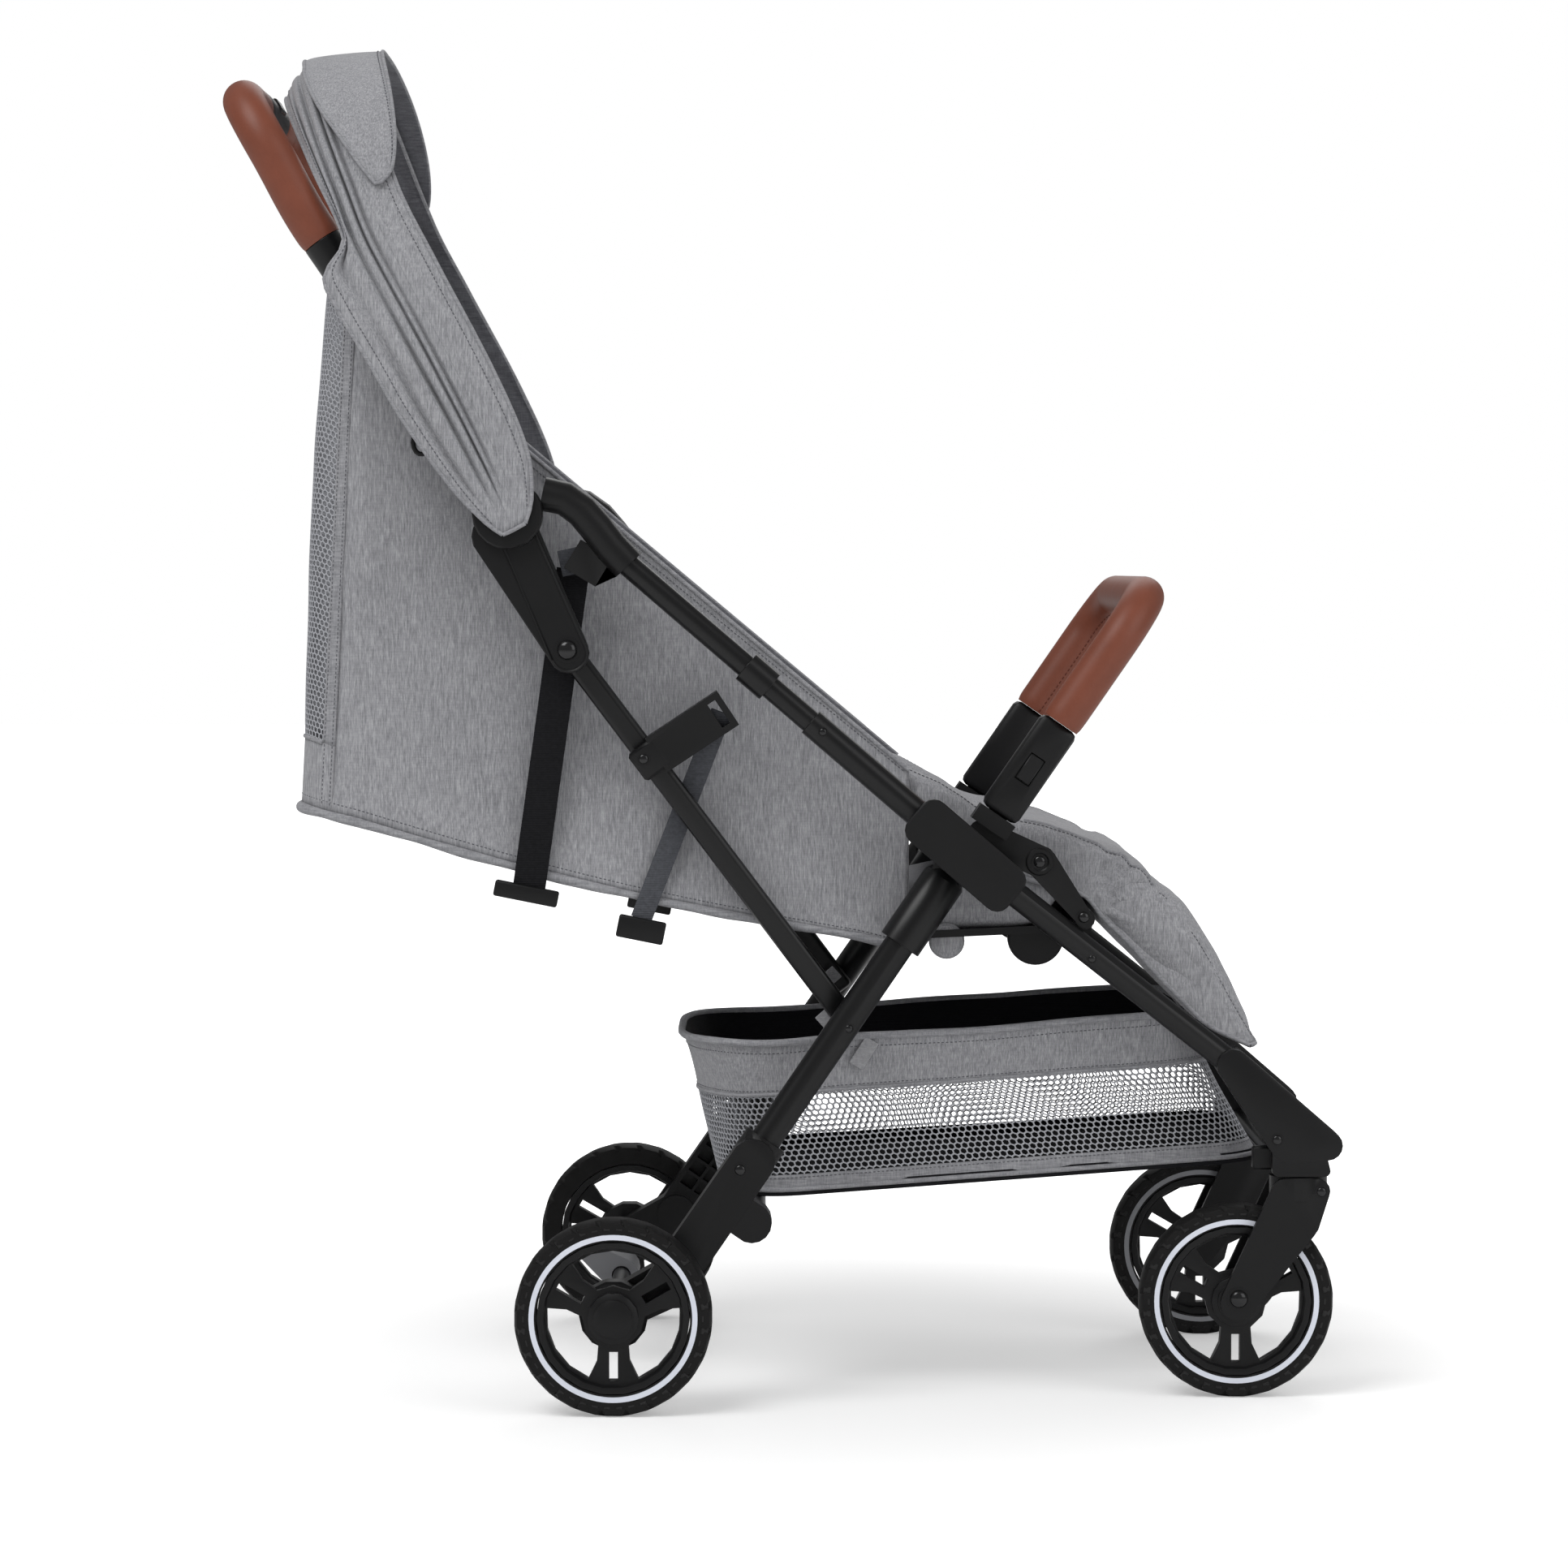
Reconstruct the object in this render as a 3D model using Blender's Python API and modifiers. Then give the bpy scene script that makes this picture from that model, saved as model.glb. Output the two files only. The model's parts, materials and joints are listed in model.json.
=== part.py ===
"""Folding stroller with a lie-flat seat, a sun canopy, a basket and four lugged wheels.

Frame: +X forward, +Y to the stroller's left, +Z up, floor at Z = 0, metres.
The side view is worked out from the fold pivot, where rail, front leg and rear leg meet.
"""

import math

import bmesh
import bpy
from mathutils import Matrix, Vector

SIDES = (("left", 1.0), ("right", -1.0))

# Clearances between pieces that seat on each other, and between pieces that turn
FIT_GAP = 0.0003
TURN_GAP = 0.0005
CLOTH_GAP = 0.0006

# Side view: wheels
WHEEL_RADIUS = 0.075
REAR_AXLE_X = -0.132
WHEELBASE = 0.481
CASTER_TRAIL = 0.0485

# Side view: the fold pivot, the rail and the legs, angles from +X towards +Z
PIVOT_FORWARD = 0.2677
PIVOT_HEIGHT = 0.4248
RAIL_ANGLE = 139.3
RAIL_LENGTH = 0.338
KNEE_AHEAD = 0.04056
KNEE_ABOVE = 0.02055
LEG_SHORT_OF_KNEE = 0.095
FRONT_LEG_END_BACK = 0.02637
FRONT_LEG_END_RISE = 0.06537
ELBOW_REACH = 0.0915
ELBOW_RISE = 0.039

# Side view: the four-bar linkage that locks the rear leg to the rail
ARM_LENGTH = 0.1155
ARM_ANGLE = -66.5
STRUT_PIN_DOWN_LEG = 0.158
FOLD_DEGREES = 60.0

# Side view: the handle
HANDLE_ANGLE = 124.4
HANDLE_TUBE_LENGTH = 0.2277
COLLAR_LENGTH = 0.0252
GRIP_ANGLE = 120.0
GRIP_LENGTH = 0.127

# Widths across the stroller
REAR_TRACK = 0.450
FRONT_TRACK = 0.292
FRAME_WIDTH = 0.384
HANDLE_WIDTH = 0.331
SEAT_WIDTH = 0.294

# Tubes
RAIL_RADIUS = 0.011
RAIL_THIN_RADIUS = 0.009
RAIL_RING_RADIUS = 0.0125
RAIL_RING_LENGTH = 0.024
RAIL_THICK_LENGTH = 0.152
RAIL_RING_BEYOND = 0.041
RAIL_IN_HUB = 0.003
REAR_LEG_RADIUS = 0.012
LEG_CORE_RADIUS = 0.0084
LEG_CORE_START = 0.0099
SLEEVE_RADIUS = 0.0172
SLEEVE_TOP_RADIUS = 0.0141
SLEEVE_START = 0.0213
SLEEVE_SHOULDER = 0.0048
SLEEVE_LENGTH = 0.065
FRONT_LEG_RADIUS = 0.010
FRONT_LEG_START = 0.0124
ELBOW_RADIUS = 0.013
ELBOW_START_REACH = 0.0305
ELBOW_START_ANGLE = 30.0
HANDLE_RADIUS = 0.0115
COLLAR_RADIUS = 0.0155
GRIP_RADIUS = 0.0165
GRIP_CORNER = 0.045
STRUT_WIDTH = 0.018
STRUT_THICKNESS = 0.012
STRUT_EDGE = 0.0043
STRUT_END = 0.0072
STRUT_LEG_GAP = 0.0024
SOCKET_DEPTH = 0.016
CROSS_TUBE_RADIUS = 0.011
FRONT_TUBE_RADIUS = 0.008
SEAT_TUBE_RADIUS = 0.008
BACK_TUBE_RADIUS = 0.006
AXLE_RADIUS = 0.007
BOLT_RADIUS = 0.004
PIN_RADIUS = 0.005
BEND_REACH = 0.38

# Fold hub
PILL_LENGTH = 0.100
PILL_WIDTH = 0.039
PILL_CORNER = 0.011
PILL_THICKNESS = 0.009
CHEEK_THICKNESS = 0.004
KNUCKLE_RADIUS = 0.0165
KNUCKLE_NECK_RADIUS = 0.0132
LEG_KNUCKLE_WIDTH = 0.0245
HUB_BLOCK_START = 0.021
HUB_BLOCK_END = 0.045
HUB_BLOCK_WIDTH = 0.0255
HUB_EYE_RADIUS = 0.0085
RIVET_LUG_REACH = 0.0592
RIVET_LUG_ANGLE = -6.6
LEG_REST_REACH = 0.1063
LEG_REST_ANGLE = -28.7
LUG_RADIUS = 0.0125
LEG_REST_LUG_RADIUS = 0.0065

# Handle hinge
HINGE_DISC_RADIUS = 0.0268
HINGE_DISC_THICKNESS = 0.0095
HANDLE_TUBE_START = 0.012
ARM_ROOT_RADIUS = 0.0170
ARM_SHOULDER_RADIUS = 0.0178
ARM_SHOULDER_REACH = 0.020
ARM_SHOULDER_ANGLE = -120.0
ARM_END_RADIUS = 0.0155
ARM_THICKNESS = 0.013
ARM_BOSS_RADIUS = 0.011
HINGE_GAP = 0.0026

# Bumper bar
BUMPER_ANGLE = 55.4
BUMPER_SEAT_REACH = 0.020
BUMPER_SEAT_ANGLE = 42.2
BUMPER_BASE_START = 0.0065
BUMPER_BASE_END = 0.0195
FITTING_LENGTH = 0.084
FITTING_WIDTH = 0.032
FITTING_THICKNESS = 0.021
BUMPER_GRIP_LENGTH = 0.118
BUMPER_GRIP_RADIUS = 0.0158
STUB_WIDTH = 0.016
STUB_THICKNESS = 0.009
STUB_LENGTH = 0.026
BUTTON_LENGTH = 0.022
BUTTON_WIDTH = 0.012
BUTTON_TRAVEL = 0.003
BUTTON_HEIGHT = 0.0075
BUTTON_RECESS = 0.00375
FOLD_BUTTON_LENGTH = 0.035
FOLD_POCKET_DEPTH = 0.009

# Wheels
REAR_TYRE_WIDTH = 0.030
FRONT_TYRE_WIDTH = 0.027
TYRE_DEPTH = 0.0165
TREAD_SHARE = 0.56
SHOULDER_DROP = 0.0022
LUG_COUNT = 24
LUG_LAND_DEGREES = 9.0
LUG_NOTCH = 0.0030
BARREL_THICKNESS = 0.0076
BARREL_SHARE = 0.80
BARREL_EDGE_SHARE = 0.35
SPOKE_COUNT = 3
SPOKE_THICKNESS = 0.011
SPOKE_ROOT_RADIUS = 0.024
SPOKE_ROOT_HALF_WIDTH = 0.0115
SPOKE_WAIST_RADIUS = 0.036
SPOKE_WAIST_HALF_WIDTH = 0.0125
SPOKE_TIP_HALF_WIDTH = 0.0190
SLOT_START = 0.0265
SLOT_END = 0.0485
SLOT_WIDTH = 0.0068
HUB_RADIUS = 0.0195
DRUM_RADIUS = 0.0265
HUB_CAP_RADIUS = 0.0152
HUB_CAP_RISE = 0.003
HUB_CAP_SHOULDER = 0.0039

# Rear bracket, front bracket and fork
BRACKET_THICKNESS = 0.024
BRACKET_SOCKET_RADIUS = 0.0172
SOCKET_BEFORE_KNEE = 0.132
BRACKET_SOCKET_LENGTH = 0.048
SOCKET_LIP_RADIUS = 0.0162
SOCKET_LIP_LENGTH = 0.0096
BRACKET_KNEE_RADIUS = 0.0180
BRACKET_SHANK_RADIUS = 0.0175
BRACKET_BOSS_RADIUS = 0.0162
BRACKET_AXLE_RADIUS = 0.0160
BRACKET_EYE_RADIUS = 0.0155
BRACKET_BOSS_RISE = 0.002
CROSS_TUBE_BEFORE_KNEE = 0.0757
CROSS_TUBE_AHEAD = 0.0261
POCKET_DEPTH = 0.011
POCKET_LENGTH = 0.0105
POCKET_WIDTH = 0.0118
POCKET_WALL = 0.0025
POCKET_ROWS = 5
POCKETS_BEFORE_KNEE = 0.0865
FRONT_BRACKET_FLOOR = 0.1735
FRONT_BRACKET_THICKNESS = 0.036
FRONT_SLEEVE_DEPTH = 0.034
FRONT_LEG_OUTBOARD = 0.005
FRONT_TUBE_BACK = 0.0160
FRONT_TUBE_RISE = 0.0092
CROOK_RADIUS = 0.0190
CROOK_BACK = 0.0075
CROOK_RISE = 0.0290
FOOT_CORNER = 0.0045
FOOT_HEIGHT = 0.0225
CROWN_RADIUS = 0.0225
CROWN_HEIGHT = 0.018
FORK_SHOULDER_RADIUS = 0.0095
FORK_SHOULDER_DROP = 0.0100
FORK_BEND_RADIUS = 0.0145
FORK_BEND_DROP = 0.0345
NOSE_RADIUS = 0.0115
NOSE_AHEAD = 0.0205
NOSE_RISE = 0.0240
MOUTH_RADIUS = 0.0125
CROWN_GAP = 0.0012
STEM_RADIUS = 0.006
STEM_LENGTH = 0.012
LOCK_LENGTH = 0.017
LOCK_WIDTH = 0.011
LOCK_HEIGHT = 0.018
LOCK_SINK = 0.003
LOCK_TRAVEL = 0.004
FORK_PLATE = 0.005
FORK_BOSS_RADIUS = 0.0135
FORK_CLEARANCE = 0.003

# Brake pedal
PEDAL_LENGTH = 0.043
PEDAL_ANGLE = 145.0
PEDAL_WIDTH = 0.050
PEDAL_COLLAR_RADIUS = 0.014
PEDAL_EDGE_RADIUS = 0.0056

# Seat
SEAT_HINGE_BACK = 0.0792
SEAT_HINGE_BELOW = 0.0588
BASE_THICKNESS = 0.006
BASE_END_SHARE = 0.90
BACK_PAD_ANGLE = 167.0
BACK_PAD_LENGTH = 0.390
BUCKET_LENGTH = 0.4355
BUCKET_LEAN = 0.022
BUCKET_TOP_LINE = ((-0.4857, 0.4352), (-0.3022, 0.2804), (-0.0220, 0.0460))
BUCKET_FRONT = 0.0410
HEM_SAG = 0.008
BACK_PAD_THICKNESS = 0.022
BACK_PAD_SETBACK = 0.0484
PANEL_THICKNESS = 0.004
SEAT_SIDE_GAP = 0.0018
BUCKET_CORNER = 0.045
LEG_REST_EDGE = 0.0055
LEG_REST_SECTION = (
    (0.0135, 0.0420), (0.0500, 0.0235), (0.0740, 0.0065), (0.1020, -0.0355),
    (0.1300, -0.0925), (0.0970, -0.0795), (0.0375, -0.0160), (0.0135, 0.0035),
)
CUSHION_SECTION = (
    (0.12, -0.0057), (0.80, -0.0057), (0.93, 0.0155), (0.95, 0.0400),
    (0.84, 0.0550), (0.45, 0.0315), (0.14, 0.0225), (0.08, 0.0105),
)
CUSHION_EDGE = 0.0048
BUCKLE_LENGTH = 0.034
BUCKLE_WIDTH = 0.040
BUCKLE_THICKNESS = 0.012

# Basket
BASKET_REAR_HALF_WIDTH = 0.146
BASKET_FRONT_HALF_WIDTH = 0.118
BASKET_WALL = 0.003
BASKET_REAR_RIM_HEIGHT = 0.2675
BASKET_FRONT_RIM_HEIGHT = 0.296
BASKET_REAR_LEAN = 0.030
BASKET_REAR_OVERHANG = 0.026
BASKET_FRONT_LEAN = 0.058
BASKET_FLOOR_SHARE = 0.90
BASKET_CORNER_ALONG = 0.10
BASKET_CORNER_ACROSS = 0.28

# Canopy, measured along and ahead of the line that leaves the handle hinge at this angle
CANOPY_ANGLE = 117.0
CANOPY_HEIGHT = 0.381
CANOPY_WALL = 0.004
CANOPY_SQUARENESS = 3.2
CANOPY_GAP_SHARE = 0.02
CANOPY_PUFF = 0.003
CANOPY_FOLDS = (0.0, 0.34, 0.62, 1.0)
CANOPY_CROWN = ((0.0, 0.988), (0.2, 1.018), (0.35, 1.026), (1.0, 0.995))
CANOPY_ROWS = (-0.034, -0.014, 0.03, 0.09, 0.19, 0.36, 0.52, 0.66, 0.69, 0.73, 0.78, 0.86, 0.93, 0.975, 0.995, 1.0)
CANOPY_REAR_EDGE = (
    (-0.013, -0.010), (0.0, -0.017), (0.036, -0.028),
    (0.10, -0.040), (0.20, -0.043), (0.25, -0.016), (0.40, -0.013),
)
CANOPY_FRONT_EDGE = (
    (-0.013, 0.009), (0.0, 0.021), (0.034, 0.035), (0.10, 0.040), (0.21, 0.038),
    (0.25, 0.033), (0.263, 0.027), (0.278, 0.045), (0.295, 0.057), (0.33, 0.068), (0.40, 0.076),
)

# Straps
STRAP_WIDTH = 0.025
STRAP_THICKNESS = 0.002
STRAP_LENGTH = 0.262
STRAP_LEAN = 0.036
STRAP_TOP_BACK = 0.045
STRAP_TOP_RISE = 0.008
STRAP_LUG_REACH = 0.031
STRAP_LUG_ANGLE = 177.0
STRAP_LUG_TILT = -31.0
STRAP_LUG_LENGTH = 0.028
STRAP_LUG_WIDTH = 0.025
STRAP_LUG_THICKNESS = 0.0125
GUIDE_ANGLE = 33.5
GUIDE_LENGTH = 0.072
GUIDE_WIDTH = 0.031
GUIDE_DOWN_STRUT = 0.101
GUIDE_FOOT_WIDTH = 0.024
GUIDE_THICKNESS = 0.011
GUIDE_SLOT_LENGTH = 0.007
GUIDE_SLOT_WIDTH = 0.021
GUIDE_SLOT_EDGE = 0.005


def clear_scene():
    """Removes whatever the scene holds."""
    for obj in list(bpy.data.objects):
        bpy.data.objects.remove(obj, do_unlink=True)


def make_collection(name):
    """A new collection under the scene's own."""
    made = bpy.data.collections.new(name)
    bpy.context.scene.collection.children.link(made)
    return made


def make_material(name, colour, roughness, metallic=0.0):
    """A Principled material."""
    made = bpy.data.materials.new(name)
    made.use_nodes = True
    shader = made.node_tree.nodes["Principled BSDF"]
    shader.inputs["Base Color"].default_value = (*colour, 1.0)
    shader.inputs["Roughness"].default_value = roughness
    shader.inputs["Metallic"].default_value = metallic
    made.diffuse_color = (*colour, 1.0)
    return made


clear_scene()
PARTS = make_collection("stroller")
TOOLS = make_collection("cutters")

TUBE_BLACK = make_material("tube_black", (0.012, 0.012, 0.013), 0.32, 0.4)
PLASTIC = make_material("plastic_black", (0.014, 0.014, 0.015), 0.48)
RUBBER = make_material("tyre_rubber", (0.016, 0.015, 0.015), 0.75)
LEATHER = make_material("leather", (0.17, 0.048, 0.026), 0.5)
FABRIC = make_material("heather_fabric", (0.29, 0.29, 0.305), 0.95)
PADDING = make_material("padding", (0.22, 0.22, 0.235), 0.95)
WEBBING = make_material("webbing", (0.02, 0.02, 0.022), 0.8)
PEDAL_GREY = make_material("pedal_grey", (0.16, 0.16, 0.17), 0.55)


def polar(origin, distance, degrees):
    """The side-view point (x, z) at a distance and angle from another."""
    turn = math.radians(degrees)
    return Vector((origin[0] + distance * math.cos(turn), origin[1] + distance * math.sin(turn)))


def direction(start, end):
    """The angle from +X towards +Z of the line from one side-view point to another."""
    return math.degrees(math.atan2(end.y - start.y, end.x - start.x))


def at_y(point, y):
    """The 3-D point over a side-view point."""
    return Vector((point[0], y, point[1]))


def mix(low, high, share):
    """A value or vector between two others."""
    return low + (high - low) * share


# Side view: the points that the pieces share
REAR_AXLE = Vector((REAR_AXLE_X, WHEEL_RADIUS))
FRONT_AXLE = Vector((REAR_AXLE_X + WHEELBASE, WHEEL_RADIUS))
PIVOT = Vector((REAR_AXLE_X + PIVOT_FORWARD, PIVOT_HEIGHT))
RAIL_TOP = polar(PIVOT, RAIL_LENGTH, RAIL_ANGLE)
HANDLE_PIVOT = RAIL_TOP + Vector((-ELBOW_REACH, ELBOW_RISE))
ARM_PIN = polar(HANDLE_PIVOT, ARM_LENGTH, ARM_ANGLE)
KNEE = REAR_AXLE + Vector((KNEE_AHEAD, KNEE_ABOVE))
KNEE_DOWN_LEG = (KNEE - PIVOT).length
REAR_LEG_ANGLE = direction(PIVOT, KNEE)
REAR_LEG_LENGTH = KNEE_DOWN_LEG - LEG_SHORT_OF_KNEE
REAR_LEG_END = polar(PIVOT, REAR_LEG_LENGTH, REAR_LEG_ANGLE)
STRUT_PIN = polar(PIVOT, STRUT_PIN_DOWN_LEG, REAR_LEG_ANGLE)
CASTER_X = FRONT_AXLE.x + CASTER_TRAIL
FRONT_LEG_END = Vector((CASTER_X - FRONT_LEG_END_BACK, FRONT_BRACKET_FLOOR + FRONT_LEG_END_RISE))
FRONT_LEG_ANGLE = direction(PIVOT, FRONT_LEG_END)
RIVET_LUG = polar(PIVOT, RIVET_LUG_REACH, RIVET_LUG_ANGLE)
LEG_REST_PIVOT = polar(PIVOT, LEG_REST_REACH, LEG_REST_ANGLE)
BUMPER_SEAT = polar(PIVOT, BUMPER_SEAT_REACH, BUMPER_SEAT_ANGLE)
COLLAR_TOP = polar(HANDLE_PIVOT, HANDLE_TUBE_LENGTH + COLLAR_LENGTH, HANDLE_ANGLE)
SEAT_HINGE = PIVOT - Vector((SEAT_HINGE_BACK, SEAT_HINGE_BELOW))
CROSS_TUBE_FOOT = polar(KNEE, -CROSS_TUBE_BEFORE_KNEE, REAR_LEG_ANGLE)
CROSS_TUBE = polar(CROSS_TUBE_FOOT, CROSS_TUBE_AHEAD, REAR_LEG_ANGLE + 90.0)

# Layers across the stroller, from the rail's plane outwards and inwards
FRAME_Y = FRAME_WIDTH / 2
PILL_INNER = FRAME_Y + RAIL_RADIUS + TURN_GAP
PILL_OUTER = PILL_INNER + PILL_THICKNESS
CHEEK_OUTER = FRAME_Y - RAIL_RADIUS - TURN_GAP
CHEEK_INNER = CHEEK_OUTER - CHEEK_THICKNESS
LEG_KNUCKLE_OUTER = CHEEK_INNER - TURN_GAP
LEG_KNUCKLE_INNER = LEG_KNUCKLE_OUTER - LEG_KNUCKLE_WIDTH
REAR_LEG_TOP_Y = (LEG_KNUCKLE_OUTER + LEG_KNUCKLE_INNER) / 2
REAR_WHEEL_Y = REAR_TRACK / 2
REAR_HUB_INNER = REAR_WHEEL_Y - HUB_RADIUS
BRACKET_OUTER = REAR_HUB_INNER - TURN_GAP
BRACKET_INNER = BRACKET_OUTER - BRACKET_THICKNESS
REAR_LEG_END_Y = (BRACKET_OUTER + BRACKET_INNER) / 2
FRONT_WHEEL_Y = FRONT_TRACK / 2
ARM_OUTER = FRAME_Y + ARM_THICKNESS / 2
ARM_INNER = FRAME_Y - ARM_THICKNESS / 2
DISC_INNER = ARM_OUTER + TURN_GAP
DISC_OUTER = DISC_INNER + HINGE_DISC_THICKNESS
HANDLE_Y = HANDLE_WIDTH / 2
HANDLE_KNUCKLE_OUTER = HANDLE_Y + COLLAR_RADIUS - HINGE_GAP
CANOPY_INNER = DISC_OUTER + TURN_GAP
CANOPY_OUTER = CANOPY_INNER + CANOPY_WALL
BUMPER_Y = (CHEEK_INNER + CHEEK_OUTER) / 2
FRONT_LEG_END_Y = FRONT_WHEEL_Y + FRONT_LEG_OUTBOARD
STRUT_TOP_Y = ARM_INNER - TURN_GAP * 2 - STRUT_THICKNESS / 2
SEAT_Y = SEAT_WIDTH / 2
SEAT_INSIDE_Y = SEAT_Y - PANEL_THICKNESS - SEAT_SIDE_GAP


def leg_y(distance):
    """How far out the rear leg's centre line lies, this far below the pivot."""
    return mix(REAR_LEG_TOP_Y, REAR_LEG_END_Y, distance / KNEE_DOWN_LEG)


STRUT_LOW_Y = leg_y(STRUT_PIN_DOWN_LEG) - REAR_LEG_RADIUS - STRUT_LEG_GAP - STRUT_THICKNESS / 2


def finish_mesh(name, mesh, material, sharp=35.0):
    """An object for a mesh, shaded smooth but for its sharp edges."""
    mesh.materials.clear()
    mesh.materials.append(material)
    mesh.shade_smooth()
    mesh.set_sharp_from_angle(angle=math.radians(sharp))
    made = bpy.data.objects.new(name, mesh)
    PARTS.objects.link(made)
    return made


def from_bmesh(name, built, material):
    """An object for a bmesh."""
    mesh = bpy.data.meshes.new(name)
    bmesh.ops.recalc_face_normals(built, faces=built.faces[:])
    built.to_mesh(mesh)
    built.free()
    return finish_mesh(name, mesh, material)


def solid_of(curve_object, material):
    """The closed mesh object that takes a curve object's place."""
    bpy.context.view_layer.update()
    graph = bpy.context.evaluated_depsgraph_get()
    mesh = bpy.data.meshes.new_from_object(curve_object.evaluated_get(graph))
    built = bmesh.new()
    built.from_mesh(mesh)
    bmesh.ops.remove_doubles(built, verts=built.verts[:], dist=0.00002)
    built.to_mesh(mesh)
    built.free()
    name = curve_object.name
    place = curve_object.matrix_world.copy()
    bpy.data.objects.remove(curve_object, do_unlink=True)
    made = finish_mesh(name, mesh, material)
    made.name = name
    made.matrix_world = place
    return made


def plate(name, outlines, y_low, y_high, material):
    """A flat piece: outlines in the side view, the first its edge and the others its holes."""
    shape = bpy.data.curves.new(name, "CURVE")
    shape.dimensions = "2D"
    shape.fill_mode = "BOTH"
    shape.extrude = abs(y_high - y_low) / 2
    for outline in outlines:
        spline = shape.splines.new("POLY")
        spline.points.add(len(outline) - 1)
        for point, (x, z) in zip(spline.points, outline):
            point.co = (x, z, 0.0, 1.0)
        spline.use_cyclic_u = True
    made = bpy.data.objects.new(name, shape)
    made.rotation_euler = (math.pi / 2, 0.0, 0.0)
    made.location = (0.0, (y_low + y_high) / 2, 0.0)
    PARTS.objects.link(made)
    return solid_of(made, material)


def tube(name, points, radius, material, fineness=4):
    """A round bar along points, with 4 + 2 * fineness sides."""
    path = bpy.data.curves.new(name, "CURVE")
    path.dimensions = "3D"
    path.bevel_depth = radius
    path.bevel_resolution = fineness
    path.use_fill_caps = True
    spline = path.splines.new("POLY")
    spline.points.add(len(points) - 1)
    for point, place in zip(spline.points, points):
        point.co = (*place, 1.0)
    made = bpy.data.objects.new(name, path)
    PARTS.objects.link(made)
    return solid_of(made, material)


def turned(name, profile, start, along, steps, material):
    """A turned piece: (radius, distance from start) from its far end back to start."""
    mesh = bpy.data.meshes.new(name)
    edges = [(i, i + 1) for i in range(len(profile) - 1)]
    mesh.from_pydata([(radius, 0.0, height) for radius, height in profile], edges, [])
    made = bpy.data.objects.new(name, mesh)
    PARTS.objects.link(made)
    mesh.materials.append(material)
    screw = made.modifiers.new("Turn", "SCREW")
    screw.steps = steps
    screw.render_steps = steps
    screw.use_merge_vertices = True
    screw.merge_threshold = 0.00005
    screw.use_smooth_shade = True
    made.location = start
    made.rotation_euler = Vector((0.0, 0.0, 1.0)).rotation_difference(along.normalized()).to_euler()
    return made


def rod(name, start, end, radius, material, steps=14):
    """A straight round bar between two points."""
    along = end - start
    length = along.length
    profile = [(0.0, length), (radius, length), (radius, 0.0), (0.0, 0.0)]
    return turned(name, profile, start, along, steps, material)


def oriented_box(name, centre, along, across, sizes, material):
    """A box whose sides follow two directions, sizes along, across and through."""
    first = along.normalized()
    second = (across - across.dot(first) * first).normalized()
    third = first.cross(second)
    turn = Matrix((first, second, third)).transposed().to_4x4()
    built = bmesh.new()
    bmesh.ops.create_cube(built, size=1.0)
    bmesh.ops.scale(built, vec=sizes, verts=built.verts[:])
    bmesh.ops.transform(built, matrix=Matrix.Translation(centre) @ turn, verts=built.verts[:])
    return from_bmesh(name, built, material)


def soften(made, width, segments=1, angle=40.0):
    """Rounds a piece's sharp edges."""
    bevel = made.modifiers.new("Rounded edges", "BEVEL")
    bevel.width = width
    bevel.segments = segments
    bevel.limit_method = "ANGLE"
    bevel.angle_limit = math.radians(angle)
    return made


def put_away(tool):
    """Moves a cutter, or a shape joined into another, out of the parts."""
    PARTS.objects.unlink(tool)
    TOOLS.objects.link(tool)
    tool.hide_render = True
    tool.display_type = "WIRE"


def boolean(made, tool, operation):
    """Joins or cuts a piece with another shape."""
    step = made.modifiers.new(tool.name, "BOOLEAN")
    step.operation = operation
    step.object = tool
    put_away(tool)
    return made


def join(made, *tools):
    """Fuses shapes into a piece."""
    for tool in tools:
        boolean(made, tool, "UNION")
    return made


def cut(made, *tools):
    """Cuts shapes out of a piece."""
    for tool in tools:
        boolean(made, tool, "DIFFERENCE")
    return made


def circle(centre, radius, steps=16, start=0.0):
    """Side-view points round a circle."""
    return [polar(centre, radius, start + 360.0 * i / steps) for i in range(steps)]


def belt(*discs, steps=16):
    """The outline of a belt round some discs, each a centre and a radius."""
    cloud = sorted({(round(p.x, 7), round(p.y, 7)) for c, r in discs for p in circle(c, r, steps)})

    def chain(points):
        kept = []
        for p in points:
            while len(kept) > 1 and turns_right(kept[-2], kept[-1], p):
                kept.pop()
            kept.append(p)
        return kept[:-1]

    return chain(cloud) + chain(cloud[::-1])


def turns_right(a, b, c):
    """Whether the walk from a over b to c turns right, or goes straight on."""
    return (b[0] - a[0]) * (c[1] - a[1]) - (b[1] - a[1]) * (c[0] - a[0]) <= 1e-9


def bent(start, start_angle, end, end_angle, steps):
    """Side-view points along a smooth bend that leaves and arrives at given angles."""
    reach = (end - start).length * BEND_REACH
    first = polar(start, reach, start_angle)
    second = polar(end, -reach, end_angle)
    points = []
    for i in range(steps + 1):
        t = i / steps
        points.append(
            (1 - t) ** 3 * start + 3 * (1 - t) ** 2 * t * first
            + 3 * (1 - t) * t**2 * second + t**3 * end
        )
    return points


def grip_path(side_points, half_width, corner, steps):
    """The U of a grip: up one side, round two corners and down the other side."""
    top = side_points[-1]
    rise = (side_points[-1] - side_points[-2]).normalized()
    path = [at_y(point, half_width) for point in side_points[:-1]]
    for i in range(steps + 1):
        turn = math.radians(90.0 * i / steps)
        bend = top + rise * corner * (math.sin(turn) - 1.0)
        path.append(at_y(bend, half_width - corner * (1.0 - math.cos(turn))))
    mirrored = [Vector((p.x, -p.y, p.z)) for p in reversed(path)]
    return path + mirrored


BODY_AXES = {}


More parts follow.
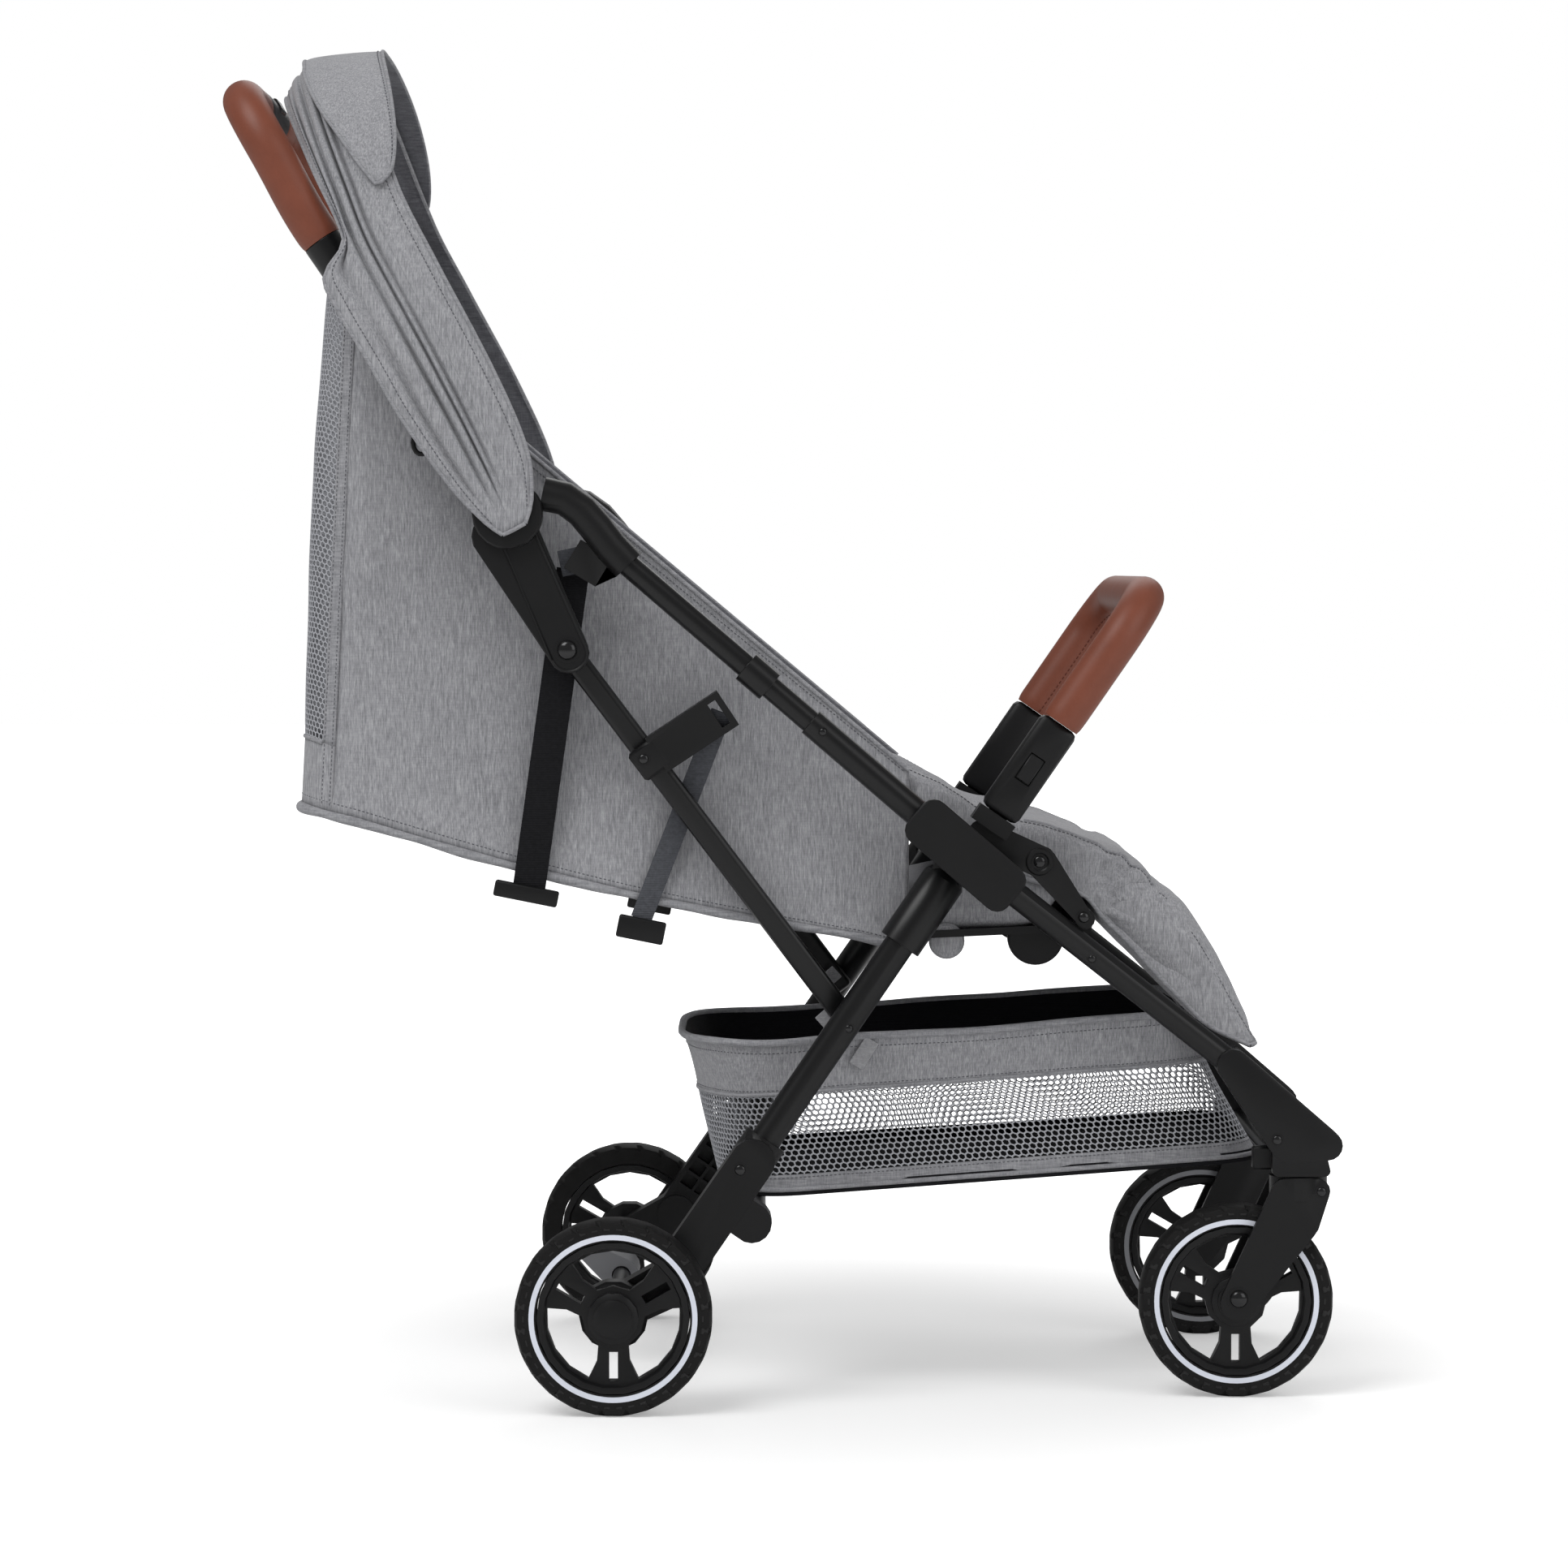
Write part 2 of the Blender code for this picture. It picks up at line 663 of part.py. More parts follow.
def body_axis(name, place, parent=None):
    """An empty on the axis that a group of pieces moves about."""
    empty = bpy.data.objects.new(name, None)
    empty.empty_display_size = 0.03
    empty.location = place
    PARTS.objects.link(empty)
    BODY_AXES[name] = empty
    if parent:
        hang(empty, parent)
    return empty


def hang(made, parent_name):
    """Parents a piece to an axis and leaves it where it is."""
    parent = BODY_AXES[parent_name]
    made.parent = parent
    made.matrix_parent_inverse = Matrix.Translation(-parent.location)


def make_axes():
    """The empties of every group that moves."""
    body_axis("rear_legs_axis", at_y(PIVOT, 0.0))
    body_axis("front_legs_axis", at_y(PIVOT, 0.0), "rear_legs_axis")
    body_axis("handle_axis", at_y(HANDLE_PIVOT, 0.0))
    body_axis("arms_axis", at_y(HANDLE_PIVOT, 0.0))
    body_axis("struts_axis", at_y(ARM_PIN, 0.0), "arms_axis")
    body_axis("canopy_mid_axis", at_y(HANDLE_PIVOT, 0.0), "handle_axis")
    body_axis("canopy_front_axis", at_y(HANDLE_PIVOT, 0.0), "canopy_mid_axis")
    body_axis("back_tube_axis", at_y(SEAT_HINGE, 0.0))
    body_axis("backrest_axis", at_y(SEAT_HINGE, 0.0), "back_tube_axis")
    body_axis("leg_rest_axis", at_y(LEG_REST_PIVOT, 0.0))
    body_axis("bumper_axis", at_y(BUMPER_SEAT, 0.0))
    body_axis("brake_axis", at_y(REAR_AXLE, 0.0), "rear_legs_axis")
    for name, side in SIDES:
        body_axis(f"rear_wheel_{name}_axis", at_y(REAR_AXLE, side * REAR_WHEEL_Y), "rear_legs_axis")
        caster = Vector((CASTER_X, side * FRONT_WHEEL_Y, FRONT_BRACKET_FLOOR))
        body_axis(f"caster_{name}_axis", caster, "front_legs_axis")
        wheel = at_y(FRONT_AXLE, side * FRONT_WHEEL_Y)
        body_axis(f"front_wheel_{name}_axis", wheel, f"caster_{name}_axis")


def between(low, high, side):
    """A span across the stroller on one side, low end first."""
    return sorted((side * low, side * high))


# Frame


def make_rail(name, side):
    """The stepped side rail, from inside the hub to inside the elbow."""
    start = polar(PIVOT, HUB_BLOCK_START + RAIL_IN_HUB, RAIL_ANGLE)
    end = RAIL_TOP + (RAIL_TOP - PIVOT).normalized() * (SOCKET_DEPTH - FIT_GAP)
    length = (end - start).length
    step = RAIL_THICK_LENGTH - HUB_BLOCK_START
    ring = step + RAIL_RING_BEYOND
    profile = [
        (0.0, length),
        (RAIL_THIN_RADIUS, length),
        (RAIL_THIN_RADIUS, ring + RAIL_RING_LENGTH),
        (RAIL_RING_RADIUS, ring + RAIL_RING_LENGTH),
        (RAIL_RING_RADIUS, ring),
        (RAIL_THIN_RADIUS, ring),
        (RAIL_THIN_RADIUS, step),
        (RAIL_RADIUS - FIT_GAP, step),
        (RAIL_RADIUS - FIT_GAP, 0.0),
        (0.0, 0.0),
    ]
    along = at_y(end, 0.0) - at_y(start, 0.0)
    turned(f"rail_{name}", profile, at_y(start, side * FRAME_Y), along, 14, TUBE_BLACK)


def make_elbow(name, side):
    """The moulded elbow that carries the rail from the handle's hinge disc, with the hinge pin."""
    start = polar(HANDLE_PIVOT, ELBOW_START_REACH, ELBOW_START_ANGLE)
    bend = bent(start, 0.0, RAIL_TOP, RAIL_ANGLE + 180.0, 5)
    elbow = tube(
        f"elbow_{name}", [at_y(p, side * FRAME_Y) for p in bend], ELBOW_RADIUS, PLASTIC
    )
    low, high = between(DISC_INNER, DISC_OUTER, side)
    disc = plate(f"elbow_disc_{name}", [circle(HANDLE_PIVOT, HINGE_DISC_RADIUS, 20)], low, high, PLASTIC)
    soften(disc, HINGE_DISC_THICKNESS / 4)
    inner = side * (HANDLE_Y - COLLAR_RADIUS + TURN_GAP)
    pin = rod(
        f"elbow_pin_{name}",
        at_y(HANDLE_PIVOT, inner),
        at_y(HANDLE_PIVOT, side * (DISC_INNER + HINGE_DISC_THICKNESS / 2)),
        PIN_RADIUS,
        PLASTIC,
        12,
    )
    lug_place = polar(RAIL_TOP, STRAP_LUG_REACH, STRAP_LUG_ANGLE)
    lug = oriented_box(
        f"elbow_lug_{name}",
        at_y(lug_place, side * (FRAME_Y - STRAP_LUG_THICKNESS / 2)),
        at_y(polar((0.0, 0.0), 1.0, STRAP_LUG_TILT), 0.0),
        Vector((0.0, 1.0, 0.0)),
        (STRAP_LUG_LENGTH, STRAP_LUG_THICKNESS, STRAP_LUG_WIDTH),
        PLASTIC,
    )
    join(elbow, disc, pin, lug)
    along = (PIVOT - RAIL_TOP).normalized()
    bore_start = RAIL_TOP - along * SOCKET_DEPTH
    bore = rod(
        f"elbow_bore_{name}",
        at_y(bore_start, side * FRAME_Y),
        at_y(RAIL_TOP + along * SOCKET_DEPTH, side * FRAME_Y),
        RAIL_THIN_RADIUS + FIT_GAP,
        PLASTIC,
        14,
    )
    cut(elbow, bore)


def make_hub(name, side):
    """The fold hub: pill cover, inner cheek with its lugs, the block that holds the rail, the pin."""
    along = polar((0.0, 0.0), 1.0, RAIL_ANGLE)
    across = Vector((-along.y, along.x))
    corners = [
        PIVOT + along * (PILL_LENGTH / 2 - PILL_CORNER) * i + across * (PILL_WIDTH / 2 - PILL_CORNER) * j
        for i, j in ((1, 1), (1, -1), (-1, -1), (-1, 1))
    ]
    low, high = between(PILL_INNER, PILL_OUTER, side)
    hub = plate(f"hub_{name}", [belt(*[(corner, PILL_CORNER) for corner in corners], steps=16)], low, high, PLASTIC)
    soften(hub, PILL_THICKNESS / 4)
    block_centre = polar(PIVOT, (HUB_BLOCK_START + HUB_BLOCK_END) / 2, RAIL_ANGLE)
    inner_face, outer_face = CHEEK_INNER + CHEEK_THICKNESS / 2, PILL_INNER + PILL_THICKNESS / 2
    block = oriented_box(
        f"hub_block_{name}",
        at_y(block_centre, side * (inner_face + outer_face) / 2),
        at_y(along, 0.0),
        Vector((0.0, 1.0, 0.0)),
        (HUB_BLOCK_END - HUB_BLOCK_START, outer_face - inner_face, HUB_BLOCK_WIDTH),
        PLASTIC,
    )
    seat = (BUMPER_SEAT, LUG_RADIUS)
    lug = (RIVET_LUG, LUG_RADIUS)
    tail = (LEG_REST_PIVOT, LEG_REST_LUG_RADIUS)
    rail_end = (block_centre, HUB_BLOCK_WIDTH / 2)
    low, high = between(CHEEK_INNER, CHEEK_OUTER, side)
    cheek = plate(f"hub_cheek_{name}", [belt(seat, lug, steps=14)], low, high, PLASTIC)
    webs = []
    eye = (PIVOT, HUB_EYE_RADIUS)
    for number, pair in enumerate(((rail_end, eye), (seat, eye), (lug, tail))):
        inset = FIT_GAP * (number + 1) / 3
        web = plate(f"hub_web_{name}_{number}", [belt(*pair, steps=12)], low + inset, high - inset, PLASTIC)
        webs.append(web)
    base = oriented_box(
        f"hub_base_{name}",
        at_y(polar(BUMPER_SEAT, (BUMPER_BASE_START + BUMPER_BASE_END) / 2, BUMPER_ANGLE), side * BUMPER_Y),
        at_y(polar((0.0, 0.0), 1.0, BUMPER_ANGLE), 0.0),
        Vector((0.0, 1.0, 0.0)),
        (BUMPER_BASE_END - BUMPER_BASE_START, FITTING_THICKNESS, FITTING_WIDTH),
        PLASTIC,
    )
    stub = oriented_box(
        f"hub_stub_{name}",
        at_y(polar(BUMPER_SEAT, BUMPER_BASE_END + STUB_LENGTH / 2, BUMPER_ANGLE), side * BUMPER_Y),
        at_y(polar((0.0, 0.0), 1.0, BUMPER_ANGLE), 0.0),
        Vector((0.0, 1.0, 0.0)),
        (STUB_LENGTH + CHEEK_THICKNESS, STUB_THICKNESS, STUB_WIDTH),
        PLASTIC,
    )
    pin = rod(
        f"hub_pin_{name}",
        at_y(PIVOT, side * (LEG_KNUCKLE_INNER + TURN_GAP)),
        at_y(PIVOT, side * (PILL_INNER + PILL_THICKNESS / 2)),
        PIN_RADIUS,
        PLASTIC,
        12,
    )
    join(hub, block, cheek, *webs, base, stub, pin)
    bore = rod(
        f"hub_bore_{name}",
        at_y(polar(PIVOT, HUB_BLOCK_START, RAIL_ANGLE), side * FRAME_Y),
        at_y(polar(PIVOT, HUB_BLOCK_END * 1.5, RAIL_ANGLE), side * FRAME_Y),
        RAIL_RADIUS,
        PLASTIC,
        16,
    )
    cut(hub, folded_sleeve(name, side), bore)


def rear_leg_line(side):
    """The ends of a rear leg's centre line."""
    top = at_y(PIVOT, side * REAR_LEG_TOP_Y)
    return top, at_y(REAR_LEG_END, side * leg_y(REAR_LEG_LENGTH))


def folded_sleeve(name, side):
    """The cutter for the notch that a rear leg's sleeve lies in when the legs are folded up."""
    top, end = rear_leg_line(side)
    along = (end - top).normalized()
    along.rotate(Matrix.Rotation(math.radians(FOLD_DEGREES), 3, "Y"))
    start = top + along * (SLEEVE_START - TURN_GAP)
    return rod(f"hub_notch_{name}", start, start + along * SLEEVE_LENGTH, SLEEVE_RADIUS + TURN_GAP, PLASTIC, 16)


def make_seat_crossbar():
    """The tube between the hub plates that the seat rests on and the leg rest turns about."""
    half = CHEEK_INNER - FIT_GAP
    rod(
        "seat_crossbar",
        at_y(LEG_REST_PIVOT, -half),
        at_y(LEG_REST_PIVOT, half),
        SEAT_TUBE_RADIUS,
        TUBE_BLACK,
    )


# Legs


def make_front_leg(name, side):
    """The front leg tube, which converges towards its bracket, with its knuckle in the hub."""
    start = at_y(polar(PIVOT, FRONT_LEG_START, FRONT_LEG_ANGLE), side * FRAME_Y)
    end = at_y(FRONT_LEG_END, side * FRONT_LEG_END_Y)
    leg = rod(f"front_leg_{name}", start, end, FRONT_LEG_RADIUS, TUBE_BLACK)
    low, high = between(FRAME_Y - RAIL_RADIUS, FRAME_Y + RAIL_RADIUS, side)
    knuckle = plate(f"front_knuckle_{name}", [circle(PIVOT, KNUCKLE_RADIUS)], low, high, PLASTIC)
    join(leg, knuckle)
    cut(leg, pivot_bore(f"front_leg_bore_{name}", PIVOT, side, FRAME_Y, PIN_RADIUS))
    hang(leg, "front_legs_axis")


def pivot_bore(name, place, side, centre, radius):
    """The cutter for a pin's hole."""
    reach = FRAME_Y
    return rod(
        name,
        at_y(place, side * (centre - reach)),
        at_y(place, side * (centre + reach)),
        radius + FIT_GAP,
        PLASTIC,
        12,
    )


def make_rear_leg(name, side):
    """The rear leg: tube, plastic sleeve at its top and the knuckle under the hub."""
    top, end = rear_leg_line(side)
    along = end - top
    sleeve_end = SLEEVE_START + SLEEVE_LENGTH
    length = along.length - FIT_GAP
    profile = [
        (0.0, length),
        (REAR_LEG_RADIUS, length),
        (REAR_LEG_RADIUS, sleeve_end),
        (SLEEVE_RADIUS, sleeve_end),
        (SLEEVE_RADIUS, SLEEVE_START + SLEEVE_SHOULDER),
        (SLEEVE_TOP_RADIUS, SLEEVE_START),
        (LEG_CORE_RADIUS, SLEEVE_START),
        (LEG_CORE_RADIUS, LEG_CORE_START),
        (0.0, LEG_CORE_START),
    ]
    leg = turned(f"rear_leg_{name}", profile, top, along, 14, TUBE_BLACK)
    low, high = between(LEG_KNUCKLE_INNER, LEG_KNUCKLE_OUTER, side)
    neck = (polar(PIVOT, SLEEVE_START, REAR_LEG_ANGLE), KNUCKLE_NECK_RADIUS)
    knuckle = plate(f"rear_knuckle_{name}", [belt((PIVOT, KNUCKLE_RADIUS), neck)], low, high, PLASTIC)
    join(leg, knuckle)
    cut(leg, pivot_bore(f"rear_leg_bore_{name}", PIVOT, side, REAR_LEG_TOP_Y, PIN_RADIUS))
    hang(leg, "rear_legs_axis")


def make_rear_bracket(name, side):
    """The moulded rear foot: socket, arm to the axle, eye of the cross tube, ribbed inner face."""
    low, high = between(BRACKET_INNER, BRACKET_OUTER, side)
    knee = (KNEE, BRACKET_KNEE_RADIUS)
    bracket = plate(f"rear_bracket_{name}", [belt(knee, (REAR_AXLE, BRACKET_AXLE_RADIUS))], low, high, PLASTIC)
    socket_low = polar(KNEE, BRACKET_SOCKET_RADIUS - SOCKET_BEFORE_KNEE, REAR_LEG_ANGLE)
    shank = plate(
        f"rear_shank_{name}",
        [belt((socket_low, BRACKET_SOCKET_RADIUS), (KNEE, BRACKET_SHANK_RADIUS))],
        low + FIT_GAP,
        high - FIT_GAP,
        PLASTIC,
    )
    eye = plate(
        f"rear_eye_{name}",
        [belt((CROSS_TUBE, BRACKET_EYE_RADIUS), (CROSS_TUBE_FOOT, BRACKET_EYE_RADIUS))],
        low + FIT_GAP * 2,
        high - FIT_GAP * 2,
        PLASTIC,
    )
    boss = plate(
        f"rear_boss_{name}",
        [circle(KNEE, BRACKET_BOSS_RADIUS)],
        *between(BRACKET_INNER - BRACKET_BOSS_RISE, BRACKET_OUTER - BRACKET_THICKNESS / 2, side),
        PLASTIC,
    )
    top, end = rear_leg_line(side)
    along = (end - top).normalized()
    socket_profile = [
        (0.0, BRACKET_SOCKET_LENGTH),
        (SOCKET_LIP_RADIUS, BRACKET_SOCKET_LENGTH),
        (BRACKET_SOCKET_RADIUS, BRACKET_SOCKET_LENGTH - SOCKET_LIP_LENGTH),
        (BRACKET_SOCKET_RADIUS, 0.0),
        (0.0, 0.0),
    ]
    socket_start = top + along * (KNEE_DOWN_LEG - SOCKET_BEFORE_KNEE)
    socket = turned(f"rear_socket_{name}", socket_profile, socket_start, along, 16, PLASTIC)
    join(bracket, shank, eye, boss, socket)
    bore = rod(f"rear_bore_{name}", top, end, REAR_LEG_RADIUS + FIT_GAP, PLASTIC)
    axle_bore = pivot_bore(f"rear_axle_bore_{name}", REAR_AXLE, side, BRACKET_OUTER, AXLE_RADIUS)
    cut(bracket, bore, axle_bore, *bracket_pockets(name, side))
    hang(bracket, "rear_legs_axis")


def bracket_pockets(name, side):
    """The cutters for the rib pockets moulded in a rear bracket's inner face."""
    pockets = []
    along = polar((0.0, 0.0), 1.0, REAR_LEG_ANGLE)
    aside = Vector((-along.y, along.x))
    for row in range(POCKET_ROWS):
        for column in (-0.5, 0.5):
            down = POCKET_LENGTH / 2 - POCKETS_BEFORE_KNEE + row * (POCKET_LENGTH + POCKET_WALL)
            place = KNEE + along * down + aside * column * (POCKET_WIDTH + POCKET_WALL)
            pockets.append(
                oriented_box(
                    f"rear_pocket_{name}_{row}_{'low' if column < 0 else 'high'}",
                    at_y(place, side * BRACKET_INNER),
                    at_y(along, 0.0),
                    Vector((0.0, 1.0, 0.0)),
                    (POCKET_LENGTH, 2 * POCKET_DEPTH, POCKET_WIDTH),
                    PLASTIC,
                )
            )
    return pockets


def make_rear_tubes():
    """The cross tube between the rear brackets, and the axle through both of them."""
    half = BRACKET_INNER
    ends = (at_y(CROSS_TUBE, -half), at_y(CROSS_TUBE, half))
    cross = rod("rear_crossbar", *ends, CROSS_TUBE_RADIUS, TUBE_BLACK)
    hang(cross, "rear_legs_axis")
    reach = REAR_WHEEL_Y + REAR_TYRE_WIDTH / 2 - HUB_CAP_RISE
    axle = rod("rear_axle", at_y(REAR_AXLE, -reach), at_y(REAR_AXLE, reach), AXLE_RADIUS, TUBE_BLACK)
    hang(axle, "rear_legs_axis")


def make_front_bracket(name, side):
    """The moulded front foot: sleeve of the leg, nose, flat floor over the caster, swivel stem."""
    floor = FRONT_BRACKET_FLOOR
    leg_along = polar((0.0, 0.0), 1.0, FRONT_LEG_ANGLE)
    mouth = (FRONT_LEG_END - leg_along * FRONT_SLEEVE_DEPTH, MOUTH_RADIUS)
    nose = (Vector((CASTER_X + NOSE_AHEAD, floor + NOSE_RISE)), NOSE_RADIUS)
    crook = (Vector((CASTER_X - CROOK_BACK, floor + CROOK_RISE)), CROOK_RADIUS)
    half = FRONT_BRACKET_THICKNESS / 2
    low, high = between(FRONT_LEG_END_Y - half, FRONT_LEG_END_Y + half, side)
    bracket = plate(f"front_bracket_{name}", [belt(mouth, nose, crook, steps=16)], low, high, PLASTIC)
    soften(bracket, FRONT_BRACKET_THICKNESS / 7, 2)
    rear, front = CASTER_X - CROWN_RADIUS + FOOT_CORNER, CASTER_X + CROWN_RADIUS - FOOT_CORNER
    corners = [(rear, FOOT_CORNER), (front, FOOT_CORNER), (front - FOOT_CORNER, FOOT_HEIGHT), (rear, FOOT_HEIGHT)]
    outline = belt(*[(Vector((x, floor + rise)), FOOT_CORNER) for x, rise in corners], steps=12)
    foot = plate(f"front_foot_{name}", [outline], low + FIT_GAP, high - FIT_GAP, PLASTIC)
    axis = Vector((CASTER_X, side * FRONT_WHEEL_Y, floor))
    reach = Vector((0.0, 0.0, STEM_LENGTH))
    stem = rod(f"front_stem_{name}", axis - reach, axis + reach, STEM_RADIUS, PLASTIC, 12)
    join(bracket, foot, stem)
    start = at_y(PIVOT, side * FRAME_Y)
    end = at_y(FRONT_LEG_END, side * FRONT_LEG_END_Y)
    bore_end = end + (end - start).normalized() * FIT_GAP
    bore = rod(f"front_bore_{name}", start, bore_end, FRONT_LEG_RADIUS + FIT_GAP, PLASTIC)
    slot = oriented_box(
        f"front_lock_slot_{name}",
        lock_place(side) - Vector((0.0, 0.0, LOCK_TRAVEL)),
        Vector((1.0, 0.0, 0.0)),
        Vector((0.0, 1.0, 0.0)),
        (LOCK_LENGTH + TURN_GAP * 2, LOCK_WIDTH + TURN_GAP * 2, LOCK_HEIGHT + (LOCK_TRAVEL + TURN_GAP) * 2),
        PLASTIC,
    )
    cut(bracket, bore, slot)
    hang(bracket, "front_legs_axis")


def lock_place(side):
    """The centre of a swivel lock's lever, sunk a little into the rear of the bracket's foot."""
    return Vector((
        CASTER_X - CROWN_RADIUS + LOCK_SINK - LOCK_LENGTH / 2,
        side * FRONT_LEG_END_Y,
        FRONT_BRACKET_FLOOR + LOCK_TRAVEL + LOCK_HEIGHT / 2,
    ))


def front_tube_place():
    """Where the tube between the front brackets runs, in the side view."""
    return Vector((CASTER_X - FRONT_TUBE_BACK, FRONT_BRACKET_FLOOR + FRONT_TUBE_RISE))


def make_front_crossbar():
    """The tube between the front brackets."""
    half = FRONT_LEG_END_Y - FRONT_BRACKET_THICKNESS / 2 - FIT_GAP
    place = front_tube_place()
    bar = rod("front_crossbar", at_y(place, -half), at_y(place, half), FRONT_TUBE_RADIUS, TUBE_BLACK)
    hang(bar, "front_legs_axis")


def make_fork(name, side):
    """The caster fork: crown with the stem's bore, two bent plates and the axle bolt."""
    top = FRONT_BRACKET_FLOOR - CROWN_GAP
    axis = Vector((CASTER_X, side * FRONT_WHEEL_Y, top))
    crown = rod(f"fork_{name}", axis - Vector((0.0, 0.0, CROWN_HEIGHT)), axis, CROWN_RADIUS, PLASTIC, 20)
    inner = FRONT_TYRE_WIDTH / 2 + FORK_CLEARANCE
    reach = CROWN_RADIUS - FORK_SHOULDER_RADIUS
    outline = belt(
        (Vector((CASTER_X + reach, top - FORK_SHOULDER_DROP)), FORK_SHOULDER_RADIUS),
        (Vector((CASTER_X - reach, top - FORK_SHOULDER_DROP)), FORK_SHOULDER_RADIUS),
        (Vector((CASTER_X, top - FORK_BEND_DROP)), FORK_BEND_RADIUS),
        (FRONT_AXLE, FORK_BOSS_RADIUS),
        steps=16,
    )
    plates = []
    for place in (inner, -inner - FORK_PLATE):
        low = side * FRONT_WHEEL_Y + place
        plates.append(
            plate(f"fork_plate_{name}_{'out' if place > 0 else 'in'}", [outline], low, low + FORK_PLATE, PLASTIC)
        )
    half = inner + FORK_PLATE / 2
    bolt = rod(
        f"fork_bolt_{name}",
        at_y(FRONT_AXLE, side * FRONT_WHEEL_Y - half),
        at_y(FRONT_AXLE, side * FRONT_WHEEL_Y + half),
        BOLT_RADIUS,
        PLASTIC,
        12,
    )
    join(crown, *plates, bolt)
    reach = Vector((0.0, 0.0, STEM_LENGTH + CROWN_GAP))
    cut(crown, rod(f"fork_bore_{name}", axis - reach, axis + reach, STEM_RADIUS + FIT_GAP, PLASTIC, 12))
    hang(crown, f"caster_{name}_axis")


def make_swivel_lock(name, side):
    """The small lever behind the front bracket that stops the caster from swivelling."""
    lever = oriented_box(
        f"swivel_lock_{name}",
        lock_place(side),
        Vector((1.0, 0.0, 0.0)),
        Vector((0.0, 1.0, 0.0)),
        (LOCK_LENGTH, LOCK_WIDTH, LOCK_HEIGHT),
        PLASTIC,
    )
    soften(lever, LOCK_WIDTH / 8)
    hang(lever, "front_legs_axis")


# Wheels


def make_tyre(name, wheel_name, centre, width):
    """A tyre whose shoulders are notched between the lugs, flat on each lug."""
    pitch = 360.0 / LUG_COUNT
    flat = math.cos(math.radians(LUG_LAND_DEGREES / 2))
    outer = WHEEL_RADIUS / flat
    inner = WHEEL_RADIUS - TYRE_DEPTH
    tread = width / 2 * TREAD_SHARE
    bead = width / 2 * BARREL_SHARE

    def section(notch):
        shoulder = outer - SHOULDER_DROP - notch
        edge = width / 2 - notch / 2
        return [(-bead, inner), (-edge, shoulder), (-tread, outer), (tread, outer), (edge, shoulder), (bead, inner)]

    built = bmesh.new()
    rings = []
    for lug in range(LUG_COUNT):
        for offset, notch in ((-LUG_LAND_DEGREES / 2, 0.0), (LUG_LAND_DEGREES / 2, 0.0), (pitch / 2, LUG_NOTCH)):
            turn = math.radians(lug * pitch + offset - 90.0)
            ring = [
                built.verts.new((radius * math.cos(turn), y, radius * math.sin(turn)))
                for y, radius in section(notch)
            ]
            rings.append(ring)
    for ring, after in zip(rings, rings[1:] + rings[:1]):
        for i in range(len(ring)):
            j = (i + 1) % len(ring)
            built.faces.new((ring[i], ring[j], after[j], after[i]))
    tyre = from_bmesh(name, built, RUBBER)
    tyre.location = centre
    hang(tyre, wheel_name)


def spoke_outlines():
    """The wheel disc's edge, its openings between the spokes and the slots that fork the spokes."""
    middle = Vector((0.0, 0.0))
    barrel_inner = WHEEL_RADIUS - TYRE_DEPTH - BARREL_THICKNESS
    outlines = [circle(middle, barrel_inner + BARREL_THICKNESS / 2, 22)]
    for i in range(SPOKE_COUNT):
        spoke = -90.0 + 360.0 / SPOKE_COUNT * i
        gap = spoke + 180.0 / SPOKE_COUNT
        half_gap = 180.0 / SPOKE_COUNT
        tip = half_gap - math.degrees(math.asin(SPOKE_TIP_HALF_WIDTH / barrel_inner))
        waist = half_gap - math.degrees(math.asin(SPOKE_WAIST_HALF_WIDTH / SPOKE_WAIST_RADIUS))
        root = half_gap - math.degrees(math.asin(SPOKE_ROOT_HALF_WIDTH / SPOKE_ROOT_RADIUS))
        opening = [polar(middle, barrel_inner, gap - tip + 2 * tip * k / 4) for k in range(5)]
        opening.append(polar(middle, SPOKE_WAIST_RADIUS, gap + waist))
        opening += [polar(middle, SPOKE_ROOT_RADIUS, gap + root * k) for k in (1.0, 0.0, -1.0)]
        opening.append(polar(middle, SPOKE_WAIST_RADIUS, gap - waist))
        outlines.append(opening)
        across = polar(middle, SLOT_WIDTH / 2, spoke + 90.0)
        ends = (polar(middle, SLOT_START, spoke), polar(middle, SLOT_END, spoke))
        outlines.append([ends[0] - across, ends[1] - across, ends[1] + across, ends[0] + across])
    return outlines


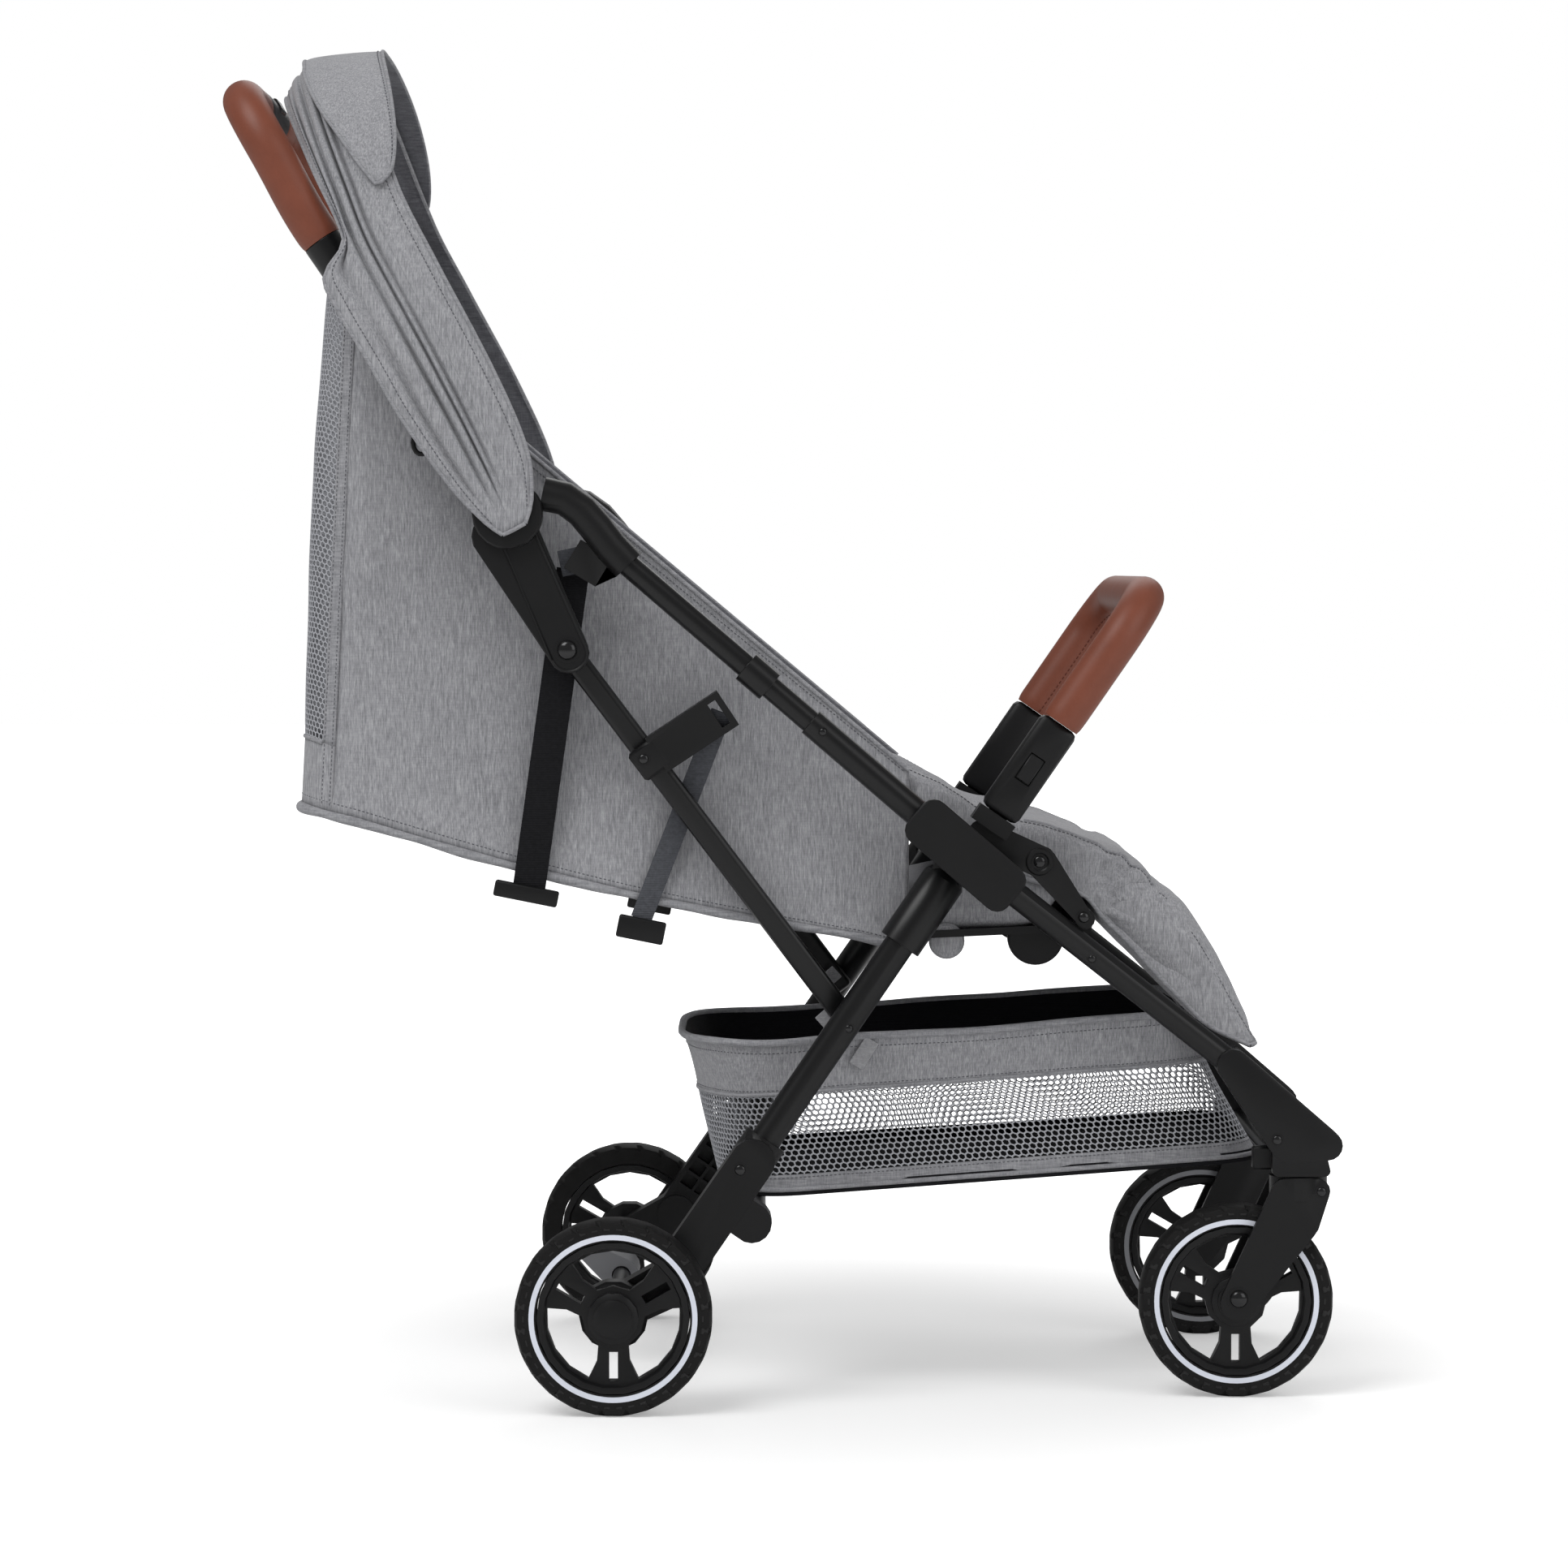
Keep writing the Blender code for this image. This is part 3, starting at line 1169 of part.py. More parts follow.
def make_rim(name, wheel_name, centre, side, width, hub_out, bolt):
    """A wheel's rim: barrel, forked spokes and a hub that is open inwards, or right through."""
    outer = WHEEL_RADIUS - TYRE_DEPTH - FIT_GAP
    inner = WHEEL_RADIUS - TYRE_DEPTH - BARREL_THICKNESS
    half = width / 2 * BARREL_SHARE
    edge = mix(inner, outer, BARREL_EDGE_SHARE)
    profile = [(outer, half), (outer, -half), (edge, -half), (inner, 0.0), (edge, half), (outer, half)]
    along = Vector((0.0, side, 0.0))
    rim = turned(name, profile, centre.copy(), along, 22, PLASTIC)
    disc = plate(f"{name}_disc", spoke_outlines(), -SPOKE_THICKNESS / 2, SPOKE_THICKNESS / 2, PLASTIC)
    disc.location = centre
    through = bolt == BOLT_RADIUS
    cap_face = width / 2 + hub_out
    inner_face = -width / 2 if through else -HUB_RADIUS
    drum = HUB_RADIUS if through else DRUM_RADIUS
    hub_profile = [
        (0.0, cap_face),
        (HUB_CAP_RADIUS, cap_face),
        (HUB_CAP_RADIUS, cap_face - HUB_CAP_RISE),
        (HUB_RADIUS, cap_face - HUB_CAP_SHOULDER),
        (HUB_RADIUS, SPOKE_THICKNESS / 4),
        (drum, -SPOKE_THICKNESS / 4),
        (drum, inner_face),
        (0.0, inner_face),
    ]
    hub = turned(f"{name}_hub", hub_profile, centre, along, 14, PLASTIC)
    join(rim, disc, hub)
    deep = width if through else width / 2 - HUB_CAP_RISE + FIT_GAP
    bore = rod(f"{name}_bore", centre - along * width, centre + along * deep, bolt + FIT_GAP, PLASTIC, 12)
    cut(rim, bore)
    hang(rim, wheel_name)


def make_wheels(name, side):
    """The rear wheel and the front wheel of one side."""
    rear = at_y(REAR_AXLE, side * REAR_WHEEL_Y)
    axis = f"rear_wheel_{name}_axis"
    make_tyre(f"rear_tyre_{name}", axis, rear, REAR_TYRE_WIDTH)
    make_rim(f"rear_rim_{name}", axis, rear, side, REAR_TYRE_WIDTH, HUB_CAP_RISE, AXLE_RADIUS)
    front = at_y(FRONT_AXLE, side * FRONT_WHEEL_Y)
    axis = f"front_wheel_{name}_axis"
    make_tyre(f"front_tyre_{name}", axis, front, FRONT_TYRE_WIDTH)
    make_rim(f"front_rim_{name}", axis, front, side, FRONT_TYRE_WIDTH, FORK_CLEARANCE / 2, BOLT_RADIUS)


def make_brake_pedal():
    """The foot lever that turns on the rear axle."""
    collar = (REAR_AXLE, PEDAL_COLLAR_RADIUS)
    edge = (polar(REAR_AXLE, PEDAL_LENGTH, PEDAL_ANGLE), PEDAL_EDGE_RADIUS)
    bore = circle(REAR_AXLE, AXLE_RADIUS + TURN_GAP, 16)
    outlines = [belt(collar, edge, steps=16), bore]
    pedal = plate("brake_pedal", outlines, -PEDAL_WIDTH / 2, PEDAL_WIDTH / 2, PEDAL_GREY)
    soften(pedal, PEDAL_EDGE_RADIUS / 5)
    hang(pedal, "brake_axis")


# Linkage


def make_arm(name, side):
    """The arm between the handle hinge and the strut, with the pin that the strut turns on."""
    low, high = between(ARM_INNER, ARM_OUTER, side)
    shoulder = (polar(HANDLE_PIVOT, ARM_SHOULDER_REACH, ARM_SHOULDER_ANGLE), ARM_SHOULDER_RADIUS)
    outline = belt((HANDLE_PIVOT, ARM_ROOT_RADIUS), shoulder, (ARM_PIN, ARM_END_RADIUS))
    arm = plate(f"arm_{name}", [outline], low, high, PLASTIC)
    soften(arm, ARM_THICKNESS / 5)
    middle = side * (ARM_INNER + ARM_THICKNESS / 2)
    boss_end = side * (HANDLE_KNUCKLE_OUTER + TURN_GAP)
    pin_end = side * (STRUT_TOP_Y - STRUT_THICKNESS / 2)
    boss = rod(
        f"arm_boss_{name}", at_y(HANDLE_PIVOT, boss_end), at_y(HANDLE_PIVOT, middle), ARM_BOSS_RADIUS, PLASTIC, 14
    )
    pin = rod(f"arm_pin_{name}", at_y(ARM_PIN, pin_end), at_y(ARM_PIN, middle), BOLT_RADIUS, PLASTIC, 10)
    join(arm, boss, pin)
    cut(arm, pivot_bore(f"arm_bore_{name}", HANDLE_PIVOT, side, FRAME_Y, PIN_RADIUS))
    hang(arm, "arms_axis")


def make_strut(name, side):
    """The flat oval strut bar from the arm's pin down to the inside of the rear leg."""
    top = at_y(ARM_PIN, side * STRUT_TOP_Y)
    low = at_y(STRUT_PIN, side * STRUT_LOW_Y)
    along = (low - top).normalized()
    strut = oriented_box(
        f"strut_{name}",
        (top + low) / 2,
        along,
        Vector((0.0, 1.0, 0.0)),
        ((low - top).length + 2 * STRUT_END, STRUT_THICKNESS - FIT_GAP, STRUT_WIDTH),
        TUBE_BLACK,
    )
    soften(strut, STRUT_EDGE, 2)
    cut(strut, pivot_bore(f"strut_bore_{name}", ARM_PIN, side, STRUT_TOP_Y, BOLT_RADIUS))
    hang(strut, "struts_axis")


def make_strap_guide(name, side):
    """The strap guide that is clipped to the strut's outer face: a foot and a box with a slot."""
    top = at_y(ARM_PIN, side * STRUT_TOP_Y)
    low = at_y(STRUT_PIN, side * STRUT_LOW_Y)
    along = (low - top).normalized()
    across = Vector((0.0, side, 0.0))
    across = (across - across.dot(along) * along).normalized()
    reach = at_y(polar((0.0, 0.0), 1.0, GUIDE_ANGLE), 0.0)
    reach = (reach - reach.dot(across) * across).normalized()
    centre = top + along * GUIDE_DOWN_STRUT + across * (STRUT_THICKNESS / 2 + FIT_GAP + GUIDE_THICKNESS / 2)
    foot_sizes = (STRAP_WIDTH, GUIDE_THICKNESS, GUIDE_FOOT_WIDTH)
    foot = oriented_box(f"strap_guide_{name}", centre, along, across, foot_sizes, PLASTIC)
    soften(foot, GUIDE_THICKNESS / 5)
    near = GUIDE_FOOT_WIDTH / 4
    box_centre = centre + reach * (near + GUIDE_LENGTH) / 2
    box_sizes = (GUIDE_LENGTH - near, GUIDE_THICKNESS - FIT_GAP * 2, GUIDE_WIDTH)
    box = oriented_box(f"strap_guide_box_{name}", box_centre, reach, across, box_sizes, PLASTIC)
    slot_centre = centre + reach * (GUIDE_LENGTH - GUIDE_SLOT_EDGE - GUIDE_SLOT_LENGTH / 2)
    slot_sizes = (GUIDE_SLOT_LENGTH, GUIDE_THICKNESS * 2, GUIDE_SLOT_WIDTH)
    slot = oriented_box(f"strap_guide_slot_{name}", slot_centre, reach, across, slot_sizes, PLASTIC)
    join(foot, box)
    cut(foot, slot)
    hang(foot, "struts_axis")


# Handle


def make_handle_tube(name, side):
    """A handle side tube with its collar and its knuckle inside the elbow."""
    along = at_y(polar((0.0, 0.0), 1.0, HANDLE_ANGLE), 0.0)
    length = HANDLE_TUBE_LENGTH + COLLAR_LENGTH
    profile = [
        (0.0, length),
        (COLLAR_RADIUS, length),
        (COLLAR_RADIUS, HANDLE_TUBE_LENGTH),
        (HANDLE_RADIUS, HANDLE_TUBE_LENGTH),
        (HANDLE_RADIUS, HANDLE_TUBE_START),
        (0.0, HANDLE_TUBE_START),
    ]
    handle = turned(
        f"handle_tube_{name}", profile, at_y(HANDLE_PIVOT, side * HANDLE_Y), along, 16, TUBE_BLACK
    )
    low, high = between(HANDLE_Y - COLLAR_RADIUS + TURN_GAP, HANDLE_KNUCKLE_OUTER, side)
    knuckle = plate(
        f"handle_knuckle_{name}", [circle(HANDLE_PIVOT, ARM_ROOT_RADIUS)], low, high, PLASTIC
    )
    join(handle, knuckle)
    cut(handle, pivot_bore(f"handle_bore_{name}", HANDLE_PIVOT, side, HANDLE_Y, PIN_RADIUS))
    hang(handle, "handle_axis")


def handle_grip_side():
    """The side-view line of the handle grip, from the collar to its top."""
    start = polar(COLLAR_TOP, FIT_GAP, HANDLE_ANGLE)
    straight = polar(COLLAR_TOP, COLLAR_RADIUS / 2, HANDLE_ANGLE)
    end = polar(COLLAR_TOP, GRIP_LENGTH, GRIP_ANGLE)
    corner = polar(end, -GRIP_CORNER, GRIP_ANGLE)
    return [start] + bent(straight, HANDLE_ANGLE, corner, GRIP_ANGLE, 3) + [end]


def make_handle_grip():
    """The leather-wrapped U of the handle, with the pocket of the fold button."""
    side_points = handle_grip_side()
    path = grip_path(side_points, HANDLE_Y, GRIP_CORNER, 5)
    grip = tube("handle_grip", path, GRIP_RADIUS, LEATHER)
    face = at_y(polar((0.0, 0.0), 1.0, GRIP_ANGLE - 90.0), 0.0)
    across = Vector((0.0, 1.0, 0.0))
    centre = at_y(side_points[-1], 0.0) + face * GRIP_RADIUS
    gap = TURN_GAP * 2
    pocket_sizes = (FOLD_BUTTON_LENGTH + gap, FOLD_POCKET_DEPTH * 2, BUTTON_WIDTH + gap)
    cut(grip, oriented_box("handle_pocket", centre, across, face, pocket_sizes, PLASTIC))
    hang(grip, "handle_axis")
    sunk = FOLD_POCKET_DEPTH - FIT_GAP - BUTTON_TRAVEL - BUTTON_HEIGHT / 2
    button_sizes = (FOLD_BUTTON_LENGTH, BUTTON_HEIGHT, BUTTON_WIDTH)
    button = oriented_box("fold_button", centre - face * sunk, across, face, button_sizes, PLASTIC)
    soften(button, BUTTON_HEIGHT / 6)
    hang(button, "handle_axis")


# Bumper bar


def bumper_frame():
    """The bumper bar's direction, and where its fittings start and end, in the side view."""
    start = polar(BUMPER_SEAT, BUMPER_BASE_END + TURN_GAP, BUMPER_ANGLE)
    end = polar(start, FITTING_LENGTH, BUMPER_ANGLE)
    return at_y(polar((0.0, 0.0), 1.0, BUMPER_ANGLE), 0.0), start, end


def make_bumper(name, side):
    """An end fitting of the bumper bar, hollow over the hub's stub, and its release button."""
    along, start, end = bumper_frame()
    across = Vector((0.0, side, 0.0))
    fitting = oriented_box(
        f"bumper_fitting_{name}",
        at_y((start + end) / 2, side * BUMPER_Y),
        along,
        across,
        (FITTING_LENGTH, FITTING_THICKNESS, FITTING_WIDTH),
        PLASTIC,
    )
    soften(fitting, FITTING_THICKNESS / 4, 2)
    stub_end = polar(BUMPER_SEAT, BUMPER_BASE_END + STUB_LENGTH + CHEEK_THICKNESS, BUMPER_ANGLE)
    hollow = oriented_box(
        f"bumper_hollow_{name}",
        at_y(polar(stub_end, -STUB_LENGTH, BUMPER_ANGLE), side * BUMPER_Y),
        along,
        across,
        (STUB_LENGTH * 2, STUB_THICKNESS + FIT_GAP * 2, STUB_WIDTH + FIT_GAP * 2),
        PLASTIC,
    )
    button_place = at_y(mix(start, end, 0.50), side * (BUMPER_Y + FITTING_THICKNESS / 2))
    recess = oriented_box(
        f"bumper_recess_{name}",
        button_place,
        along,
        across,
        (BUTTON_LENGTH + TURN_GAP * 2, 2 * BUTTON_RECESS, BUTTON_WIDTH + TURN_GAP * 2),
        PLASTIC,
    )
    cut(fitting, hollow, recess)
    hang(fitting, "bumper_axis")
    thick = BUTTON_RECESS - FIT_GAP - BUTTON_TRAVEL / 2
    button = oriented_box(
        f"bumper_button_{name}",
        button_place - across * (BUTTON_RECESS - FIT_GAP - BUTTON_TRAVEL - thick / 2),
        along,
        across,
        (BUTTON_LENGTH, thick, BUTTON_WIDTH),
        PLASTIC,
    )
    soften(button, BUTTON_HEIGHT / 9)
    hang(button, "bumper_axis")


def make_bumper_grip():
    """The leather-wrapped U of the bumper bar."""
    _, _, end = bumper_frame()
    start = polar(end, FIT_GAP, BUMPER_ANGLE)
    top = polar(start, BUMPER_GRIP_LENGTH, BUMPER_ANGLE)
    side_points = [start, polar(top, -GRIP_CORNER, BUMPER_ANGLE), top]
    grip = tube("bumper_grip", grip_path(side_points, BUMPER_Y, GRIP_CORNER, 5), BUMPER_GRIP_RADIUS, LEATHER)
    hang(grip, "bumper_axis")


# Seat


def seat_line(x):
    """The height of the seat bucket's lower hem at a place along the stroller."""
    share = (SEAT_HINGE.x - x) / BACK_PAD_LENGTH
    rise = BACK_PAD_LENGTH * math.tan(math.radians(180.0 - BACK_PAD_ANGLE))
    sag = HEM_SAG * math.sin(math.pi * min(max(share, 0.0), 1.0))
    return SEAT_HINGE.y - BACK_TUBE_RADIUS + rise * share - sag


def seat_top_line(x):
    """The height of the seat bucket's upper edge at a place along the stroller."""
    return PIVOT.y + along_table(BUCKET_TOP_LINE, x - PIVOT.x)


def bucket_columns():
    """The seat bucket's plan: (x, y) from the left front, round the rear wall, to the right front."""
    front_x = PIVOT.x - BUCKET_FRONT
    rear_x = SEAT_HINGE.x - BUCKET_LENGTH
    half = [(mix(front_x, rear_x + BUCKET_CORNER, k / 4), SEAT_Y) for k in range(5)]
    for k in range(1, 5):
        turn = math.radians(90.0 * k / 4)
        x = rear_x + BUCKET_CORNER * (1.0 - math.sin(turn))
        half.append((x, SEAT_Y - BUCKET_CORNER * (1.0 - math.cos(turn))))
    half.append((rear_x, SEAT_Y / 3))
    return half + [(x, -y) for x, y in reversed(half)]


def make_seat_bucket():
    """The fabric tub of the seat: two side panels and a rear panel that leans forward at its top."""
    built = bmesh.new()
    columns = bucket_columns()
    rear_x = min(x for x, _ in columns)
    front_x = max(x for x, _ in columns)
    rows = 3
    grid = []
    for x, y in columns:
        lean = BUCKET_LEAN * (front_x - x) / (front_x - rear_x)
        low, high = seat_line(x), seat_top_line(x + lean)
        line = []
        for k in range(rows + 1):
            share = k / rows
            line.append(built.verts.new((x + lean * share, y, mix(low, high, share))))
        grid.append(line)
    for one, other in zip(grid, grid[1:]):
        for k in range(rows):
            built.faces.new((one[k], other[k], other[k + 1], one[k + 1]))
    bucket = from_bmesh("seat_bucket", built, FABRIC)
    thicken(bucket, PANEL_THICKNESS)


def thicken(made, thickness):
    """Gives an open surface a wall on its inner side."""
    wall = made.modifiers.new("Wall", "SOLIDIFY")
    wall.thickness = thickness
    wall.offset = -1.0
    return made


def make_back():
    """The hinge tube of the back and the pad that lies back from it."""
    half = SEAT_INSIDE_Y
    reach = SEAT_Y - PANEL_THICKNESS - FIT_GAP
    bar = rod("back_tube", at_y(SEAT_HINGE, -reach), at_y(SEAT_HINGE, reach), BACK_TUBE_RADIUS, TUBE_BLACK, 14)
    hang(bar, "back_tube_axis")
    start = polar(SEAT_HINGE, BACK_TUBE_RADIUS + BACK_PAD_THICKNESS / 2 + FIT_GAP, BACK_PAD_ANGLE)
    end = polar(start, BACK_PAD_LENGTH - BACK_PAD_SETBACK, BACK_PAD_ANGLE)
    pad = plate(
        "backrest_pad",
        [belt((start, BACK_PAD_THICKNESS / 2), (end, BACK_PAD_THICKNESS / 2), steps=12)],
        -half + SEAT_SIDE_GAP,
        half - SEAT_SIDE_GAP,
        PADDING,
    )
    soften(pad, BACK_PAD_THICKNESS / 4, angle=60.0)
    hang(pad, "backrest_axis")


def base_point(share, lift):
    """A point on the seat base's line, from the back hinge to the seat cross tube."""
    start, end = SEAT_HINGE, LEG_REST_PIVOT
    along = (end - start).normalized()
    up = Vector((-along.y, along.x))
    return start + (end - start) * share + up * lift


def make_seat_base():
    """The seat board, whose side view hooks over the cross tube and ends under the back hinge."""
    half = SEAT_INSIDE_Y
    drop = -(BACK_TUBE_RADIUS + FIT_GAP + BASE_THICKNESS / 2)
    start, end = base_point(0.0, drop), base_point(BASE_END_SHARE, drop)
    outline = belt((start, BASE_THICKNESS / 2), (end, BASE_THICKNESS / 2), steps=10)
    board = plate("seat_base", [outline], -half, half, PLASTIC)
    rest = (base_point(1.0, -SEAT_TUBE_RADIUS), SEAT_TUBE_RADIUS)
    hook_outline = belt((end, BASE_THICKNESS / 2 - FIT_GAP), rest, steps=14)
    hook = plate("seat_base_hook", [hook_outline], -half + CLOTH_GAP, half - CLOTH_GAP, PLASTIC)
    join(board, hook)
    ends = (at_y(LEG_REST_PIVOT, -SEAT_Y), at_y(LEG_REST_PIVOT, SEAT_Y))
    cut(board, rod("seat_base_saddle", *ends, SEAT_TUBE_RADIUS + FIT_GAP, PLASTIC, 16))


def make_cushion():
    """The seat cushion, thicker at the knees, and the harness buckle on it."""
    half = SEAT_INSIDE_Y - CLOTH_GAP
    outline = [base_point(share, lift) for share, lift in CUSHION_SECTION]
    knee, dip = outline[4], outline[5]
    cushion = plate("seat_cushion", [outline], -half, half, PADDING)
    soften(cushion, CUSHION_EDGE, angle=50.0)
    top_along = (knee - dip).normalized()
    up = Vector((-top_along.y, top_along.x))
    if up.y < 0.0:
        up = -up
    place = at_y(mix(knee, dip, 0.5) + up * (BUCKLE_THICKNESS / 2 + FIT_GAP), 0.0)
    sizes = (BUCKLE_LENGTH, BUCKLE_WIDTH, BUCKLE_THICKNESS)
    buckle = oriented_box("harness_buckle", place, at_y(top_along, 0.0), Vector((0.0, 1.0, 0.0)), sizes, PLASTIC)
    soften(buckle, BUCKLE_THICKNESS / 4)


def make_leg_rest():
    """The padded leg rest, a wedge that hangs ahead of the seat cross tube and thins to its tip."""
    half = SEAT_INSIDE_Y
    corners = [(LEG_REST_PIVOT + Vector(point), LEG_REST_EDGE) for point in LEG_REST_SECTION]
    rest = plate("leg_rest", [belt(*corners, steps=12)], -half, half, PADDING)
    soften(rest, LEG_REST_EDGE / 2, angle=60.0)
    hang(rest, "leg_rest_axis")


def make_recline_strap(name, side):
    """The wide strap from the elbow's lug down to the back pad's edge, beside the seat bucket."""
    top_place = RAIL_TOP + Vector((-STRAP_TOP_BACK, STRAP_TOP_RISE))
    top = at_y(top_place, side * (FRAME_Y - STRAP_LUG_THICKNESS - STRAP_THICKNESS / 2 - FIT_GAP))
    low_place = top_place - Vector((STRAP_LEAN, STRAP_LENGTH))
    low = at_y(low_place, side * (SEAT_Y + STRAP_THICKNESS / 2 + CLOTH_GAP))
    sizes = ((low - top).length, STRAP_THICKNESS, STRAP_WIDTH)
    middle = (top + low) / 2
    oriented_box(f"recline_strap_{name}", middle, low - top, Vector((0.0, 1.0, 0.0)), sizes, WEBBING)


# Basket


def make_basket():
    """The open basket: a tub that widens towards its rim and rests over the cross tubes."""
    front_tube = front_tube_place()
    floor_rear = CROSS_TUBE + Vector((-BASKET_REAR_OVERHANG, CROSS_TUBE_RADIUS + CLOTH_GAP))
    floor_front = front_tube + Vector((-FRONT_TUBE_RADIUS - CLOTH_GAP, 0.0))
    rim_rear = Vector((floor_rear.x - BASKET_REAR_LEAN, BASKET_REAR_RIM_HEIGHT))
    rim_front = Vector((floor_front.x - BASKET_FRONT_LEAN, BASKET_FRONT_RIM_HEIGHT))
    rings = []
    built = bmesh.new()
    for share in (0.0, 0.5, 1.0):
        rear = mix(floor_rear, rim_rear, share)
        front = mix(floor_front, rim_front, share)
        wide = mix(BASKET_FLOOR_SHARE, 1.0, share)
        ring = []
        for x_share, y_share in basket_plan():
            place = mix(rear, front, x_share)
            half = mix(BASKET_REAR_HALF_WIDTH, BASKET_FRONT_HALF_WIDTH, x_share) * wide
            ring.append(built.verts.new(at_y(place, half * y_share)))
        rings.append(ring)
    for ring, above in zip(rings, rings[1:]):
        for i in range(len(ring)):
            j = (i + 1) % len(ring)
            built.faces.new((ring[i], ring[j], above[j], above[i]))
    built.faces.new(rings[0])
    basket = from_bmesh("basket", built, FABRIC)
    thicken(basket, BASKET_WALL)
    hang(basket, "rear_legs_axis")


def basket_plan():
    """The basket's plan with round corners, as shares of its length and half width."""
    along, across = BASKET_CORNER_ALONG, BASKET_CORNER_ACROSS
    plan = []
    for corner, x in enumerate((1.0 - along, along)):
        for k in range(4):
            turn = math.radians(90.0 * corner + 30.0 * k)
            plan.append((x + along * math.cos(turn), 1.0 - across + across * math.sin(turn)))
    return plan + [(x, -y) for x, y in reversed(plan)]


# Canopy


def along_table(table, place):
    """The value at a place along a table of places and values."""
    for (low, first), (high, second) in zip(table, table[1:]):
        if place <= high:
            return mix(first, second, max(0.0, place - low) / (high - low))
    return table[-1][1]


def canopy_point(row, side, layer, puff):
    """A point of the canopy: row runs up the arch, layer from its rear hem to its visor."""
    along = CANOPY_HEIGHT * row * along_table(CANOPY_CROWN, layer)
    width = max(0.0, 1.0 - abs(row) ** CANOPY_SQUARENESS) ** (1 / CANOPY_SQUARENESS)
    rear, front = along_table(CANOPY_REAR_EDGE, along), along_table(CANOPY_FRONT_EDGE, along)
    line = polar(HANDLE_PIVOT, along + puff * row, CANOPY_ANGLE)
    y = side * (CANOPY_OUTER * width + puff * (1.0 - max(0.0, row)) * (width > 0.0))
    return at_y(polar(line, mix(rear, front, layer), CANOPY_ANGLE - 90.0), y)


def make_canopy_layer(name, low, high, axis):
    """One fold of the canopy, as a wall between two of its layers, puffed out along its middle."""
    built = bmesh.new()
    arch = [(row, 1.0) for row in CANOPY_ROWS] + [(row, -1.0) for row in CANOPY_ROWS[-2::-1]]
    grid = []
    for row, side in arch:
        places = ((low, 0.0), (mix(low, high, 0.5), CANOPY_PUFF), (high, 0.0))
        grid.append([built.verts.new(canopy_point(row, side, layer, puff)) for layer, puff in places])
    for one, other in zip(grid, grid[1:]):
        for k in range(2):
            built.faces.new((one[k], one[k + 1], other[k + 1], other[k]))
    layer = from_bmesh(name, built, FABRIC)
    thicken(layer, CANOPY_WALL)
    hang(layer, axis)


def make_canopy():
    """The canopy, folded back against the handle, in three folds."""
    gap = CANOPY_GAP_SHARE / 2
    names = ("canopy_rear", "canopy_mid", "canopy_front")
    axes = ("handle_axis", "canopy_mid_axis", "canopy_front_axis")
    for name, axis, low, high in zip(names, axes, CANOPY_FOLDS, CANOPY_FOLDS[1:]):
        make_canopy_layer(name, low + gap, high - gap, axis)


def main():
    """Builds every piece."""
    make_axes()
    for name, side in SIDES:
        make_rail(name, side)
        make_elbow(name, side)
        make_hub(name, side)
        make_front_leg(name, side)
        make_rear_leg(name, side)
        make_rear_bracket(name, side)
        make_front_bracket(name, side)
        make_fork(name, side)
        make_swivel_lock(name, side)
        make_wheels(name, side)
        make_arm(name, side)
        make_strut(name, side)
        make_strap_guide(name, side)
        make_handle_tube(name, side)
        make_bumper(name, side)
        make_recline_strap(name, side)
    make_seat_crossbar()
    make_rear_tubes()
    make_front_crossbar()
    make_brake_pedal()
    make_handle_grip()
    make_bumper_grip()
    make_seat_bucket()
    make_back()
    make_seat_base()
    make_cushion()
    make_leg_rest()
    make_basket()
    make_canopy()


main()
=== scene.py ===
"""A lightweight folding stroller: its visible surfaces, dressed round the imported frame.

Frame: +X forward, +Y to the stroller's left, +Z up, metres. Each sub-assembly is a class whose fields are
its sizes; a finish is a small frozen dataclass; main() builds them in order.
"""

from __future__ import annotations

import json
import logging
import math
from dataclasses import dataclass
from enum import Enum
from typing import Callable, ClassVar, Sequence

import bmesh
import bpy
from mathutils import Matrix, Vector, noise
from mathutils.bvhtree import BVHTree

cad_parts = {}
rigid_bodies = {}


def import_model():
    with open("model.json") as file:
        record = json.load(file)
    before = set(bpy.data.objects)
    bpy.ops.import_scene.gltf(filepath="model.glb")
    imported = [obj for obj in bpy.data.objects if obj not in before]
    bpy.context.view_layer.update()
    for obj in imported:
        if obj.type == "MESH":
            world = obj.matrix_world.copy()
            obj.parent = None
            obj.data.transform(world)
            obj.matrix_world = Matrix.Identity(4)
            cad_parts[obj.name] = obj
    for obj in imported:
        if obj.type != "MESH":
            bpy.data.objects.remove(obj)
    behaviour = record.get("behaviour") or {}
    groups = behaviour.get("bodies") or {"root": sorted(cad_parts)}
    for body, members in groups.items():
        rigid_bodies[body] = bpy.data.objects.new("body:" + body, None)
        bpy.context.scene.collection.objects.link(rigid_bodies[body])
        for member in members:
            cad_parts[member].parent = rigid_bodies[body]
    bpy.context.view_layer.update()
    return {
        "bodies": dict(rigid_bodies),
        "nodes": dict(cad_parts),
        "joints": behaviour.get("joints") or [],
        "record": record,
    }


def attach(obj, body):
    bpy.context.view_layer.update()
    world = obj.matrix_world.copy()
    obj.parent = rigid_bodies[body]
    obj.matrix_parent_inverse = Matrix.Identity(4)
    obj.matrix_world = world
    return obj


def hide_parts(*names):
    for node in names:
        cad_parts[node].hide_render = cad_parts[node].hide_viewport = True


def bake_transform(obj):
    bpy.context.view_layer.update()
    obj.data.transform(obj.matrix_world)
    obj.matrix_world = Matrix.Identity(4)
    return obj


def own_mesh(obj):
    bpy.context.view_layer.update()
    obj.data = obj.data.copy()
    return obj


log = logging.getLogger("stroller")

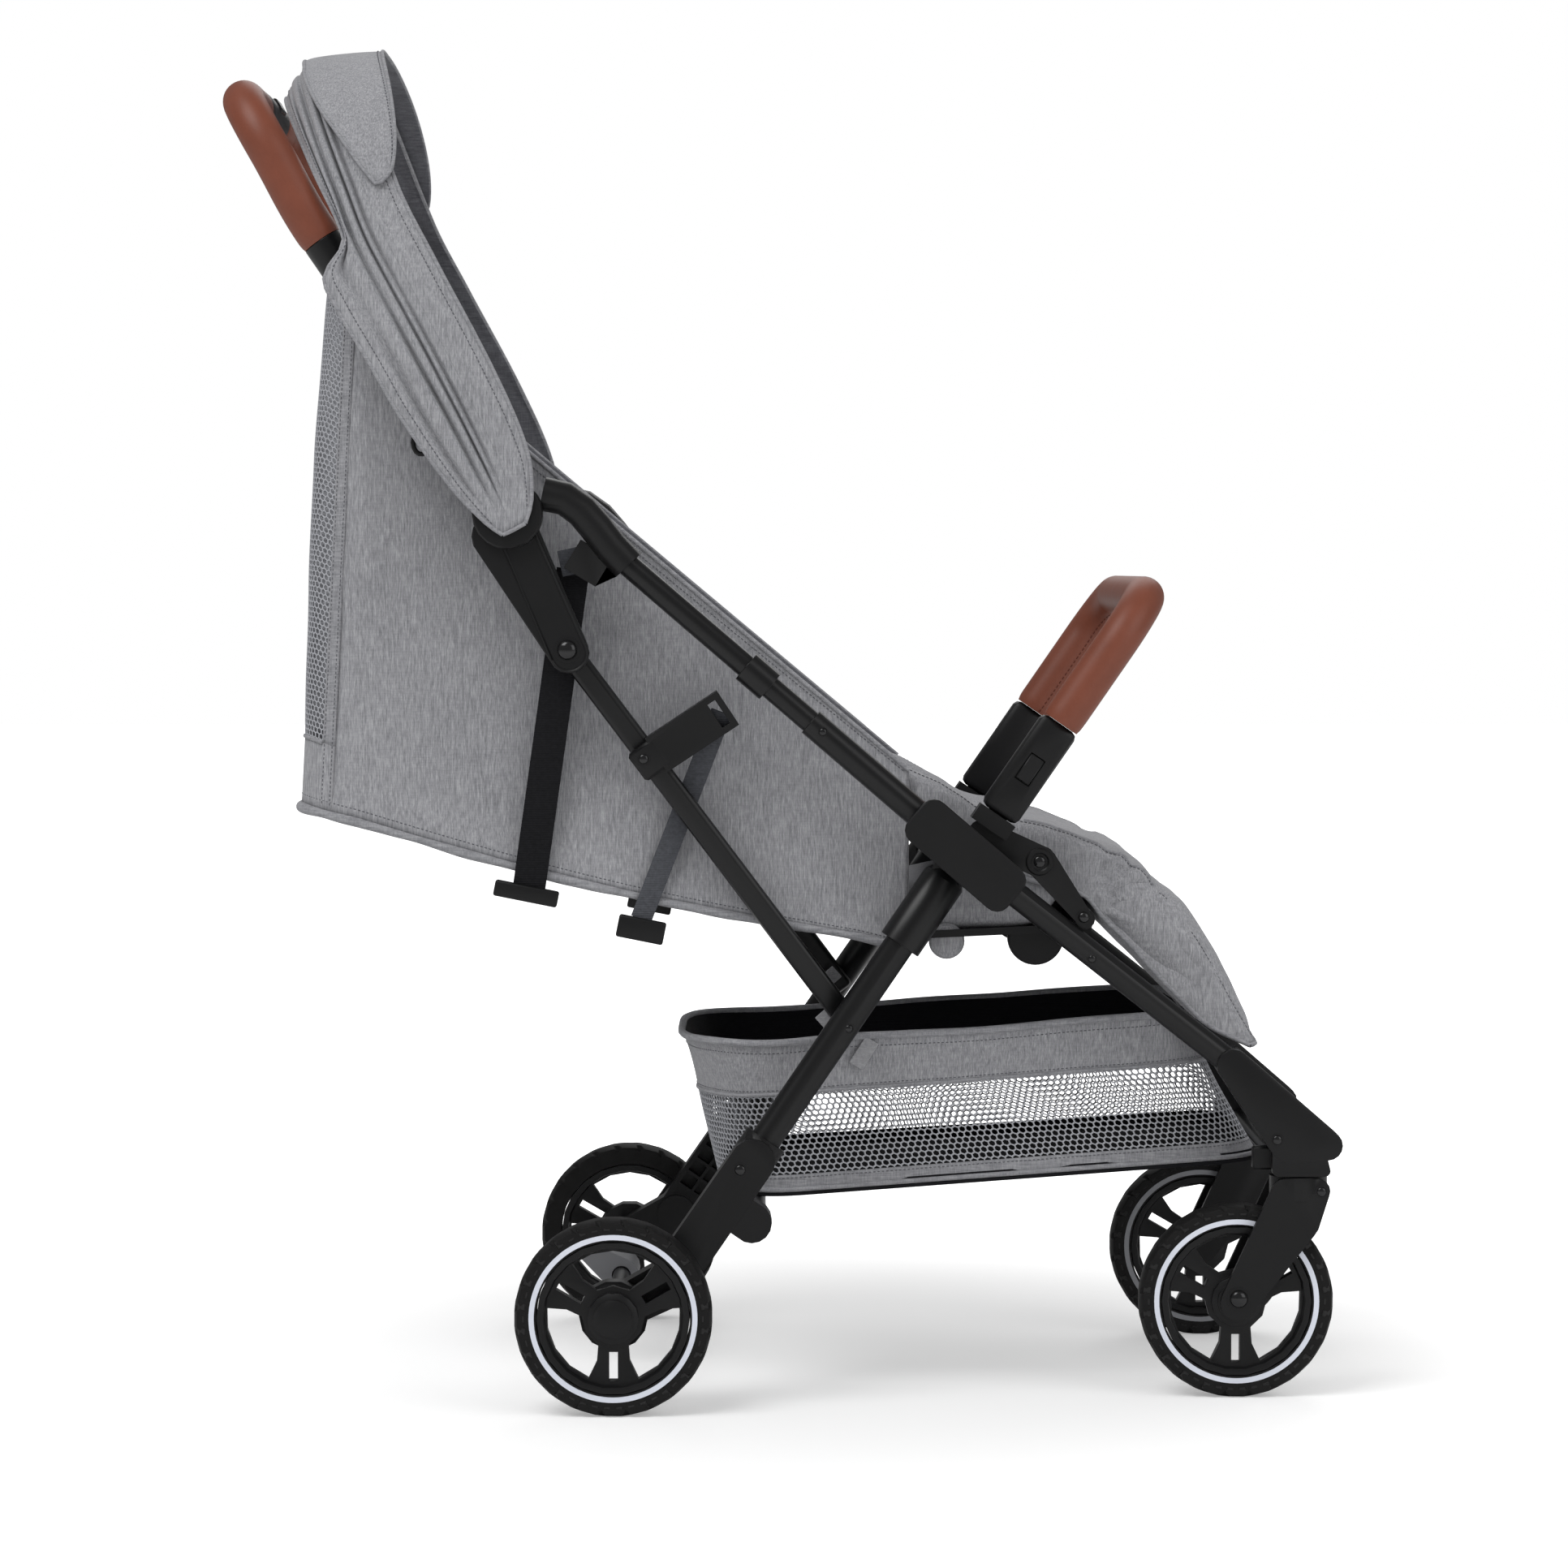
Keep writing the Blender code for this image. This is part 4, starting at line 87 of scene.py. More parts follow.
SIDES = (("left", 1.0), ("right", -1.0))
BEYOND = 0.4
WELD = 0.00002
RAIL_NORMAL = 229.3
Point = Sequence[float]
Rule = Callable[[float, float], Vector]


# Shader maths


def plug(tree: bpy.types.NodeTree, place: bpy.types.NodeSocket, value: object) -> None:
    """Links a wire to a socket, or sets the socket to a plain value."""
    if isinstance(value, Wire):
        tree.links.new(value.socket, place)
    else:
        place.default_value = value


class Wire:
    """A shader socket that takes part in Python expressions."""

    def __init__(self, tree: bpy.types.NodeTree, socket: bpy.types.NodeSocket) -> None:
        """Keeps the socket and the tree that it is in."""
        self.tree = tree
        self.socket = socket

    def maths(self, operation: str, first: object, second: object) -> "Wire":
        """Adds a Math node.

        Args:
            operation: the node's operation.
            first: its first value, a Wire or a number.
            second: its second value, a Wire or a number.

        Returns:
            The node's result.
        """
        made = self.tree.nodes.new("ShaderNodeMath")
        made.operation = operation
        for place, value in zip(made.inputs, (first, second)):
            plug(self.tree, place, value)
        return Wire(self.tree, made.outputs[0])

    def __add__(self, other: object) -> "Wire":
        """The sum."""
        return self.maths("ADD", self, other)

    def __sub__(self, other: object) -> "Wire":
        """The difference."""
        return self.maths("SUBTRACT", self, other)

    def __mul__(self, other: object) -> "Wire":
        """The product."""
        return self.maths("MULTIPLY", self, other)

    def sine(self) -> "Wire":
        """The sine of an angle in radians."""
        return self.maths("SINE", self, 0.0)


class Bench:
    """A material in the making: a node tree with its Principled shader."""

    def __init__(self, name: str) -> None:
        """Starts a material of that name."""
        self.material = bpy.data.materials.new(name)
        self.material.use_nodes = True
        self.tree = self.material.node_tree
        self.shader = self.tree.nodes["Principled BSDF"]

    def node(
        self, kind: str, settings: dict | None = None, values: dict | None = None, out: object = 0
    ) -> Wire:
        """Adds any node.

        Args:
            kind: the node's type, without its ShaderNode prefix.
            settings: attributes set first; a list under "stops" fills a colour ramp.
            values: numbers or wires for its sockets, by socket name or number.
            out: the output that is wanted.

        Returns:
            The wanted output.
        """
        made = self.tree.nodes.new("ShaderNode" + kind)
        for key, value in (settings or {}).items():
            if key == "stops":
                self.fill_ramp(made.color_ramp, value)
            else:
                setattr(made, key, value)
        for key, value in (values or {}).items():
            plug(self.tree, made.inputs[key], value)
        return Wire(self.tree, made.outputs[out])

    @staticmethod
    def fill_ramp(ramp: bpy.types.ColorRamp, stops: Sequence[tuple]) -> None:
        """Fills a colour ramp with places and colours, low to high."""
        while len(ramp.elements) < len(stops):
            ramp.elements.new(0.5)
        for element, (place, colour) in zip(ramp.elements, stops):
            element.position = place
            element.color = (*colour, 1.0)

    def places(self, stretch: Point = (1.0, 1.0, 1.0)) -> Wire:
        """The point being shaded, in metres, stretched for a pattern."""
        middle = self.node("TexCoord", out="Object")
        return self.node("Mapping", values={"Vector": middle, "Scale": stretch})

    def axes(self) -> list[Wire]:
        """The three coordinates of the point being shaded."""
        parted = self.node("SeparateXYZ", values={0: self.places()}).socket.node
        return [Wire(self.tree, place) for place in parted.outputs]

    def grain(
        self, scale: float, detail: float, rough: float = 0.5, stretch: Point = (1.0, 1.0, 1.0)
    ) -> Wire:
        """A noise pattern.

        Args:
            scale: its scale.
            detail: its detail.
            rough: how much of the detail shows.
            stretch: how the pattern is stretched along each axis.

        Returns:
            The noise, from 0 to 1.
        """
        values = {"Vector": self.places(stretch), "Scale": scale, "Detail": detail, "Roughness": rough}
        return self.node("TexNoise", values=values)

    def blend(self, share: object, low: Point, high: Point) -> Wire:
        """Mixes two colours.

        Args:
            share: how much of the second, a Wire or a number.
            low: the first colour.
            high: the second colour.

        Returns:
            The mixed colour.
        """
        factor, first, second, result = 0, 6, 7, 2
        values = {factor: share, first: (*low, 1.0), second: (*high, 1.0)}
        return self.node("Mix", {"data_type": "RGBA"}, values, result)

    def bump(self, height: Wire, distance: float, strength: float) -> None:
        """Feeds a height into the shader's normal.

        Args:
            height: the height, from 0 to 1.
            distance: what 1 stands for, in metres.
            strength: how strongly it shows.
        """
        values = {"Height": height, "Distance": distance, "Strength": strength}
        self.feed(Normal=self.node("Bump", values=values))

    def feed(self, **sockets: object) -> None:
        """Sets or links the shader's sockets, by name with _ for a space."""
        for name, value in sockets.items():
            colour = hasattr(value, "__len__")
            plug(self.tree, self.shader.inputs[name.replace("_", " ")], (*value, 1.0) if colour else value)


def tinted(colour: Point, share: float, lift: float = 0.0) -> Point:
    """A colour made lighter or darker by a share."""
    return tuple(c * share + lift for c in colour)


# Finishes


@dataclass(frozen=True)
class Heather:
    """Melange polyester cloth: light and dark yarns in a fine plain weave."""

    name: str
    light: Point
    dark: Point
    yarn: float = 0.00062
    streak: float = 9.0
    slub: float = 0.25
    contrast: float = 1.95
    patchiness: float = 0.20

    def make(self) -> bpy.types.Material:
        """Builds the material from its yarn colours."""
        bench = Bench(self.name)
        thin, share = 1.0 / self.streak, self.slub * 0.6
        upright = bench.grain(0.55 / self.yarn, 3.0, 0.75, (1.0, 1.0, thin))
        level = bench.grain(0.50 / self.yarn, 2.0, 0.6, (thin, thin, 1.0))
        patch = bench.grain(9.0, 3.0)
        yarns = upright * (1.0 - share) + level * share
        spread = (yarns - 0.5) * self.contrast + 0.5 + (patch - 0.5) * self.patchiness
        middle = tuple((a + b) / 2 for a, b in zip(self.light, self.dark))
        stops = [(0.12, self.dark), (0.55, middle), (0.92, self.light)]
        colour = bench.node("ValToRGB", {"stops": stops}, {"Fac": spread})
        bench.feed(Base_Color=colour, Roughness=0.92, Specular_IOR_Level=0.18, Sheen_Weight=0.12)
        bench.bump(self.weave(bench) * 0.5 + yarns * 0.5, self.yarn * 0.35, 0.7)
        return bench.material

    def weave(self, bench: Bench) -> Wire:
        """The over and under of the yarns, from 0 to 1."""
        x, y, z = ((axis * (math.pi / self.yarn)).sine() for axis in bench.axes())
        return (x + y) * z * 0.25 + 0.5


@dataclass(frozen=True)
class PlainCloth:
    """Plain woven lining cloth or webbing, one colour with a fine rib."""

    name: str
    colour: Point
    rib: float = 0.0016
    variety: float = 0.25

    def make(self) -> bpy.types.Material:
        """Builds the material."""
        bench = Bench(self.name)
        specks = bench.grain(0.7 / self.rib, 2.0, 0.6)
        dark, light = tinted(self.colour, 1.0 - self.variety), tinted(self.colour, 1.0 + self.variety)
        bench.feed(Base_Color=bench.blend(specks, dark, light), Roughness=0.9, Specular_IOR_Level=0.15)
        height = bench.axes()[2]
        ribs = (height * (2.0 * math.pi / self.rib)).sine() * 0.5 + 0.5
        bench.bump(ribs * 0.6 + specks * 0.4, self.rib * 0.2, 0.8)
        return bench.material


@dataclass(frozen=True)
class Leather:
    """Smooth leather with a fine pebbled grain and darker handled places."""

    name: str
    colour: Point
    pebble: float = 0.0011

    def make(self) -> bpy.types.Material:
        """Builds the material."""
        bench = Bench(self.name)
        values = {"Vector": bench.places(), "Scale": 1.0 / self.pebble}
        cells = bench.node("TexVoronoi", {"feature": "SMOOTH_F1"}, values)
        mottle = bench.grain(38.0, 5.0, 0.6)
        colour = bench.blend(mottle, tinted(self.colour, 0.80), tinted(self.colour, 1.16))
        bench.feed(Base_Color=colour, Roughness=mottle * 0.12 + 0.40, Specular_IOR_Level=0.42)
        bench.bump(cells * 0.8 + mottle * 0.2, self.pebble * 0.12, 0.55)
        return bench.material


@dataclass(frozen=True)
class Moulded:
    """Moulded plastic, paint or rubber: a fine pebble, and a roughness that varies a little."""

    name: str
    colour: Point
    roughness: float
    pebble: float = 0.0005
    depth: float = 0.00002
    level: float = 0.35
    metallic: float = 0.0
    uneven: float = 0.08

    def make(self) -> bpy.types.Material:
        """Builds the material."""
        bench = Bench(self.name)
        fine, broad = bench.grain(1.0 / self.pebble, 2.0), bench.grain(26.0, 3.0, 0.6)
        colour = bench.blend(broad, self.colour, tinted(self.colour, 1.25, 0.001))
        rough = broad * self.uneven + (self.roughness - self.uneven / 2)
        bench.feed(Base_Color=colour, Roughness=rough, Metallic=self.metallic, Specular_IOR_Level=self.level)
        bench.bump(fine, self.depth, 0.6)
        return bench.material


class Finish(Enum):
    """The finishes of the stroller."""

    HEATHER = Heather("heather_grey", (0.455, 0.455, 0.475), (0.175, 0.177, 0.190))
    HEM = Heather("heather_hem", (0.420, 0.420, 0.440), (0.165, 0.167, 0.180), slub=0.8)
    LINING = Heather("heather_lining", (0.180, 0.182, 0.200), (0.075, 0.076, 0.086), slub=1.0)
    SHADE = PlainCloth("black_lining", (0.010, 0.010, 0.012), 0.0012)
    WEBBING = PlainCloth("black_webbing", (0.0105, 0.0105, 0.0120), 0.0018, 0.5)
    GREY_WEBBING = PlainCloth("grey_webbing", (0.075, 0.078, 0.088), 0.0018, 0.4)
    TAB = PlainCloth("pale_webbing", (0.330, 0.330, 0.345), 0.0018, 0.3)
    NET = PlainCloth("net_yarn", (0.390, 0.397, 0.423), 0.0012, 0.2)
    THREAD = PlainCloth("grey_thread", (0.135, 0.137, 0.150), 0.0007, 0.2)
    LEATHER = Leather("red_brown_leather", (0.205, 0.056, 0.029))
    SEAM = PlainCloth("brown_thread", (0.110, 0.030, 0.018), 0.0007, 0.2)
    PAINT = Moulded("black_paint", (0.0042, 0.0042, 0.0046), 0.34, 0.0006, 0.000012, 0.38)
    PLASTIC = Moulded("black_plastic", (0.0058, 0.0058, 0.0062), 0.42, 0.0006, 0.000025, 0.30)
    CAP = Moulded("black_cap", (0.0090, 0.0090, 0.0095), 0.36, 0.0006, 0.00002, 0.32)
    PEDAL = Moulded("grey_plastic", (0.140, 0.142, 0.150), 0.50)
    RUBBER = Moulded("tyre_rubber", (0.0088, 0.0086, 0.0086), 0.62, 0.0009, 0.00004, 0.18)
    # The tyre's own rubber, painted lighter on the raised blocks so that the gaps between them show as
    # painted shade.
    LUG_PAINTED_LIGHTER = Moulded("tyre_lug_painted_lighter", (0.0150, 0.0148, 0.0148), 0.50, 0.0009, 0.00004, 0.30)
    RING = Moulded("pale_ring", (0.690, 0.720, 0.800), 0.42, 0.0009, 0.00001, 0.4)
    GREY_RING = Moulded("grey_ring", (0.240, 0.245, 0.262), 0.50, 0.0009, 0.00001, 0.4)
    RIVET = Moulded("black_steel", (0.020, 0.020, 0.021), 0.16, 0.0009, 0.000004, 0.9, 0.6, 0.05)


class Palette:
    """Makes each finish's material once."""

    def __init__(self) -> None:
        """Starts with nothing made."""
        self.made: dict[Finish, bpy.types.Material] = {}

    def get(self, finish: Finish) -> bpy.types.Material:
        """The material of a finish, made when it is first asked for."""
        if finish not in self.made:
            self.made[finish] = finish.value.make()
        return self.made[finish]


# Small shape tools


def polar(origin: Point, distance: float, degrees: float) -> Vector:
    """The side-view point (x, z) at a distance and angle from another."""
    turn = math.radians(degrees)
    return Vector((origin[0] + distance * math.cos(turn), origin[1] + distance * math.sin(turn)))


def at_y(place: Point, y: float) -> Vector:
    """The 3-D point over a side-view point."""
    return Vector((place[0], y, place[1]))


def aside(side: float) -> Vector:
    """The level way to the left (1) or to the right (-1)."""
    return Vector((0.0, side, 0.0))


def on_side(place: Point, side: float) -> Vector:
    """A place given for the left, on the left (1) or mirrored to the right (-1)."""
    return Vector((place[0], side * place[1], place[2]))


def wander(x: float, y: float, z: float) -> float:
    """Smooth noise at a place, about -1 to 1."""
    return noise.noise(Vector((x, y, z)))


def mix(low: object, high: object, share: float) -> object:
    """A number or vector between two others."""
    return low + (high - low) * share


def within(value: float) -> float:
    """A number, held between 0 and 1."""
    return min(max(value, 0.0), 1.0)


def shares(count: int, low: float = 0.0, high: float = 1.0) -> list[float]:
    """Evenly spaced numbers, both ends among them."""
    return [mix(low, high, k / count) for k in range(count + 1)]


def smooth_step(low: float, high: float, value: float) -> float:
    """0 below low, 1 above high, and a smooth rise between."""
    share = within((value - low) / (high - low))
    return share * share * (3.0 - 2.0 * share)


def smooth_table(table: Sequence[Point], place: float) -> float:
    """The value at a place along a table, on a smooth line through its entries.

    Args:
        table: pairs of place and value, low to high.
        place: the place asked for.

    Returns:
        The value, level past both ends.
    """
    if place <= table[0][0]:
        return table[0][1]
    if place >= table[-1][0]:
        return table[-1][1]
    k = next(i for i in range(len(table) - 1) if place <= table[i + 1][0])
    (a, first), (b, second) = table[k], table[k + 1]
    run = b - a

    def slope(i: int) -> float:
        """The line's slope at an entry."""
        low, high = table[max(i - 1, 0)], table[min(i + 1, len(table) - 1)]
        return (high[1] - low[1]) / (high[0] - low[0])

    t = (place - a) / run
    start, end = slope(k) * run, slope(k + 1) * run
    return (
        first * (2 * t**3 - 3 * t**2 + 1) + start * (t**3 - 2 * t**2 + t)
        + second * (3 * t**2 - 2 * t**3) + end * (t**3 - t**2)
    )


def resampled(points: Sequence[Vector], step: float) -> list[Vector]:
    """Points at an even spacing along a line.

    Args:
        points: the line's points.
        step: the spacing that is wanted.

    Returns:
        The new points, both ends among them.
    """
    lengths = [0.0]
    for one, other in zip(points, points[1:]):
        lengths.append(lengths[-1] + (other - one).length)
    count = max(1, round(lengths[-1] / step))
    found, leg = [], 0
    for k in range(count + 1):
        place = lengths[-1] * k / count
        while leg < len(points) - 2 and lengths[leg + 1] < place:
            leg += 1
        run = lengths[leg + 1] - lengths[leg]
        found.append(mix(points[leg], points[leg + 1], (place - lengths[leg]) / run if run else 0.0))
    return found


def along_at(line: Sequence[Vector], k: int) -> Vector:
    """The way that a line runs at one of its points."""
    return (line[min(k + 1, len(line) - 1)] - line[max(k - 1, 0)]).normalized()


def bridge(
    built: bmesh.types.BMesh, rings: Sequence[Sequence[bmesh.types.BMVert]], capped: bool = True
) -> None:
    """Joins rings of corners, one to the next.

    Args:
        built: the mesh in the making.
        rings: its rings, all with as many corners.
        capped: whether a face closes each end.
    """
    for low, high in zip(rings, rings[1:]):
        for i in range(len(low)):
            j = (i + 1) % len(low)
            built.faces.new((low[i], low[j], high[j], high[i]))
    if capped:
        built.faces.new(rings[0][::-1])
        built.faces.new(rings[-1])


@dataclass
class Layout:
    """The joints' places and the bodies of the nodes, read from the frame."""

    frame: dict

    def __post_init__(self) -> None:
        """Reads the joints."""
        places = {j["name"]: j.get("pos_m") for j in self.frame["joints"]}
        self.pivot = self.flat(places["fold"])
        self.hinge = self.flat(places["handle_fold"])
        self.arm_pin = self.flat(places["strut_fold"])
        self.seat_hinge = self.flat(places["recline"])
        self.axles = {end: self.flat(places[f"{end}_spin_left"]) for end in ("rear", "front")}
        self.wheel_y = {end: places[f"{end}_spin_left"][1] for end in ("rear", "front")}
        self.trees: dict[str, BVHTree] = {}
        bodies = self.frame["record"]["behaviour"]["bodies"]
        self.body_of = {node: body for body, nodes in bodies.items() for node in nodes}

    @staticmethod
    def flat(place: Point) -> Vector:
        """The side-view point under a joint's place."""
        return Vector((place[0], place[2]))

    def face_at(self, node: str, start: Vector, way: Vector) -> Vector | None:
        """Where a ray first meets a node.

        Args:
            node: the node.
            start: where the ray starts.
            way: its direction.

        Returns:
            The point, or None where it misses.
        """
        if node not in self.trees:
            mesh = self.frame["nodes"][node].data
            corners = [list(face.vertices) for face in mesh.polygons]
            self.trees[node] = BVHTree.FromPolygons([v.co.copy() for v in mesh.vertices], corners)
        return self.trees[node].ray_cast(start, way)[0]

    def side_face(self, node: str, place: Point, side: float) -> Vector | None:
        """Where a node's outer side lies over a side-view place, or None."""
        return self.face_at(node, at_y(place, side * BEYOND), aside(-side))


@dataclass
class SubAssembly:
    """What every sub-assembly shares: the layout, the finishes and ways to make pieces."""

    layout: Layout
    palette: Palette

    stitch_radius: ClassVar[float] = 0.00042
    stitch_rings: ClassVar[tuple] = (
        (-0.5, 0.45, -0.6), (-0.25, 1.0, 0.15), (0.25, 1.0, 0.15), (0.5, 0.45, -0.6),
    )

    def copy_of(self, node: str) -> bmesh.types.BMesh:
        """A node's own shape, with doubled corners joined."""
        built = bmesh.new()
        built.from_mesh(self.layout.frame["nodes"][node].data)
        bmesh.ops.remove_doubles(built, verts=built.verts[:], dist=WELD)
        return built

    def link(self, name: str, built: bmesh.types.BMesh, finish: Finish, sharp: float) -> bpy.types.Object:
        """Puts a mesh in the scene.

        Args:
            name: the piece's name.
            built: its mesh, in world coordinates, which is used up.
            finish: its finish.
            sharp: edges above this many degrees stay sharp.

        Returns:
            The new object.
        """
        mesh = bpy.data.meshes.new(name)
        built.to_mesh(mesh)
        built.free()
        mesh.materials.append(self.palette.get(finish))
        mesh.shade_smooth()
        mesh.set_sharp_from_angle(angle=math.radians(sharp))
        made = bpy.data.objects.new(name, mesh)
        bpy.context.scene.collection.objects.link(made)
        return made

    def solid(
        self, name: str, built: bmesh.types.BMesh, finish: Finish, sharp: float = 40.0
    ) -> bpy.types.Object:
        """Puts a closed mesh in the scene, with its faces turned outwards."""
        bmesh.ops.recalc_face_normals(built, faces=built.faces[:])
        return self.link(name, built, finish, sharp)

    @staticmethod
    def settle(made: bpy.types.Object, body: str, slot: str, *nodes: str) -> None:
        """Lets a piece ride on a body.

        Args:
            made: the piece.
            body: the body that carries it.
            slot: the record's material slot; not used.
            nodes: the frame's nodes that it stands for.
        """
        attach(made, body)
        if nodes:
            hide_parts(*nodes)
        log.info("piece %s on %s", made.name, body)

    def crumple(self, made: bpy.types.Object) -> None:
        """Gives a soft piece a mesh of its own."""
        axis = at_y(polar((0.0, 0.0), 1.0, RAIL_NORMAL), 0.0)
        tuple(at_y(self.layout.pivot, 0.0))
        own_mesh(made)

    def wall(self, made: bpy.types.Object, thickness: float, inner: Finish | None = None) -> None:
        """Gives a sheet its thickness, which grows behind it.

        Args:
            made: the sheet.
            thickness: its thickness.
            inner: the finish of its back and rim, if it has one of its own.
        """
        solid = made.modifiers.new("Cloth", "SOLIDIFY")
        solid.thickness = thickness
        solid.offset = -1.0
        if inner:
            made.data.materials.append(self.palette.get(inner))
            solid.material_offset = 1

    def grid(self, name: str, rows: Sequence[Sequence[Vector]], finish: Finish) -> bpy.types.Object:
        """A sheet through rows of points.

        Args:
            name: the piece's name.
            rows: rows of points, all as long as the first.
            finish: its finish.

        Returns:
            The new object.
        """
        built = bmesh.new()
        lines = [[built.verts.new(p) for p in row] for row in rows]
        for one, other in zip(lines, lines[1:]):
            for k in range(len(one) - 1):
                built.faces.new((one[k], other[k], other[k + 1], one[k + 1]))
        return self.link(name, built, finish, 60.0)

    def pipe(
        self, name: str, points: Sequence[Vector], radius: object, finish: Finish, sides: int,
        closed: bool = False,
    ) -> bpy.types.Object:
        """A round bar swept along points.

        Args:
            name: the piece's name.
            points: its centre line.
            radius: one radius, or one for each point.
            finish: its finish.
            sides: how many sides it has.
            closed: whether its ends meet.

        Returns:
            The new object.
        """
        radii = list(radius) if hasattr(radius, "__len__") else [radius] * len(points)
        built = bmesh.new()
        rings = []
        last = None
        for k, point in enumerate(points):
            before = points[k - 1] if k or closed else point
            after = points[(k + 1) % len(points)] if k < len(points) - 1 or closed else point
            along = (after - before).normalized()
            side = along.orthogonal() if last is None else last - along * last.dot(along)
            side.normalize()
            last = side
            other = along.cross(side)
            ring = []
            for i in range(sides):
                turn = 2.0 * math.pi * i / sides
                out = side * math.cos(turn) + other * math.sin(turn)
                ring.append(built.verts.new(point + out * radii[k]))
            rings.append(ring)
        bridge(built, rings + rings[:1] if closed else rings, not closed)
        return self.solid(name, built, finish)

    def turned(
        self, name: str, profile: Sequence[Point], centre: Vector, along: Vector, finish: Finish, steps: int
    ) -> bpy.types.Object:
        """A turned piece.

        Args:
            name: the piece's name.
            profile: (radius, distance along the axis) from one end to the other; a ring closes on itself.
            centre: where the distances start.
            along: the axis.
            finish: its finish.
            steps: how many steps round.

        Returns:
            The new object.
        """
        axis = along.normalized()
        side = axis.orthogonal().normalized()
        other = axis.cross(side)
        built = bmesh.new()
        rings = []
        for radius, height in profile:
            if radius == 0.0:
                rings.append([built.verts.new(centre + axis * height)] * steps)
                continue
            ring = []
            for i in range(steps):
                turn = 2.0 * math.pi * i / steps
                out = side * math.cos(turn) + other * math.sin(turn)
                ring.append(built.verts.new(centre + axis * height + out * radius))
            rings.append(ring)
        pairs = list(zip(rings, rings[1:]))
        if profile[0][0] and profile[-1][0]:
            pairs.append((rings[-1], rings[0]))
        for one, after in pairs:
            for i in range(steps):
                j = (i + 1) % steps
                built.faces.new(list(dict.fromkeys((one[i], one[j], after[j], after[i]))))
        return self.solid(name, built, finish, 30.0)

    def stitches(
        self, name: str, line: Sequence[Vector], out: Callable[[Vector], Vector],
        finish: Finish = Finish.THREAD, pitch: float = 0.0034, length: float = 0.0024,
    ) -> bpy.types.Object:
        """A row of stitches along a line.

        Args:
            name: the piece's name.
            line: the line's points, on the cloth.
            out: the way out of the cloth at a point.
            finish: the thread's finish.
            pitch: from one stitch to the next.
            length: a stitch's length.

        Returns:
            The new object.
        """
        built = bmesh.new()
        points = resampled(line, pitch)
        thread = self.stitch_radius
        for one, other in zip(points, points[1:]):
            along = (other - one).normalized()
            middle = (one + other) / 2
            up = out(middle)
            up = (up - along * up.dot(along)).normalized()
            side = along.cross(up)
            rings = []
            for place, size, lift in self.stitch_rings:
                centre = middle + along * length * place + up * thread * lift
                spots = [side, up, -side, -up]
                rings.append([built.verts.new(centre + spot * thread * size) for spot in spots])
            bridge(built, rings)
        return self.solid(name, built, finish)

    def slab(
        self, name: str, centre: Vector, along: Vector, sizes: Point, finish: Finish, rounding: float
    ) -> bpy.types.Object:
        """A small upright plate with rounded edges.

        Args:
            name: the piece's name.
            centre: its middle.
            along: its length's direction.
            sizes: its length, its thickness from left to right and its height.
            finish: its finish.
            rounding: its edges' rounding.

        Returns:
            The new object.
        """
        first, across = along.normalized(), aside(1.0)
        second = (across - across.dot(first) * first).normalized()
        turn = Matrix((first, second, first.cross(second))).transposed().to_4x4()
        built = bmesh.new()
        bmesh.ops.create_cube(built, size=1.0)
        bmesh.ops.scale(built, vec=sizes, verts=built.verts[:])
        edges = built.verts[:] + built.edges[:]
        bmesh.ops.bevel(built, geom=edges, offset=rounding, segments=3, affect="EDGES", profile=0.5)
        bmesh.ops.transform(built, matrix=Matrix.Translation(centre) @ turn, verts=built.verts[:])
        return self.link(name, built, finish, 50.0)


# Rigid pieces


